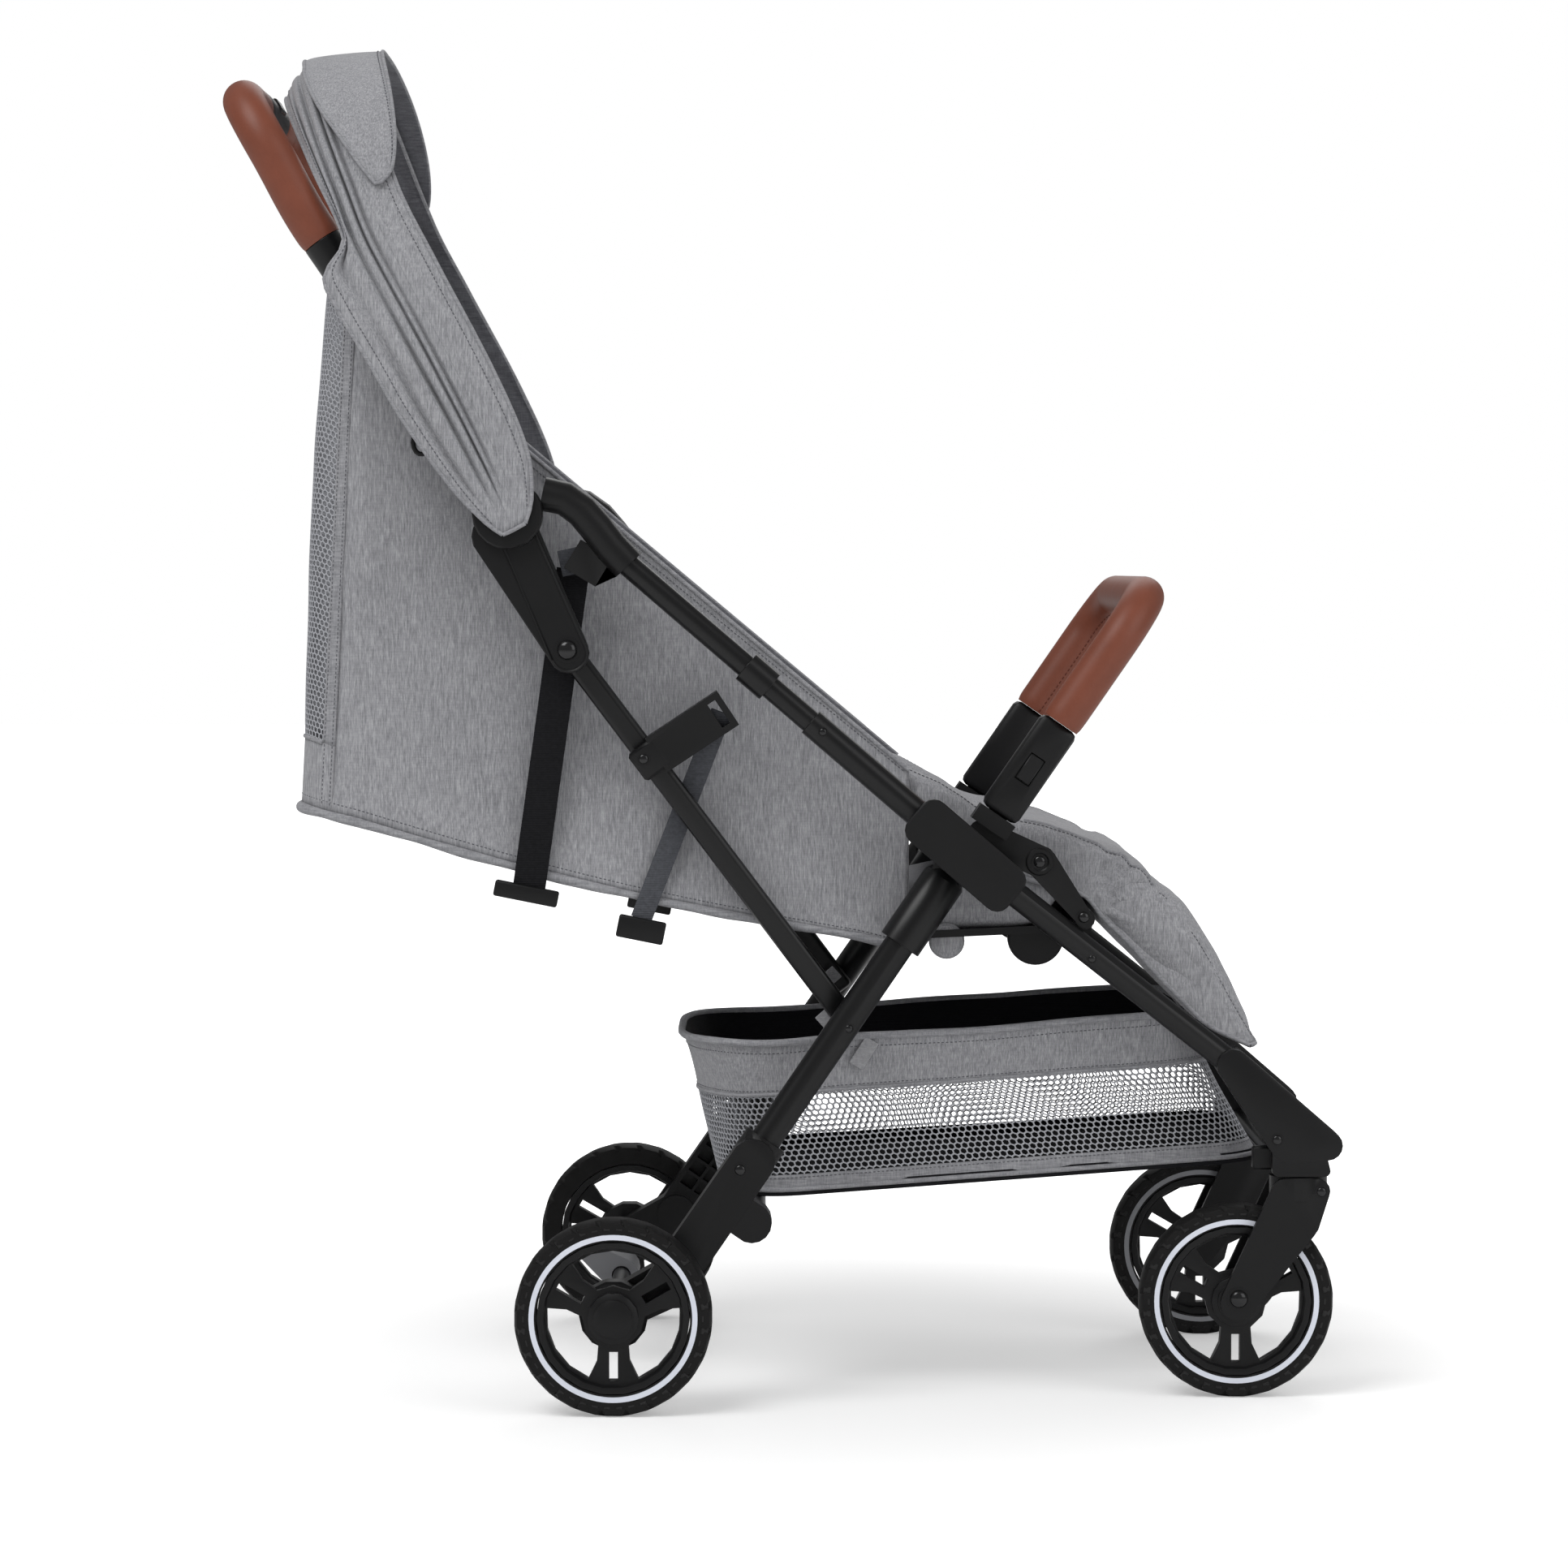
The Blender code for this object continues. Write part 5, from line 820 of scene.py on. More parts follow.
class RigidPieces(SubAssembly):
    """The frame's rigid nodes with clean faces, rounded edges and their finishes."""

    flat_degrees: ClassVar[float] = 0.4
    sharp_degrees: ClassVar[float] = 38.0
    rounded: ClassVar[tuple] = (
        (Finish.PAINT, "tube_black", {
            "rail": 0.0005, "front_leg": 0.0004, "rear_leg": 0.0006, "strut": 0.0004, "handle_tube": 0.0006,
            "seat_crossbar": 0.0005, "rear_crossbar": 0.0005, "rear_axle": 0.0005, "front_crossbar": 0.0005,
            "back_tube": 0.0005,
        }),
        (Finish.PLASTIC, "plastic_black", {
            "elbow": 0.0007, "hub": 0.0007, "rear_bracket": 0.0006, "front_bracket": 0.0006, "fork": 0.0008,
            "swivel_lock": 0.0004, "arm": 0.0007, "strap_guide": 0.0009, "bumper_fitting": 0.0008,
            "harness_buckle": 0.0008, "seat_base": 0.0006, "rear_rim": 0.0006, "front_rim": 0.0006,
        }),
        (Finish.CAP, "plastic_black", {"bumper_button": 0.0003, "fold_button": 0.0004}),
        (Finish.PEDAL, "pedal_grey", {"brake_pedal": 0.0008}),
        (Finish.RUBBER, "tyre_rubber", {"rear_tyre": 0.0007, "front_tyre": 0.0007}),
    )

    def build(self) -> None:
        """Dresses every rigid node."""
        kinds = {
            kind: (finish, slot, edge) for finish, slot, row in self.rounded for kind, edge in row.items()
        }
        for node in sorted(self.layout.body_of):
            kind = node.removesuffix("_left").removesuffix("_right")
            if kind in kinds:
                self.dress(node, *kinds[kind])

    def dress(self, node: str, finish: Finish, slot: str, edge: float) -> None:
        """Makes the finished piece of one node; the rims keep all their faces.

        Args:
            node: the node.
            finish: its finish.
            slot: the record's material slot.
            edge: how far its edges are rounded.
        """
        built = self.copy_of(node)
        if "_rim" not in node:
            bmesh.ops.dissolve_limit(
                built, angle_limit=math.radians(self.flat_degrees), use_dissolve_boundaries=False,
                verts=built.verts[:], edges=built.edges[:],
            )
        made = self.link(node + "_shell", built, finish, self.sharp_degrees)
        edges = made.modifiers.new("Rounded edges", "BEVEL")
        edges.width = edge
        edges.segments = 2
        edges.limit_method = "ANGLE"
        edges.angle_limit = math.radians(self.sharp_degrees)
        edges.harden_normals = True
        self.settle(made, self.layout.body_of[node], slot, node)


# Cloth


@dataclass
class ClothWork(SubAssembly):
    """A sub-assembly sewn from cloth that follows a smooth rule, round a point on its inner side."""

    cloth: float = 0.0022
    inside: Point = (0.0, 0.0, 0.0)
    pitch: float = 0.0046
    thread: float = 0.00095
    fullness: ClassVar[float] = 1.08

    def panel(
        self, name: str, rule: Rule, us: Sequence[float], vs: Sequence[float],
        finish: Finish = Finish.HEATHER, lining: Finish = Finish.LINING, thickness: float | None = None,
    ) -> bpy.types.Object:
        """A sewn panel.

        Args:
            name: the piece's name.
            rule: the point at a place (u, v).
            us: the places along it.
            vs: the places across it.
            finish: its outer finish.
            lining: its inner finish.
            thickness: its thickness, if it isn't the cloth's.

        Returns:
            The panel.
        """
        made = self.grid(name, [[rule(u, v) for v in vs] for u in us], finish)
        self.face_away(made)
        self.wall(made, thickness or self.cloth, lining)
        return made

    def cut_from(self, made: bpy.types.Object, length: float, held: str, *rests_on: str) -> None:
        """Works out the width of the cloth that a sheet was cut from; the width is not used.

        Args:
            made: the sheet.
            length: the cut's longer side.
            held: how it is held; not used.
            rests_on: what it rests on or hangs from; not used.
        """
        area = sum(face.area for face in made.data.polygons)
        width = area / length * self.fullness

    def face_away(self, made: bpy.types.Object) -> None:
        """Turns a sheet's faces away from the inner point."""
        inside = Vector(self.inside)
        score = sum((face.center - inside).dot(face.normal) * face.area for face in made.data.polygons)
        if score < 0.0:
            made.data.flip_normals()

    def away(self, point: Vector) -> Vector:
        """The way out of the cloth, from the inner point."""
        return (point - Vector(self.inside)).normalized()

    def net(self, name: str, rule: Rule, width: float, height: float) -> bpy.types.Object:
        """A knitted net of six-sided holes, as real geometry.

        Args:
            name: the piece's name.
            rule: the point at shares (u, v) of its width and height.
            width: its width, for the holes' count.
            height: its height, for the holes' count.

        Returns:
            The net.
        """
        pitch, inner = self.pitch, 1.0 - self.thread / self.pitch
        row_step, reach = pitch * math.sqrt(3.0) / 2.0, pitch / math.sqrt(3.0)
        turns = [math.radians(30.0 + 60.0 * k) for k in range(6)]
        built = bmesh.new()
        shared: dict[tuple[int, int], bmesh.types.BMVert] = {}

        def spot(x: float, y: float) -> Vector:
            """The point at a place on the flat net."""
            return rule(within(x / width), within(y / height))

        def corner(x: float, y: float) -> bmesh.types.BMVert:
            """The corner at a place, made once for the holes that share it."""
            key = (round(x / pitch * 600), round(y / pitch * 600))
            if key not in shared:
                shared[key] = built.verts.new(spot(x, y))
            return shared[key]

        for row in range(int(height / row_step) + 2):
            for column in range(int(width / pitch) + 2):
                x, y = (column + 0.5 * (row % 2)) * pitch, row * row_step
                if x > width + pitch / 2 or y > height + row_step / 2:
                    continue
                places = [(x + reach * math.cos(turn), y + reach * math.sin(turn)) for turn in turns]
                outer = [corner(*place) for place in places]
                hole = [built.verts.new(spot(x + (a - x) * inner, y + (b - y) * inner)) for a, b in places]
                for k in range(6):
                    j = (k + 1) % 6
                    if outer[k] is not outer[j]:
                        built.faces.new((outer[k], outer[j], hole[j], hole[k]))
        bmesh.ops.remove_doubles(built, verts=built.verts[:], dist=0.00001)
        bmesh.ops.dissolve_degenerate(built, edges=built.edges[:], dist=0.00001)
        made = self.link(name, built, Finish.NET, 80.0)
        self.face_away(made)
        self.wall(made, self.thread * 0.8)
        return made


@dataclass
class Canopy(ClothWork):
    """The sun canopy, folded back in pleats against the handle, with its visor.

    A table's first column is a distance up from the hinge, or a layer from the rear hem (0) to the front (1).
    """

    angle: float = 117.0
    height: float = 0.381
    half_width: float = 0.2128
    squareness: float = 3.2
    low_row: float = -0.034
    visor_cloth: float = 0.002
    hem_radius: float = 0.0016
    binding_radius: float = 0.0014
    stitch_lift: float = 0.0002
    folds: tuple = (
        ("canopy_rear", "handle", 0.0, 0.34), ("canopy_mid", "middle_fold", 0.34, 0.62),
        ("canopy_front", "visor_fold", 0.62, 1.0),
    )
    edges: tuple = (("canopy_rear", "handle", 0.0, 0.075), ("canopy_front", "visor_fold", 1.0, 0.90))
    steps: int = 150
    crown: tuple = ((0.0, 0.988), (0.2, 1.014), (0.4, 1.024), (0.56, 1.020), (1.0, 0.992), (1.32, 0.968))
    rear_edge: tuple = (
        (-0.013, -0.010), (0.0, -0.017), (0.036, -0.028), (0.10, -0.038), (0.145, -0.0405),
        (0.20, -0.0440), (0.2235, -0.0415), (0.236, -0.0205), (0.246, -0.0150), (0.30, -0.0140),
        (0.40, -0.0110),
    )
    fold_edge: tuple = (
        (-0.013, -0.010), (0.0, -0.017), (0.036, -0.024), (0.10, -0.0265), (0.16, -0.0275),
        (0.23, -0.0290), (0.273, -0.0245), (0.33, -0.020), (0.40, -0.0125),
    )
    front_edge: tuple = (
        (-0.013, 0.009), (0.0, 0.021), (0.034, 0.035), (0.10, 0.040), (0.20, 0.0385), (0.26, 0.0385),
        (0.40, 0.056),
    )
    visor_edge: tuple = (
        (0.262, 0.0240), (0.267, 0.0330), (0.275, 0.0420), (0.300, 0.0550), (0.330, 0.0650), (0.360, 0.0715),
        (0.40, 0.0760),
    )
    visor_rear: tuple = ((0.0, 0.78), (0.15, 0.69), (0.40, 0.57), (0.66, 0.45), (0.93, 0.39), (1.0, 0.41))
    valleys: tuple = (
        (0.14, 0.018, 0.0040), (0.29, 0.022, 0.0056), (0.42, 0.013, 0.0058), (0.50, 0.020, 0.0034),
    )
    roll: float = 0.0022
    sway: float = 0.016
    ripple: float = 0.0012
    crease: float = 0.0005
    sink: float = 0.0006
    cut: float = 1.12
    visor_cut: float = 0.52
    visor_low_row: float = 0.690
    visor_high_row: float = 0.97
    visor_lift: float = 0.0050
    tie_centre: Point = (-0.3380, 0.8654)
    tie_profile: tuple = (
        (0.0080, 0.0118), (0.0068, 0.0146), (0.0030, 0.0158), (-0.0030, 0.0152), (-0.0100, 0.0141),
        (-0.0170, 0.0136), (-0.0240, 0.0127), (-0.0300, 0.0112),
    )
    tube_radius: float = 0.0108
    hook_centre: Point = (-0.2785, 0.1885, 0.7386)
    hook_size: Point = (0.0060, 0.0090)
    hook_radius: float = 0.0020

    def __post_init__(self) -> None:
        """Works out the arch and a point inside it."""
        self.inside = at_y(polar(self.layout.hinge, 0.19, self.angle + 12.0), 0.0)
        power = 2.0 / self.squareness
        line = [Vector((self.low_row * self.height, self.half_width))]
        for k in range(2001):
            turn = math.pi * k / 2000
            row, share = max(math.sin(turn), 0.0) ** power, abs(math.cos(turn)) ** power
            line.append(Vector((row * self.height, math.copysign(share, math.cos(turn)) * self.half_width)))
        line.append(Vector((self.low_row * self.height, -self.half_width)))
        total = sum((b - a).length for a, b in zip(line, line[1:]))
        self.arch = [(p.x / self.height, p.y / self.half_width) for p in resampled(line, total / self.steps)]

    def arch_at(self, place: float) -> tuple[float, float]:
        """How far up and how far aside the arch is at a place along it."""
        k = min(int(place), len(self.arch) - 2)
        (row, share), (next_row, next_share) = self.arch[k], self.arch[k + 1]
        return mix(row, next_row, place - k), mix(share, next_share, place - k)

    def rule(self, place: float, layer: float, lift: float = 0.0, plain: bool = False) -> Vector:
        """A point of the canopy's outer face.

        Args:
            place: the number of its place along the arch.
            layer: 0 at the rear hem, 1 at the front hem.
            lift: how far outside the face it lies.
            plain: whether it leaves out the pleats.

        Returns:
            The point.
        """
        row, share = self.arch_at(place)
        along = self.height * row * smooth_table(self.crown, layer)
        base, front = smooth_table(self.fold_edge, along), smooth_table(self.front_edge, along)
        pulled = (smooth_table(self.rear_edge, along) - base) * smooth_step(0.28, 0.0, layer)
        level = polar(self.layout.hinge, along, self.angle)
        flat = polar(level, mix(base, front, layer) + pulled, self.angle - 90.0)
        spot = at_y(flat, self.half_width * share)
        out = at_y(polar((0.0, 0.0), max(row, 0.0) ** 3, self.angle), share).normalized()
        return spot + out * (lift if plain else lift + self.relief(row, share, layer))

    def relief(self, row: float, share: float, layer: float) -> float:
        """How far the pleats and wrinkles push the cloth out.

        Args:
            row: how far up the arch.
            share: how far to the side.
            layer: from the rear hem to the front one.

        Returns:
            The distance outwards.
        """
        fade = smooth_step(-0.01, 0.16, row) * (1.0 - 0.8 * smooth_step(0.88, 0.99, row))
        push = 0.0
        for k, (at, width, depth) in enumerate(self.valleys):
            sway = self.sway * wander(row * 3.1, share * 2.0, k * 7.0)
            deep = depth * (1.0 + 0.7 * wander(row * 5.0, share * 3.0, k * 5.0))
            push -= deep * fade * math.exp(-(((layer - at - sway) / width) ** 2))
        rolls = [0.0] + [valley[0] for valley in self.valleys] + [1.0]
        for low, high in zip(rolls, rolls[1:]):
            if low <= layer <= high:
                push += self.roll * fade * math.sin(math.pi * (layer - low) / (high - low)) ** 0.7
        ripple = wander(row * 9.0 + layer * 4.0, share * 3.0, layer * 7.0)
        crease = wander(row * 26.0 - layer * 9.0, share * 8.0, layer * 15.0)
        return push + fade * (self.ripple * ripple + self.crease * crease) - self.sink

    def build(self) -> None:
        """Makes the three folds, their hems, the visor and the ties."""
        last = len(self.arch) - 1
        for name, body, low, high in self.folds:
            cloth = self.panel(name + "_panel", self.rule, range(last + 1), shares(30, low, high))
            self.settle(cloth, body, "heather_fabric", name)
            self.cut_from(cloth, self.cut, "gathered", "handle_tube_left", "handle_tube_right")
            for end, side in ((0, "left"), (last, "right")):
                tip = [self.rule(end, layer) for layer in shares(16, low, high)]
                self.hem(f"{name}_tip_{side}", tip, body)
        for name, body, edge, _ in self.edges:
            self.hem(name + "_hem", [self.rule(place, edge) for place in shares(last, 0.0, last)], body)
        for name, body, _, sewn in self.edges:
            row = [self.rule(place, sewn, self.stitch_lift) for place in shares(last * 2, 1.5, last - 1.5)]
            self.settle(self.stitches(name + "_stitches", row, self.away), body, "heather_fabric")
        self.make_visor()
        self.make_ties()

    def hem(self, name: str, points: Sequence[Vector], body: str) -> None:
        """A rolled hem along an edge, which rides on a body."""
        self.settle(self.pipe(name, points, self.hem_radius, Finish.HEM, 10), body, "heather_fabric")

    def visor_rule(self, place: float, share: float, lift: float = 0.0) -> Vector:
        """A point of the visor: it narrows to a tongue on each side.

        Args:
            place: the number of its place along the arch.
            share: 0 at its rear edge, 1 at its front one.
            lift: how far outside the visor it lies.

        Returns:
            The point.
        """
        row = self.arch_at(place)[0]
        rise = within((row - self.visor_low_row) / (self.visor_high_row - self.visor_low_row))
        rear = smooth_table(self.visor_rear, rise)
        along = self.height * row
        back = smooth_table(self.fold_edge, along)
        front = (smooth_table(self.visor_edge, along) - back) / (smooth_table(self.front_edge, along) - back)
        return self.rule(place, mix(rear, max(front, rear), share), self.visor_lift + lift, plain=True)

    def make_visor(self) -> None:
        """The stiffened visor over the crown, dark inside, with a sewn edge."""
        places = [k for k, (row, _) in enumerate(self.arch) if row > self.visor_low_row]
        fine = [places[0] + k * 0.5 for k in range(2 * (places[-1] - places[0]) + 1)]
        visor = self.panel("visor", self.visor_rule, fine, shares(24), thickness=self.visor_cloth)
        self.settle(visor, "visor_fold", "heather_fabric")
        self.cut_from(visor, self.visor_cut, "stretched", "canopy_front_panel")
        edge = [self.visor_rule(p, 1.0) for p in fine] + [self.visor_rule(p, 0.0) for p in reversed(fine)]
        binding = self.pipe("visor_binding", edge, self.binding_radius, Finish.HEM, 10, closed=True)
        row = [self.visor_rule(p, 0.94, self.stitch_lift) for p in fine[3:-3]]
        for piece in (binding, self.stitches("visor_stitches", row, self.away)):
            self.settle(piece, "visor_fold", "heather_fabric")

    def make_ties(self) -> None:
        """The loops of cloth that tie the cover to the handle's tubes, and the rings below them."""
        centre = Vector(self.tie_centre)
        along = (centre - self.layout.hinge).normalized()
        x, hook_y, z = self.hook_centre
        wide, high = self.hook_size
        for name, side in SIDES:
            spot = self.layout.side_face(f"handle_tube_{name}", centre - along * 0.02, side)
            y = spot.y - side * self.tube_radius if spot else side * 0.166
            path = [at_y(centre + along * distance, y) for distance, _ in self.tie_profile]
            radii = [radius for _, radius in self.tie_profile]
            tie = self.pipe(f"canopy_tie_{name}", path, radii, Finish.HEATHER, 28)
            self.settle(tie, "handle", "heather_fabric")
            turns = [0.45 * k for k in range(14)]
            ring = [Vector((x + wide * math.cos(t), side * hook_y, z + high * math.sin(t))) for t in turns]
            hook = self.pipe(f"canopy_hook_{name}", ring, self.hook_radius, Finish.PLASTIC, 8, closed=True)
            self.settle(hook, "handle", "plastic_black")


@dataclass
class SeatBucket(ClothWork):
    """The seat's heather tub: two side panels, a netted rear window and a rolled lower hem."""

    half_width: float = 0.147
    front: float = 0.041
    length: float = 0.4355
    lean: float = 0.022
    corner: float = 0.045
    cloth: float = 0.0024
    inside: Point = (-0.15, 0.0, 0.60)
    back_rise: float = 0.0900
    back_length: float = 0.390
    tube: float = 0.006
    sag: float = 0.008
    top_line: tuple = ((-0.4857, 0.4352), (-0.3022, 0.2804), (-0.0220, 0.0460))
    border: float = 0.011
    seam_turn: float = 0.019
    net_low: float = 0.13
    broad_wrinkle: float = 0.0026
    fine_wrinkle: float = 0.0009
    side_cut: float = 0.45
    band_cut: float = 0.4
    border_cut: float = 0.36
    hem_radius: float = 0.0032
    hem_unevenness: float = 0.0011
    hem_rear_swell: float = 0.0010
    binding_radius: float = 0.0017
    edge_radius: float = 0.0016
    bulge: float = 0.004
    bulge_unevenness: float = 0.002

    def __post_init__(self) -> None:
        """Works out the plan's runs."""
        self.front_x = self.layout.pivot.x - self.front
        self.rear_x = self.layout.seat_hinge.x - self.length
        self.side_run = self.front_x - self.rear_x - self.corner
        self.turn_run = self.corner * math.pi / 2
        self.total = 2.0 * (self.side_run + self.turn_run + self.half_width - self.corner)

    def plan(self, run: float) -> Vector:
        """The plan's point at a run from the left front round to the right front."""
        if run > self.total / 2:
            mirrored = self.plan(self.total - run)
            return Vector((mirrored.x, -mirrored.y))
        if run <= self.side_run:
            return Vector((self.front_x - run, self.half_width))
        turn = (run - self.side_run) / self.corner
        if turn < math.pi / 2:
            x = self.rear_x + self.corner * (1.0 - math.sin(turn))
            return Vector((x, self.half_width - self.corner * (1.0 - math.cos(turn))))
        return Vector((self.rear_x, self.total / 2 - run))

    def rule(self, run: float, share: float) -> Vector:
        """A point of the tub's smooth outer face.

        Args:
            run: the distance round the plan.
            share: 0 at the hem, 1 at the upper edge.

        Returns:
            The point.
        """
        spot = self.plan(run)
        lean = self.lean * (self.front_x - spot.x) / (self.front_x - self.rear_x)
        hinge = self.layout.seat_hinge
        back = (hinge.x - spot.x) / self.back_length
        low = hinge.y - self.tube + self.back_rise * back - self.sag * math.sin(math.pi * within(back))
        high = self.layout.pivot.y + smooth_table(self.top_line, spot.x + lean - self.layout.pivot.x)
        return Vector((spot.x + lean * share, spot.y, mix(low, high, share)))

    def wrinkled(self, run: float, share: float) -> Vector:
        """A point of the cloth, which sinks inwards in soft wrinkles between its seams."""
        spot = self.rule(run, share)
        ahead, behind = self.plan(run + 0.001), self.plan(max(run - 0.001, 0.0))
        along = (ahead - behind).normalized()
        depth = smooth_step(0.0, 0.10, share) * smooth_step(0.0, 0.06, 1.0 - share)
        broad = wander(spot.x * 9.0, spot.y * 9.0, spot.z * 4.0) + 0.45
        fine = wander(spot.x * 34.0 + spot.z * 12.0, spot.y * 30.0, spot.z * 9.0 - spot.x * 6.0)
        inwards = depth * (self.broad_wrinkle * max(broad, 0.0) + self.fine_wrinkle * (fine + 0.5))
        return spot - Vector((along.y, -along.x, 0.0)) * inwards

    def build(self) -> None:
        """Makes the panels, the net, the borders and the hem."""
        seam = self.side_run + self.seam_turn
        for side, start, end in (("left", 0.0, seam), ("right", self.total - seam, self.total)):
            cloth = self.panel(f"seat_side_{side}", self.wrinkled, shares(110, start, end), shares(64))
            self.add(cloth, *(("seat_bucket",) if side == "left" else ()))
            self.cut_from(cloth, self.side_cut, "stretched", "rail_" + side)
        band = self.panel(
            "seat_rear_band", self.rule, shares(70, seam, self.total - seam), shares(8, 0.0, self.net_low)
        )
        self.add(band)
        self.cut_from(band, self.band_cut, "stretched", "seat_side_left", "seat_side_right")
        self.make_window(seam)
        hem = resampled([self.rule(run, -0.002) for run in shares(240, 0.0, self.total)], 0.004)
        radii = [self.hem_at(p) for p in hem]
        lowered = [p - Vector((0.0, 0.0, r * 0.6)) for p, r in zip(hem, radii)]
        self.add(self.pipe("seat_hem", lowered, radii, Finish.HEM, 14))
        upper = [self.rule(run, 1.0) for run in shares(240, 0.0, self.total)]
        binding = self.pipe("seat_top_binding", resampled(upper, 0.006), self.binding_radius, Finish.HEM, 10)
        self.add(binding)
        for number, share in enumerate((0.018, 0.972)):
            row = [self.wrinkled(run, share) for run in shares(260, 0.004, self.total - 0.004)]
            self.add(self.stitches(f"seat_stitches_{number}", row, self.outwards))

    def hem_at(self, point: Vector) -> float:
        """The rolled hem's radius at a point: it varies a little and swells at the rear."""
        uneven = self.hem_radius + self.hem_unevenness * noise.noise(point * 26.0)
        return uneven + self.hem_rear_swell * smooth_step(-0.355, -0.378, point.x)

    def make_window(self, seam: float) -> None:
        """The netted window in the rear, with a sewn border, from the run where a side panel ends."""
        low, high = seam + self.border, self.total - seam - self.border
        for name, start, end in (("left", seam, low), ("right", high, self.total - seam)):
            places = shares(6, start, end), shares(60, self.net_low, 1.0)
            strip = self.panel(f"window_border_{name}", self.rule, *places, Finish.HEM)
            self.add(strip)
            self.cut_from(strip, self.border_cut, "stretched", "seat_side_" + name)
            for number, share in enumerate((0.16, 0.84)):
                row = [self.rule(mix(start, end, share), rise) for rise in shares(120, 0.01, 0.99)]
                self.add(self.stitches(f"window_stitches_{name}_{number}", row, self.outwards))
        height = (self.rule(self.total / 2, 1.0) - self.rule(self.total / 2, self.net_low)).length

        def window(u: float, v: float) -> Vector:
            """A point of the net, which bulges to the rear."""
            spot = self.rule(mix(low, high, u), mix(self.net_low, 1.0, v))
            uneven = self.bulge_unevenness * noise.noise(spot * 11.0)
            bulge = math.sin(math.pi * v) * (self.bulge + uneven)
            return spot - Vector((bulge * smooth_step(0.0, 0.08, min(u, 1 - u)), 0.0, 0.0))

        self.add(self.net("seat_window_net", window, high - low, height))
        for number, share in enumerate((self.net_low, 0.995)):
            row = resampled([self.rule(run, share) for run in shares(90, low, high)], 0.005)
            self.add(self.pipe(f"window_edge_{number}", row, self.edge_radius, Finish.HEM, 8))

    def outwards(self, point: Vector) -> Vector:
        """The level way out of the tub at a point."""
        return Vector((min(point.x + 0.29, 0.0), point.y * 3.0, 0.0)).normalized()

    def add(self, made: bpy.types.Object, *nodes: str) -> None:
        """Lets a piece ride on the frame, in a node's place or not, with a mesh of its own."""
        self.settle(made, "frame", "heather_fabric", *nodes)
        self.crumple(made)


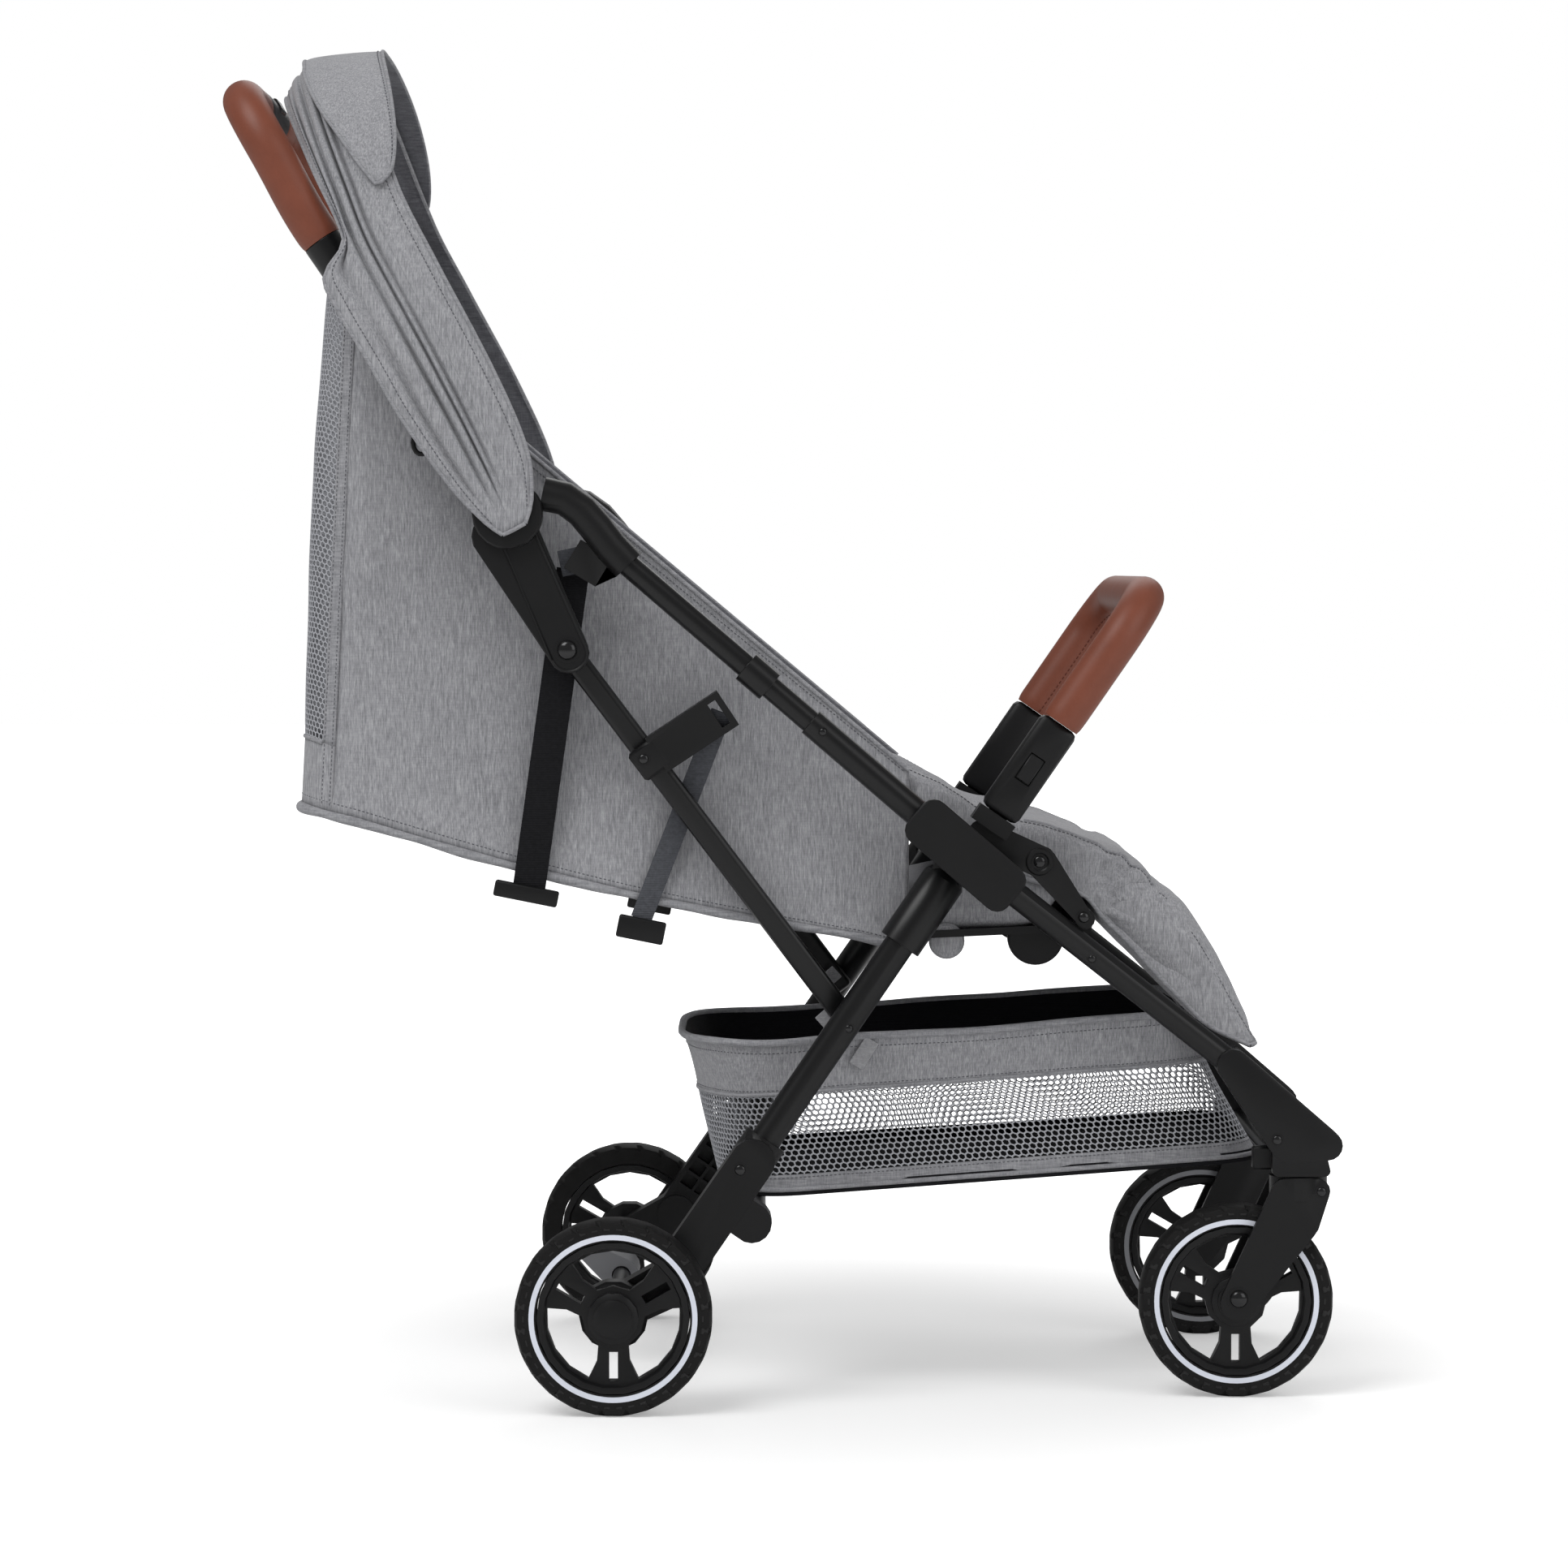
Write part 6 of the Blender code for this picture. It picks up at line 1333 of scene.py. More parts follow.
@dataclass
class KneeCover(ClothWork):
    """The loose cover that runs from the seat cushion over the knees and down the leg rest."""

    half_width: float = 0.1420
    edge: float = 0.011
    elbow: Point = (0.2300, 0.3850)
    seat_level: float = 0.4470
    drop: float = 0.0020
    ripple: float = 0.0030
    fine_ripple: float = 0.0008
    sink: float = 0.0012
    cut: float = 0.40
    binding_radius: float = 0.0018
    welt_radius: float = 0.0013
    welt_start: int = 20
    bend_start: Point = (0.214, 0.0, 0.44)
    bend_end: Point = (0.262, 0.0, 0.40)
    creases: tuple = (
        (62.0, 8.0, 0.0040), (40.0, 6.0, 0.0062), (14.0, 5.0, 0.0056), (-8.0, 6.0, 0.0062),
        (-34.0, 6.0, 0.0060),
    )
    cloth: float = 0.0026
    inside: Point = (0.22, 0.0, 0.38)
    steps: int = 60
    upper: tuple = (
        (0.088, 0.4930), (0.108, 0.4850), (0.130, 0.4730), (0.150, 0.4600), (0.175, 0.4535),
        (0.205, 0.4455), (0.235, 0.4350), (0.262, 0.4255), (0.2800, 0.4115), (0.2950, 0.3950),
        (0.3120, 0.3700), (0.3330, 0.3360), (0.3520, 0.3030), (0.3655, 0.2770),
    )
    lower: tuple = (
        (0.0830, 0.4740), (0.1040, 0.4560), (0.1300, 0.4300), (0.1500, 0.4190), (0.1750, 0.4080),
        (0.2050, 0.3990), (0.2300, 0.3920), (0.2440, 0.3760), (0.2560, 0.3640), (0.2680, 0.3520),
        (0.2850, 0.3330), (0.3060, 0.3110), (0.3280, 0.2900), (0.3600, 0.2745),
    )

    def __post_init__(self) -> None:
        """Smooths both side-view lines."""
        self.tops = [self.curve(self.upper, share) for share in shares(self.steps)]
        self.bottoms = [self.curve(self.lower, share) for share in shares(self.steps)]

    @staticmethod
    def curve(points: Sequence[Point], share: float) -> Vector:
        """A point of the smooth line through some points, at a share of its count."""
        place = share * (len(points) - 1)
        return Vector([smooth_table([(k, p[axis]) for k, p in enumerate(points)], place) for axis in (0, 1)])

    def rule(self, along: float, across: float) -> Vector:
        """A point of the cover.

        Args:
            along: 0 at the seat, the number of steps at the leg rest's tip.
            across: -1 to 1 over the top, and beyond that down the sides to -2 and 2.

        Returns:
            The point.
        """
        top, bottom = self.tops[int(along)], self.bottoms[int(along)]
        side, away = math.copysign(1.0, across), abs(across)
        height, flat = (top - bottom).length, self.half_width - self.edge
        if away <= 1.0:
            spot, out = at_y(top, side * flat * away), Vector((0.3, 0.0, 1.0))
            sunk = max(spot.z - self.seat_level, 0.0) * smooth_step(0.97, 0.60, away)
            sunk *= smooth_step(0.200, 0.165, spot.x)
            spot.z -= self.drop * away**6 + sunk
        else:
            run = (away - 1.0) * (self.edge * math.pi / 2 + max(height - self.edge, 0.0))
            turn = min(run / self.edge, math.pi / 2)
            down = self.edge * (1.0 - math.cos(turn)) + max(run - self.edge * math.pi / 2, 0.0)
            spot = at_y(mix(top, bottom, min(down / height, 1.0)), side * (flat + self.edge * math.sin(turn)))
            spot.z -= self.drop
            out = Vector((0.2 * math.cos(turn), side * math.sin(turn), math.cos(turn)))
        reach = Vector((spot.x - self.elbow[0], spot.z - self.elbow[1]))
        fold = self.crease(reach) * smooth_step(0.55, 1.20, away)
        ripple = self.ripple * wander(spot.x * 26.0, spot.y * 12.0, spot.z * 26.0)
        fine = self.fine_ripple * wander(spot.x * 80.0, spot.y * 50.0, spot.z * 80.0)
        inner = smooth_step(0.0, 4.0, min(along, float(self.steps) - along))
        return spot + out.normalized() * ((fold + ripple) * inner + fine - self.sink)

    def crease(self, reach: Vector) -> float:
        """How far the creases that fan out from the elbow push the cloth, below 0 for inwards."""
        degrees = math.degrees(math.atan2(reach.y, reach.x)) if reach.length > 0.0 else 0.0
        fold = 0.0
        for angle, width, depth in self.creases:
            near = depth * math.exp(-(((degrees - angle) / width) ** 2))
            fold -= near * smooth_step(0.012, 0.03, reach.length) * smooth_step(0.16, 0.05, reach.length)
        return fold

    def build(self) -> None:
        """Makes the cover, its binding and its seams."""
        acrosses = shares(18, -2.0, -1.0)[:-1] + shares(44, -1.0, 1.0) + shares(18, 1.0, 2.0)[1:]
        cover = self.panel("knee_cover", self.rule, range(self.steps + 1), acrosses)
        self.add(cover)
        self.cut_from(cover, self.cut, "draped", "seat_cushion_pad", "leg_rest_pad")
        for name, side in SIDES:
            lower = resampled([self.rule(k, side * 2.0) for k in range(self.steps + 1)], 0.005)
            self.add(self.pipe(f"knee_binding_{name}", lower, self.binding_radius, Finish.HEM, 10))
            welt = resampled([self.rule(k, side * 1.05) for k in range(self.welt_start, self.steps)], 0.004)
            self.add(self.pipe(f"knee_welt_{name}", welt, self.welt_radius, Finish.HEM, 8))
            lift = Vector((0.0, side * 0.0003, 0.0002))
            seam = [self.rule(k, side * 1.12) + lift for k in range(1, self.steps)]
            self.add(self.stitches(f"knee_stitches_{name}", seam, self.away))
        tip = resampled([self.rule(self.steps, a) for a in acrosses], 0.005)
        self.add(self.pipe("knee_tip_binding", tip, self.binding_radius, Finish.HEM, 10))

    def add(self, made: bpy.types.Object) -> None:
        """Bakes a piece's place into its mesh."""
        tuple(self.bend_start)
        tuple(self.bend_end)
        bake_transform(made)
        log.info("piece %s between the frame and the leg support", made.name)


@dataclass
class Basket(ClothWork):
    """The shopping basket: a heather band at its rim, netted walls and a cloth floor."""

    rear_half: float = 0.146
    front_half: float = 0.118
    floor_share: float = 0.90
    plan_size: Point = (0.41, 0.135)
    front_corner: Point = (0.08, 0.30)
    rear_corner: Point = (0.15, 0.72)
    rear_rim: Point = (-0.0830, 0.2675)
    front_rim: Point = (0.3149, 0.296)
    rear_floor: Point = (-0.0530, 0.1546)
    front_floor: Point = (0.3729, 0.1827)
    band: float = 0.66
    lower_band: float = 0.10
    floor_sag: float = 0.004
    hollow: float = 0.0030
    ripple: float = 0.0030
    fine_ripple: float = 0.0010
    rim_sag: float = 0.0035
    rear_lift: float = 0.0040
    wall_cut: float = 1.1
    floor_cut: float = 0.44
    tab_size: Point = (0.024, 0.0026, 0.012)
    inside: Point = (0.13, 0.0, 0.24)
    pitch: float = 0.0052
    thread: float = 0.00115
    tabs: tuple = ((0.0603, 0.1365, 0.2662, 0.5), (0.0351, 0.1405, 0.2977, 0.9))

    def __post_init__(self) -> None:
        """Works out the plan."""
        long_side, half_side = self.plan_size
        line = []
        corners = ((1.0 - self.front_corner[0], self.front_corner), (self.rear_corner[0], self.rear_corner))
        for corner, (x, (long, wide)) in enumerate(corners):
            for k in range(25):
                turn = math.radians(90.0 * corner + 90.0 * k / 24)
                line.append(Vector((x + long * math.cos(turn), 1.0 - wide + wide * math.sin(turn))))
        loop = line + [Vector((p.x, -p.y)) for p in reversed(line)]
        scaled = [Vector((p.x * long_side, p.y * half_side)) for p in loop + loop[:1]]
        self.around = [Vector((p.x / long_side, p.y / half_side)) for p in resampled(scaled, 0.004)]

    def rule(self, turn: float, share: float) -> Vector:
        """A point of the basket's outer face.

        Args:
            turn: from 0 to 1 round the plan.
            share: 0 at the floor, 1 at the rim.

        Returns:
            The point.
        """
        place = turn * (len(self.around) - 1)
        k = min(int(place), len(self.around) - 2)
        spot = mix(self.around[k], self.around[k + 1], place - k)
        rear = mix(Vector(self.rear_floor), Vector(self.rear_rim), share)
        front = mix(Vector(self.front_floor), Vector(self.front_rim), share)
        half = mix(self.rear_half, self.front_half, spot.x) * mix(self.floor_share, 1.0, share)
        return at_y(mix(rear, front, spot.x), half * spot.y)

    def soft(self, turn: float, share: float) -> Vector:
        """A point of the cloth, which hangs in at its middle and ripples a little."""
        spot = self.rule(turn, share)
        ripple = wander(spot.x * 16.0, spot.y * 16.0, spot.z * 9.0)
        fine = wander(spot.x * 44.0, spot.y * 44.0, spot.z * 30.0)
        inwards = self.hollow + self.ripple * ripple + self.fine_ripple * fine
        inwards *= math.sin(math.pi * within(share)) ** 0.6
        high = smooth_step(0.5, 1.0, share)
        sag = self.rim_sag * wander(spot.x * 11.0, spot.y * 9.0, 3.0) * high
        sag += self.rear_lift * (1.0 - spot.x / 0.1) * high * smooth_step(0.02, -0.07, spot.x)
        return spot - self.outwards(spot).normalized() * inwards + Vector((0.0, 0.0, sag))

    def outwards(self, point: Vector) -> Vector:
        """The level way out of the basket at a point."""
        return point - Vector((self.inside[0], 0.0, point.z))

    def build(self) -> None:
        """Makes the bands, the net, the floor, the hems, the tabs and the stitches."""
        turns, tubes = shares(260), ("rear_crossbar", "front_crossbar")
        band = self.panel("basket_band", self.soft, turns, shares(14, self.band, 1.0), lining=Finish.SHADE)
        self.add(band, "basket")
        self.cut_from(band, self.wall_cut, "hung", "rear_leg_left", "rear_leg_right")
        places = shares(6, 0.0, self.lower_band)
        lower = self.panel("basket_lower_band", self.soft, turns, places, Finish.HEM, Finish.SHADE)
        self.add(lower)
        self.cut_from(lower, self.wall_cut, "stretched", *tubes)
        run = sum((self.rule(b, 0.4) - self.rule(a, 0.4)).length for a, b in zip(turns, turns[1:]))
        height = (self.rule(0.25, self.band) - self.rule(0.25, self.lower_band)).length

        def wall(u: float, v: float) -> Vector:
            """A point of the netted wall."""
            return self.soft(u, mix(self.lower_band, self.band, v))

        self.add(self.net("basket_net", wall, round(run / self.pitch) * self.pitch, height))
        middle = at_y(mix(Vector(self.rear_floor), Vector(self.front_floor), 0.5), 0.0)
        middle -= Vector((0.0, 0.0, self.floor_sag))
        rows = [[mix(middle, self.soft(turn, 0.01), k / 12) for k in range(13)] for turn in turns]
        floor = self.grid("basket_floor", rows, Finish.SHADE)
        self.face_away(floor)
        self.wall(floor, self.cloth)
        self.add(floor)
        self.cut_from(floor, self.floor_cut, "stretched", *tubes)
        for name, share, radius, finish, sides in (
            ("rim_hem", 1.0, 0.0030, Finish.HEM, 10), ("floor_hem", 0.0, 0.0020, Finish.HEM, 10),
            ("band_hem", self.band, 0.0015, Finish.HEM, 10), ("floor_edge", -0.030, 0.0016, Finish.SHADE, 8),
        ):
            loop = resampled([self.soft(turn, share) for turn in turns], 0.006)[:-1]
            self.add(self.pipe(f"basket_{name}", loop, radius, finish, sides, closed=True))
        for name, side in SIDES:
            for number, (x, y, z, lean) in enumerate(self.tabs):
                tab = (Vector((x, side * y, z)), Vector((lean, 0.0, 0.8)), self.tab_size, Finish.TAB, 0.0006)
                self.add(self.slab(f"basket_tab_{number}_{name}", *tab))
        for number, share in enumerate((self.band + 0.025, 0.93, self.lower_band - 0.02)):
            row = [self.soft(turn, share) for turn in shares(500)]
            self.add(self.stitches(f"basket_stitches_{number}", row, self.outwards))

    def add(self, made: bpy.types.Object, *nodes: str) -> None:
        """Lets a piece ride on the rear legs' body, where the basket hangs."""
        self.settle(made, "rear_legs", "heather_fabric", *nodes)


@dataclass
class Pads(SubAssembly):
    """The stuffed pieces: the seat cushion, the backrest pad and the leg rest."""

    voxel: float = 0.0055
    shrink: float = 0.0016
    most: float = 0.0034
    pressure: float = 4.0
    stiffness: float = 18.0
    frames: int = 20
    fills: tuple = (("seat_cushion", 0.6), ("backrest_pad", 0.45), ("leg_rest", 0.65))

    def build(self) -> None:
        """Makes the three pads."""
        for node, fill in self.fills:
            self.make_pad(node, fill)

    def make_pad(self, node: str, fill: float) -> None:
        """Stuffs one pad by a cloth simulation of the node's own shape.

        Args:
            node: the node that it stands for.
            fill: how full it is.
        """
        pad = self.link(node + "_pad", self.copy_of(node), Finish.HEATHER, 180.0)
        self.apply(pad, "REMESH", mode="VOXEL", voxel_size=self.voxel)
        self.apply(pad, "SMOOTH", factor=0.5, iterations=3)
        start = [v.co - v.normal * self.shrink for v in pad.data.vertices]
        for vertex, place in zip(pad.data.vertices, start):
            vertex.co = place
        self.inflate(pad, start)
        for vertex in pad.data.vertices:
            crinkle = noise.noise(vertex.co * 55.0) * 0.0005 + noise.noise(vertex.co * 21.0) * 0.0010
            vertex.co = vertex.co + vertex.normal * crinkle
        self.apply(pad, "SUBSURF", levels=1, render_levels=1)
        pad.data.materials.clear()
        pad.data.materials.append(self.palette.get(Finish.HEATHER))
        pad.data.shade_smooth()
        self.settle(pad, self.layout.body_of[node], "padding", node)

    def inflate(self, pad: bpy.types.Object, start: Sequence[Vector]) -> None:
        """Blows the pad up from inside and keeps each point near its start.

        Args:
            pad: the pad.
            start: where its points are.
        """
        cloth = pad.modifiers.new("Stuffing", "CLOTH")
        settings = cloth.settings
        settings.quality = 5
        settings.mass = 0.2
        for way in ("tension", "compression", "shear"):
            setattr(settings, way + "_stiffness", self.stiffness)
        settings.bending_stiffness = 0.8
        settings.use_pressure = True
        settings.uniform_pressure_force = self.pressure
        settings.effector_weights.gravity = 0.0
        cloth.point_cache.frame_start, cloth.point_cache.frame_end = 1, self.frames
        scene = bpy.context.scene
        for frame in range(1, self.frames + 1):
            scene.frame_set(frame)
        blown = pad.evaluated_get(bpy.context.evaluated_depsgraph_get()).data
        places = [v.co.copy() for v in blown.vertices]
        pad.modifiers.remove(cloth)
        scene.frame_set(1)
        for vertex, place, old in zip(pad.data.vertices, places, start):
            move = place - old
            if move.length > self.most:
                move *= self.most / move.length
            vertex.co = old + move

    @staticmethod
    def apply(made: bpy.types.Object, kind: str, **settings: object) -> None:
        """Adds a modifier to an object, with its settings, and keeps its result."""
        step = made.modifiers.new(kind, kind)
        for key, value in settings.items():
            setattr(step, key, value)
        shape = bpy.data.meshes.new_from_object(made.evaluated_get(bpy.context.evaluated_depsgraph_get()))
        made.modifiers.remove(step)
        made.data = shape


# Leather, wheels, fasteners and straps


@dataclass
class Grips(SubAssembly):
    """The stitched leather grips of the handle and the bumper bar, and the handle's middle housing."""

    corner: float = 0.045
    handle_angle: float = 124.4
    grip_angle: float = 120.0
    grip_length: float = 0.127
    grip_radius: float = 0.0165
    handle_half: float = 0.1655
    collar_top: Point = (-0.35493, 0.89288)
    bend_start: float = 0.00775
    housing_half: float = 0.058
    bumper_start: Point = (0.2096, 0.5238)
    bumper_angle: float = 55.4
    bumper_length: float = 0.118
    bumper_radius: float = 0.0158
    bumper_half: float = 0.1785
    gap: float = 0.0003
    overlap: float = 0.002
    leather_ends: tuple = (0.93, 0.975, 0.995)
    seam_pitch: float = 0.0042
    seam_stitch: float = 0.0030

    def build(self) -> None:
        """Makes both grips."""
        top = Vector(self.collar_top)
        start = polar(top, self.gap, self.handle_angle)
        end = polar(top, self.grip_length, self.grip_angle)
        low = polar(top, self.bend_start, self.handle_angle)
        high = polar(end, -self.corner, self.grip_angle)
        reach = 0.38 * (high - low).length
        arms = (polar(low, reach, self.handle_angle), polar(high, -reach, self.grip_angle))
        bend = [self.bezier(low, arms[0], arms[1], high, k / 12) for k in range(13)]
        path = self.arch([start] + bend, end, self.grip_angle, self.handle_half)
        self.wrap("handle", path, self.grip_radius, self.housing_half)
        start = polar(self.bumper_start, self.gap, self.bumper_angle)
        end = polar(self.bumper_start, self.bumper_length, self.bumper_angle)
        side = [start, polar(end, -self.corner, self.bumper_angle)]
        path = self.arch(side, end, self.bumper_angle, self.bumper_half)
        self.wrap("bumper", path, self.bumper_radius, 0.0)

    @staticmethod
    def bezier(a: Vector, b: Vector, c: Vector, d: Vector, t: float) -> Vector:
        """A point of a cubic curve."""
        return a * (1 - t) ** 3 + b * (3 * t * (1 - t) ** 2) + c * (3 * t * t * (1 - t)) + d * t**3

    def arch(self, side: Sequence[Vector], end: Vector, angle: float, half: float) -> list[Vector]:
        """The centre line up one side, across the top and down the other.

        Args:
            side: the side-view points up to the corner.
            end: the side-view point of the top.
            angle: the angle of the side's last run.
            half: half of the width between the sides.

        Returns:
            The points, from the left end to the right one.
        """
        points = [at_y(p, half) for p in side]
        for k in range(1, 17):
            turn = math.radians(90.0 * k / 16)
            place = polar(end, -self.corner * (1.0 - math.sin(turn)), angle)
            points.append(at_y(place, half - self.corner * (1.0 - math.cos(turn))))
        return points + [Vector((p.x, -p.y, p.z)) for p in reversed(points)]

    def wrap(self, name: str, path: Sequence[Vector], radius: float, free: float) -> None:
        """Wraps a line in stitched leather, with a plastic housing over its middle if there is a gap.

        Args:
            name: the name of the body that it rides on, and the start of its node's name.
            path: its centre line.
            radius: its radius.
            free: half of the width that the leather leaves free.
        """
        line = resampled(path, 0.003)
        runs = [[p for p in line if p.y > free], [p for p in line if p.y < -free]] if free else [line]
        for number, run in enumerate(runs):
            radii = [radius] * len(run)
            for k, share in enumerate(self.leather_ends):
                radii[k] = radii[-1 - k] = radius * share
            grip = self.pipe(f"{name}_leather_{number}", run, radii, Finish.LEATHER, 40)
            self.settle(grip, name, "leather", *(() if number else (name + "_grip",)))
            inner = self.seam_line(run, radius)
            thread = (Finish.SEAM, self.seam_pitch, self.seam_stitch)
            seam = self.stitches(f"{name}_seam_{number}", inner, self.seam_out, *thread)
            self.settle(seam, name, "leather")
        if free:
            reach = free + self.overlap
            middle = [p for p in line if abs(p.y) <= reach]
            swell = [radius * (0.97 + 0.05 * smooth_step(0.0, 0.006, reach - abs(p.y))) for p in middle]
            housing = self.pipe(f"{name}_housing", middle, swell, Finish.PLASTIC, 40)
            self.settle(housing, name, "plastic_black")

    def seam_line(self, run: Sequence[Vector], radius: float) -> list[Vector]:
        """The line on the grip's inner side that its seam follows."""
        found = []
        for k, point in enumerate(run):
            along, inwards = along_at(run, k), self.seam_out(point)
            inwards -= along * inwards.dot(along)
            found.append(point + inwards.normalized() * (radius + 0.0001))
        return found

    @staticmethod
    def seam_out(point: Vector) -> Vector:
        """The way out of the grip at its seam."""
        return Vector((0.0, -math.copysign(1.0, point.y), -0.6))


@dataclass
class WheelTrim(SubAssembly):
    """The pale rings and the raised blocks on the tyres' sides."""

    low: float = 0.0598
    high: float = 0.0643
    rise: float = 0.0005
    sunk: float = 0.002
    lugs: int = 46
    lug_low: float = 0.0672
    lug_high: float = 0.0728
    lug_layers: tuple = ((-0.0030, 0.0), (0.0008, 0.0), (0.0016, 0.0006))
    lug_fall: float = 0.0012

    def build(self) -> None:
        """Trims the rear wheels' outer faces and both faces of the front wheels."""
        for name, side in SIDES:
            self.trim("rear", name, side, side)
            for face in (side, -side):
                self.trim("front", name, side, face)

    def trim(self, end: str, name: str, side: float, face: float) -> None:
        """Makes the ring and the blocks of one tyre's side.

        Args:
            end: front or rear.
            name: left or right.
            side: 1 on the left, -1 on the right.
            face: 1 where it faces the left, -1 where it faces the right.
        """
        centre = at_y(self.layout.axles[end], side * self.layout.wheel_y[end])
        depths = []
        for k in range(12):
            turn = 2.0 * math.pi * (k + 0.5) / 12
            out = Vector((math.cos(turn), 0.0, math.sin(turn))) * (self.low + self.high) / 2
            start = centre + out + Vector((0.0, face * 0.1, 0.0))
            spot = self.layout.face_at(f"{end}_tyre_{name}", start, aside(-face))
            if spot:
                depths.append((spot.y - centre.y) * face)
        surface = max(depths) if depths else 0.012
        under, over, slant = surface - self.sunk, surface + self.rise, 0.0003
        profile = ((self.low, under), (self.low + slant, over), (self.high - slant, over), (self.high, under))
        finish, where = (Finish.RING, "outer") if face == side else (Finish.GREY_RING, "inner")
        ring = self.turned(f"{end}_ring_{name}_{where}", profile, centre, aside(face), finish, 96)
        for piece in (ring, self.blocks(f"{end}_lugs_{name}_{where}", centre, face, surface)):
            self.settle(piece, f"{end}_wheel_{name}", "tyre_rubber")

    def blocks(self, name: str, centre: Vector, face: float, surface: float) -> bpy.types.Object:
        """The raised blocks round a tyre's side.

        Args:
            name: the piece's name.
            centre: the wheel's middle.
            face: 1 where they face the left, -1 where they face the right.
            surface: the tyre side's distance from the middle.

        Returns:
            The blocks, as one piece.
        """
        built = bmesh.new()
        step = 2.0 * math.pi / self.lugs
        corners = ((-0.26, self.lug_low), (0.26, self.lug_low), (0.30, self.lug_high), (-0.30, self.lug_high))
        for k in range(self.lugs):
            rings = []
            for rise, inset in self.lug_layers:
                ring = []
                for a, radius in corners:
                    outer = radius > self.lug_low
                    turn = (k + a * (1.0 - inset * 220.0)) * step
                    out = Vector((math.cos(turn), 0.0, math.sin(turn)))
                    out *= radius - inset if outer else radius + inset
                    away = face * (surface + rise - self.lug_fall * outer)
                    ring.append(built.verts.new(centre + out + Vector((0.0, away, 0.0))))
                rings.append(ring)
            bridge(built, rings)
        # The blocks are painted lighter than the tyre, so the gaps between them read as painted shade.
        return self.solid(name, built, Finish.LUG_PAINTED_LIGHTER, 30.0)


@dataclass
class Fasteners(SubAssembly):
    """The rivets and screws that show, and the handle's hinge faces."""

    rows: tuple = (
        ("arm", "dome", (-0.1671, 0.5808), 0.0074), ("strap_guide", "screw", (-0.1095, 0.4974), 0.0036),
        ("rail", "screw", (0.0273, 0.5185), 0.0028), ("hub", "ringed", (0.1938, 0.4180), 0.0046),
        ("hub", "dome", (0.2278, 0.3754), 0.0042), ("front_leg", "screw", (0.2339, 0.3439), 0.0028),
        ("rear_leg", "screw", (0.0475, 0.2904), 0.0028), ("rear_bracket", "screw", (-0.0358, 0.1838), 0.0040),
        ("fork", "dome", (0.3496, 0.0785), 0.0068), ("fork", "screw", (0.4132, 0.1617), 0.0036),
        ("front_bracket", "screw", (0.3786, 0.2021), 0.0036),
    )
    sunk: float = -0.001
    dome_rise: float = 0.62
    screw_rise: float = 0.45
    ring: tuple = ((1.35, -0.001), (1.35, 0.0006), (1.6, 0.0016), (2.1, 0.0016), (2.3, 0.0006), (2.3, -0.001))
    washer: tuple = ((1.02, -0.001), (1.05, 0.0004), (1.35, 0.0003), (1.38, -0.001))
    hinge_profile: tuple = (
        (0.0, 0.0060), (0.0150, 0.0060), (0.0156, 0.0050), (0.0176, 0.0050), (0.0182, 0.0060),
        (0.0240, 0.0058), (0.0262, 0.0046), (0.0268, 0.0020), (0.0268, -0.0030), (0.0, -0.0030),
    )
    edge_low: float = 0.0138
    edge_high: float = 0.0205
    edge_radius: float = 0.0013

    def build(self) -> None:
        """Makes every fastener on both sides."""
        for number, (node, kind, place, radius) in enumerate(self.rows):
            for name, side in SIDES:
                self.fasten(f"{node}_{kind}_{number}_{name}", f"{node}_{name}", kind, place, radius, side)
        for name, side in SIDES:
            self.hinge_face(name, side)

    def hinge_face(self, name: str, side: float) -> None:
        """The round face of the handle's hinge and the raised edge of the arm below it, on one side."""
        root, pin = self.layout.hinge, self.layout.arm_pin
        spot = self.layout.side_face(f"arm_{name}", mix(pin, root, 0.45), side)
        if not spot:
            log.info("no arm face for %s", name)
            return
        centre = at_y(root, spot.y)
        disc = self.turned(f"hinge_face_{name}", self.hinge_profile, centre, aside(side), Finish.PLASTIC, 64)
        away = (root - pin).normalized()
        turned = math.degrees(math.atan2(away.y, away.x))
        line = [polar(pin, self.edge_low, turned + 90.0 + 180.0 * k / 16) for k in range(17)]
        line += [polar(root, self.edge_high, turned + 180.0 + lean) for lean in (40.0, -40.0)]
        path = [at_y(p, spot.y) for p in line]
        edge = self.pipe(f"arm_edge_{name}", path, self.edge_radius, Finish.PLASTIC, 8, closed=True)
        for piece in (disc, edge):
            self.settle(piece, self.layout.body_of[f"arm_{name}"], "plastic_black")

    def fasten(self, label: str, node: str, kind: str, place: Point, radius: float, side: float) -> None:
        """Makes one fastener on the face of a node.

        Args:
            label: the piece's name.
            node: the node that it sits in.
            kind: dome, screw or ringed.
            place: its side-view place.
            radius: its head's radius.
            side: 1 on the left, -1 on the right.
        """
        spot = self.layout.side_face(node, place, side)
        if not spot:
            log.info("no face for %s", label)
            return
        rise = radius * (self.dome_rise if kind == "dome" else self.screw_rise)
        turns = [math.radians(a) for a in range(12, 91, 13)]
        head = [(0.0, rise)] + [(radius * math.sin(turn), rise * math.cos(turn) ** 0.8) for turn in turns]
        head += [(radius, self.sunk), (0.0, self.sunk)]
        rim, profile, steps = ("_ring", self.ring, 40) if kind == "ringed" else ("_seat", self.washer, 32)
        seat = [(radius * share, height) for share, height in profile]
        for piece in (
            self.turned(label + "_head", head, spot, aside(side), Finish.RIVET, 32),
            self.turned(label + rim, seat, spot, aside(side), Finish.PLASTIC, steps),
        ):
            self.settle(piece, self.layout.body_of[node], "plastic_black")


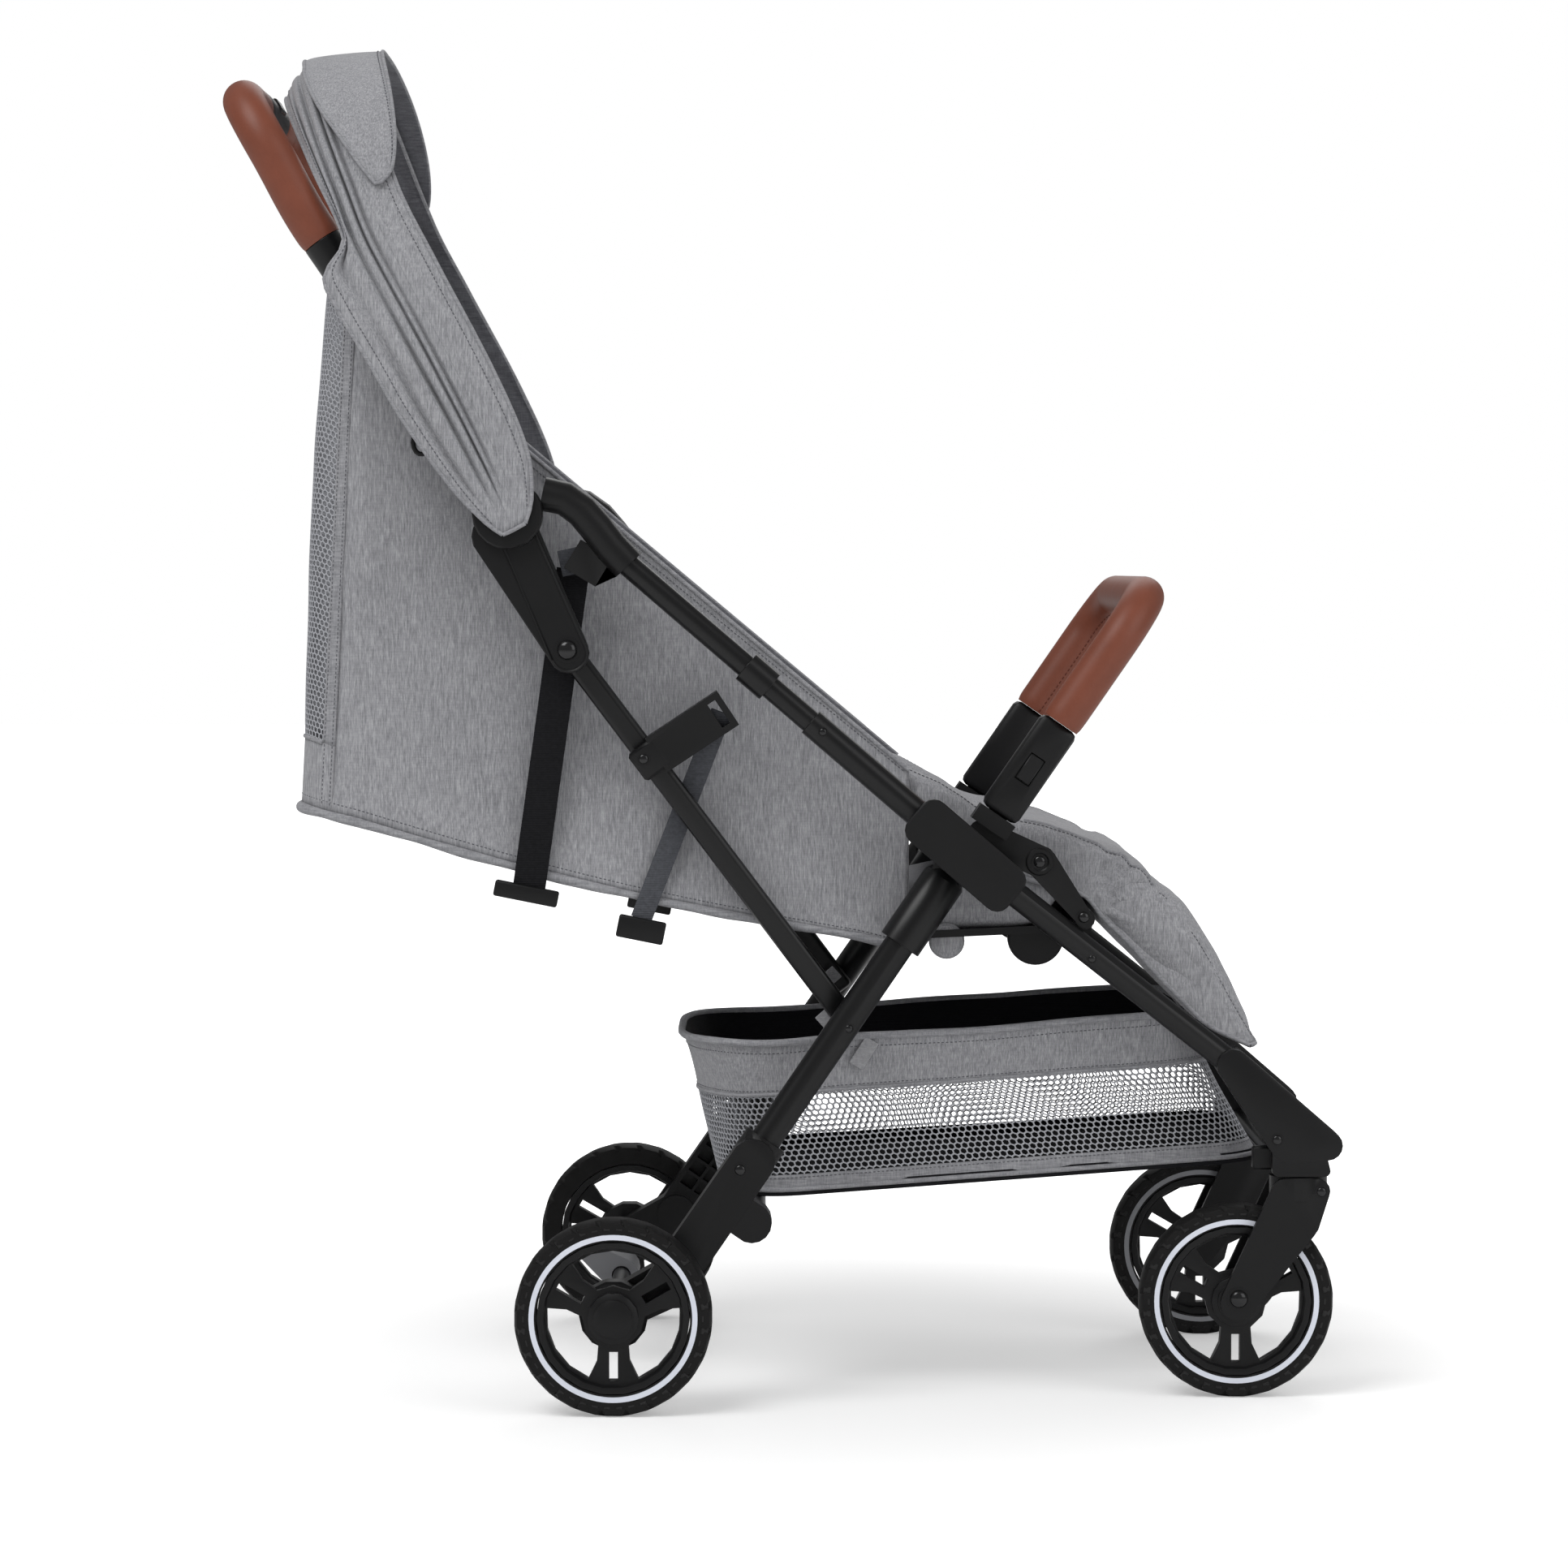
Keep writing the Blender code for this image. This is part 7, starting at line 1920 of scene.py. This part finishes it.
@dataclass
class Straps(SubAssembly):
    """The webbing beside the seat: wide and narrow straps, their buckles and the elbows' loops."""

    wide_top: Point = (-0.1634, 0.6420)
    wide_low: Point = (-0.2003, 0.3870)
    wide_route: tuple = ((0.0, 0.1775), (0.5, 0.1620), (1.0, 0.1512))
    narrow_top: Point = (-0.0500, 0.5330)
    narrow_low: Point = (-0.1125, 0.3720)
    narrow_route: tuple = ((0.0, 0.1830), (0.12, 0.1700), (0.5, 0.1560), (1.0, 0.1510))
    section: tuple = (
        (-0.5, 0.35), (-0.46, 0.5), (0.46, 0.5), (0.5, 0.35), (0.5, -0.35), (0.46, -0.5), (-0.46, -0.5),
        (-0.5, -0.35),
    )
    stop: tuple = (
        (0.0, 0.0035), (0.0200, 0.0035), (0.0218, 0.0022), (0.0222, 0.0), (0.0218, -0.0022),
        (0.0200, -0.0035), (0.0, -0.0035),
    )
    loop: tuple = (
        (0.0, 0.0062), (0.0080, 0.0058), (0.0122, 0.0040), (0.0140, 0.0), (0.0122, -0.0040),
        (0.0080, -0.0058), (0.0, -0.0062),
    )
    wide_size: Point = (0.0252, 0.0016)
    narrow_size: Point = (0.0165, 0.0014)
    buckles: tuple = (
        ("recline_buckle", (-0.2012, 0.1530, 0.3920), (0.050, 0.0095, 0.0125)),
        ("guide_buckle", (-0.1125, 0.1525, 0.3640), (0.037, 0.0085, 0.0175)),
    )
    buckle_rounding: float = 0.0018
    stop_place: Point = (0.1945, 0.118, 0.3555)
    loop_place: Point = (0.1245, 0.1345, 0.3535)
    elbow_place: Point = (-0.1600, 0.1830, 0.6490)
    elbow_size: Point = (0.027, 0.0032, 0.0200)
    elbow_rounding: float = 0.0006

    def build(self) -> None:
        """Makes the straps of both sides."""
        level = Vector((1.0, 0.0, -0.20)).normalized()
        for name, side in SIDES:
            wide = self.route(self.wide_top, self.wide_low, self.wide_route, side)
            strap = self.strap(f"recline_webbing_{name}", wide, *self.wide_size, Finish.WEBBING)
            self.add(strap, f"recline_strap_{name}")
            narrow = self.route(self.narrow_top, self.narrow_low, self.narrow_route, side)
            self.add(self.strap(f"guide_webbing_{name}", narrow, *self.narrow_size, Finish.GREY_WEBBING))
            for label, place, sizes in self.buckles:
                buckle = (on_side(place, side), level, sizes, Finish.PLASTIC, self.buckle_rounding)
                self.add(self.slab(f"{label}_{name}", *buckle))
            for label, place, profile, finish, slot, steps in (
                ("seat_stop", self.stop_place, self.stop, Finish.PLASTIC, "plastic_black", 48),
                ("seat_loop", self.loop_place, self.loop, Finish.HEATHER, "heather_fabric", 32),
            ):
                centre = on_side(place, side)
                piece = self.turned(f"{label}_{name}", profile, centre, aside(side), finish, steps)
                self.settle(piece, "frame", slot)
            centre, along = on_side(self.elbow_place, side), Vector((1.0, 0.0, 0.22))
            elbow = (centre, along, self.elbow_size, Finish.GREY_WEBBING, self.elbow_rounding)
            self.add(self.slab(f"elbow_loop_{name}", *elbow))

    @staticmethod
    def route(top: Point, low: Point, stops: Sequence[Point], side: float) -> list[Vector]:
        """A strap's centre line.

        Args:
            top: its upper end, in the side view.
            low: its lower end.
            stops: shares of the way down, and its distance from the middle there.
            side: 1 on the left, -1 on the right.

        Returns:
            The line's points.
        """
        return [at_y(mix(Vector(top), Vector(low), share), side * y) for share, y in stops]

    def strap(
        self, name: str, points: Sequence[Vector], width: float, thickness: float, finish: Finish
    ) -> bpy.types.Object:
        """A flat strap whose faces look left and right.

        Args:
            name: the piece's name.
            points: its centre line.
            width: its width.
            thickness: its thickness.
            finish: its finish.

        Returns:
            The strap.
        """
        line = resampled(points, 0.006)
        built = bmesh.new()
        rings = []
        for k, point in enumerate(line):
            along = along_at(line, k)
            across = along.cross(aside(1.0)).normalized()
            out = across.cross(along).normalized()
            corners = [point + across * width * a + out * thickness * b for a, b in self.section]
            rings.append([built.verts.new(corner) for corner in corners])
        bridge(built, rings)
        return self.solid(name, built, finish)

    def add(self, made: bpy.types.Object, *nodes: str) -> None:
        """Lets a piece ride on the frame, with a mesh of its own."""
        self.settle(made, "frame", "webbing", *nodes)
        self.crumple(made)


# Studio


class Studio:
    """The pale floor, the soft light and the camera."""

    lens = 105.06
    eye = Vector((-0.0214, -3.6808, 0.6438))
    pitch = 2.714
    yaw = 0.315
    floor_size = 30.0
    world_light = 0.50
    world_gloss = 0.22
    floor_ramp = {"From Min": 0.30, "From Max": 1.5, "To Min": 0.30, "To Max": 1.1}
    lamps = (
        ("key", (-1.7, -1.9, 3.5), (0.0, 0.0, 0.55), 2.2, 68.0),
        ("fill", (2.6, -2.2, 1.8), (0.0, 0.0, 0.5), 2.4, 26.0),
        ("rim", (0.4, 2.8, 2.6), (0.0, 0.0, 0.6), 2.4, 26.0),
    )

    def build(self) -> None:
        """Makes the whole studio."""
        self.make_floor()
        self.make_world()
        for lamp in self.lamps:
            self.make_lamp(*lamp)
        self.make_camera()
        bpy.context.scene.view_settings.view_transform = "Standard"

    def stand(self, name: str, data: bpy.types.ID, place: Point, look: Vector) -> bpy.types.Object:
        """Puts a lamp or a camera in the scene.

        Args:
            name: its name.
            data: its light or camera.
            place: where it stands.
            look: the way it looks.

        Returns:
            The new object.
        """
        made = bpy.data.objects.new(name, data)
        made.location = place
        made.rotation_mode = "QUATERNION"
        made.rotation_quaternion = look.to_track_quat("-Z", "Y")
        bpy.context.scene.collection.objects.link(made)
        return made

    def make_camera(self) -> None:
        """The camera at the photograph's viewing angle."""
        lens = bpy.data.cameras.new("camera")
        lens.lens = self.lens
        lens.sensor_width = 36.0
        tilt, turn = math.radians(self.pitch), math.radians(self.yaw)
        look = Vector((math.sin(turn) * math.cos(tilt), math.cos(turn) * math.cos(tilt), -math.sin(tilt)))
        bpy.context.scene.camera = self.stand("camera", lens, self.eye, look)

    def make_lamp(self, name: str, place: Point, target: Point, size: float, power: float) -> None:
        """A square soft lamp.

        Args:
            name: the lamp's name.
            place: where it stands.
            target: what it points at.
            size: its side.
            power: its power in watts.
        """
        light = bpy.data.lights.new(name, "AREA")
        light.size = size
        light.energy = power
        self.stand(name, light, place, Vector(target) - Vector(place))

    def make_floor(self) -> None:
        """The floor: pale, with a soft shadow, and white to the camera elsewhere."""
        mesh = bpy.data.meshes.new("floor")
        half = self.floor_size / 2
        corners = [(-half, -half, 0.0), (half, -half, 0.0), (half, half, 0.0), (-half, half, 0.0)]
        mesh.from_pydata(corners, [], [(0, 1, 2, 3)])
        floor = bpy.data.objects.new("floor", mesh)
        bpy.context.scene.collection.objects.link(floor)
        bench = Bench("pale_floor")
        bench.feed(Base_Color=(0.86, 0.86, 0.86), Roughness=0.9, Specular_IOR_Level=0.1)
        far = bench.node("VectorMath", {"operation": "LENGTH"}, {0: bench.places()}, "Value")
        values = {"Value": far, **self.floor_ramp}
        rise = bench.node("MapRange", {"interpolation_type": "SMOOTHSTEP"}, values)
        seen = bench.node("LightPath", out="Is Camera Ray") * rise
        bench.feed(Emission_Color=bench.blend(seen, (0.0, 0.0, 0.0), (1.0, 1.0, 1.0)), Emission_Strength=1.0)
        mesh.materials.append(bench.material)

    def make_world(self) -> None:
        """White to the camera, and a plain soft light on the object."""
        world = bpy.data.worlds.new("studio")
        world.use_nodes = True
        bpy.context.scene.world = world
        tree = world.node_tree
        shade = tree.nodes["Background"]
        shade.inputs["Color"].default_value = (1.0, 1.0, 1.0, 1.0)
        path = tree.nodes.new("ShaderNodeLightPath")
        seen = Wire(tree, path.outputs["Is Camera Ray"]) * (1.0 - self.world_light)
        glossy = Wire(tree, path.outputs["Is Glossy Ray"]) * (self.world_gloss - self.world_light)
        plug(tree, shade.inputs["Strength"], seen + glossy + self.world_light)


def main() -> None:
    """Builds the studio and then each sub-assembly."""
    logging.basicConfig(level=logging.INFO, format="%(name)s: %(message)s")
    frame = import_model()
    Studio().build()
    layout, palette = Layout(frame), Palette()
    parts = (RigidPieces, WheelTrim, Fasteners, Grips, Pads, SeatBucket, Straps, KneeCover, Basket, Canopy)
    for part in parts:
        log.info("building %s", part.__name__)
        part(layout, palette).build()


if __name__ == "__main__":
    main()
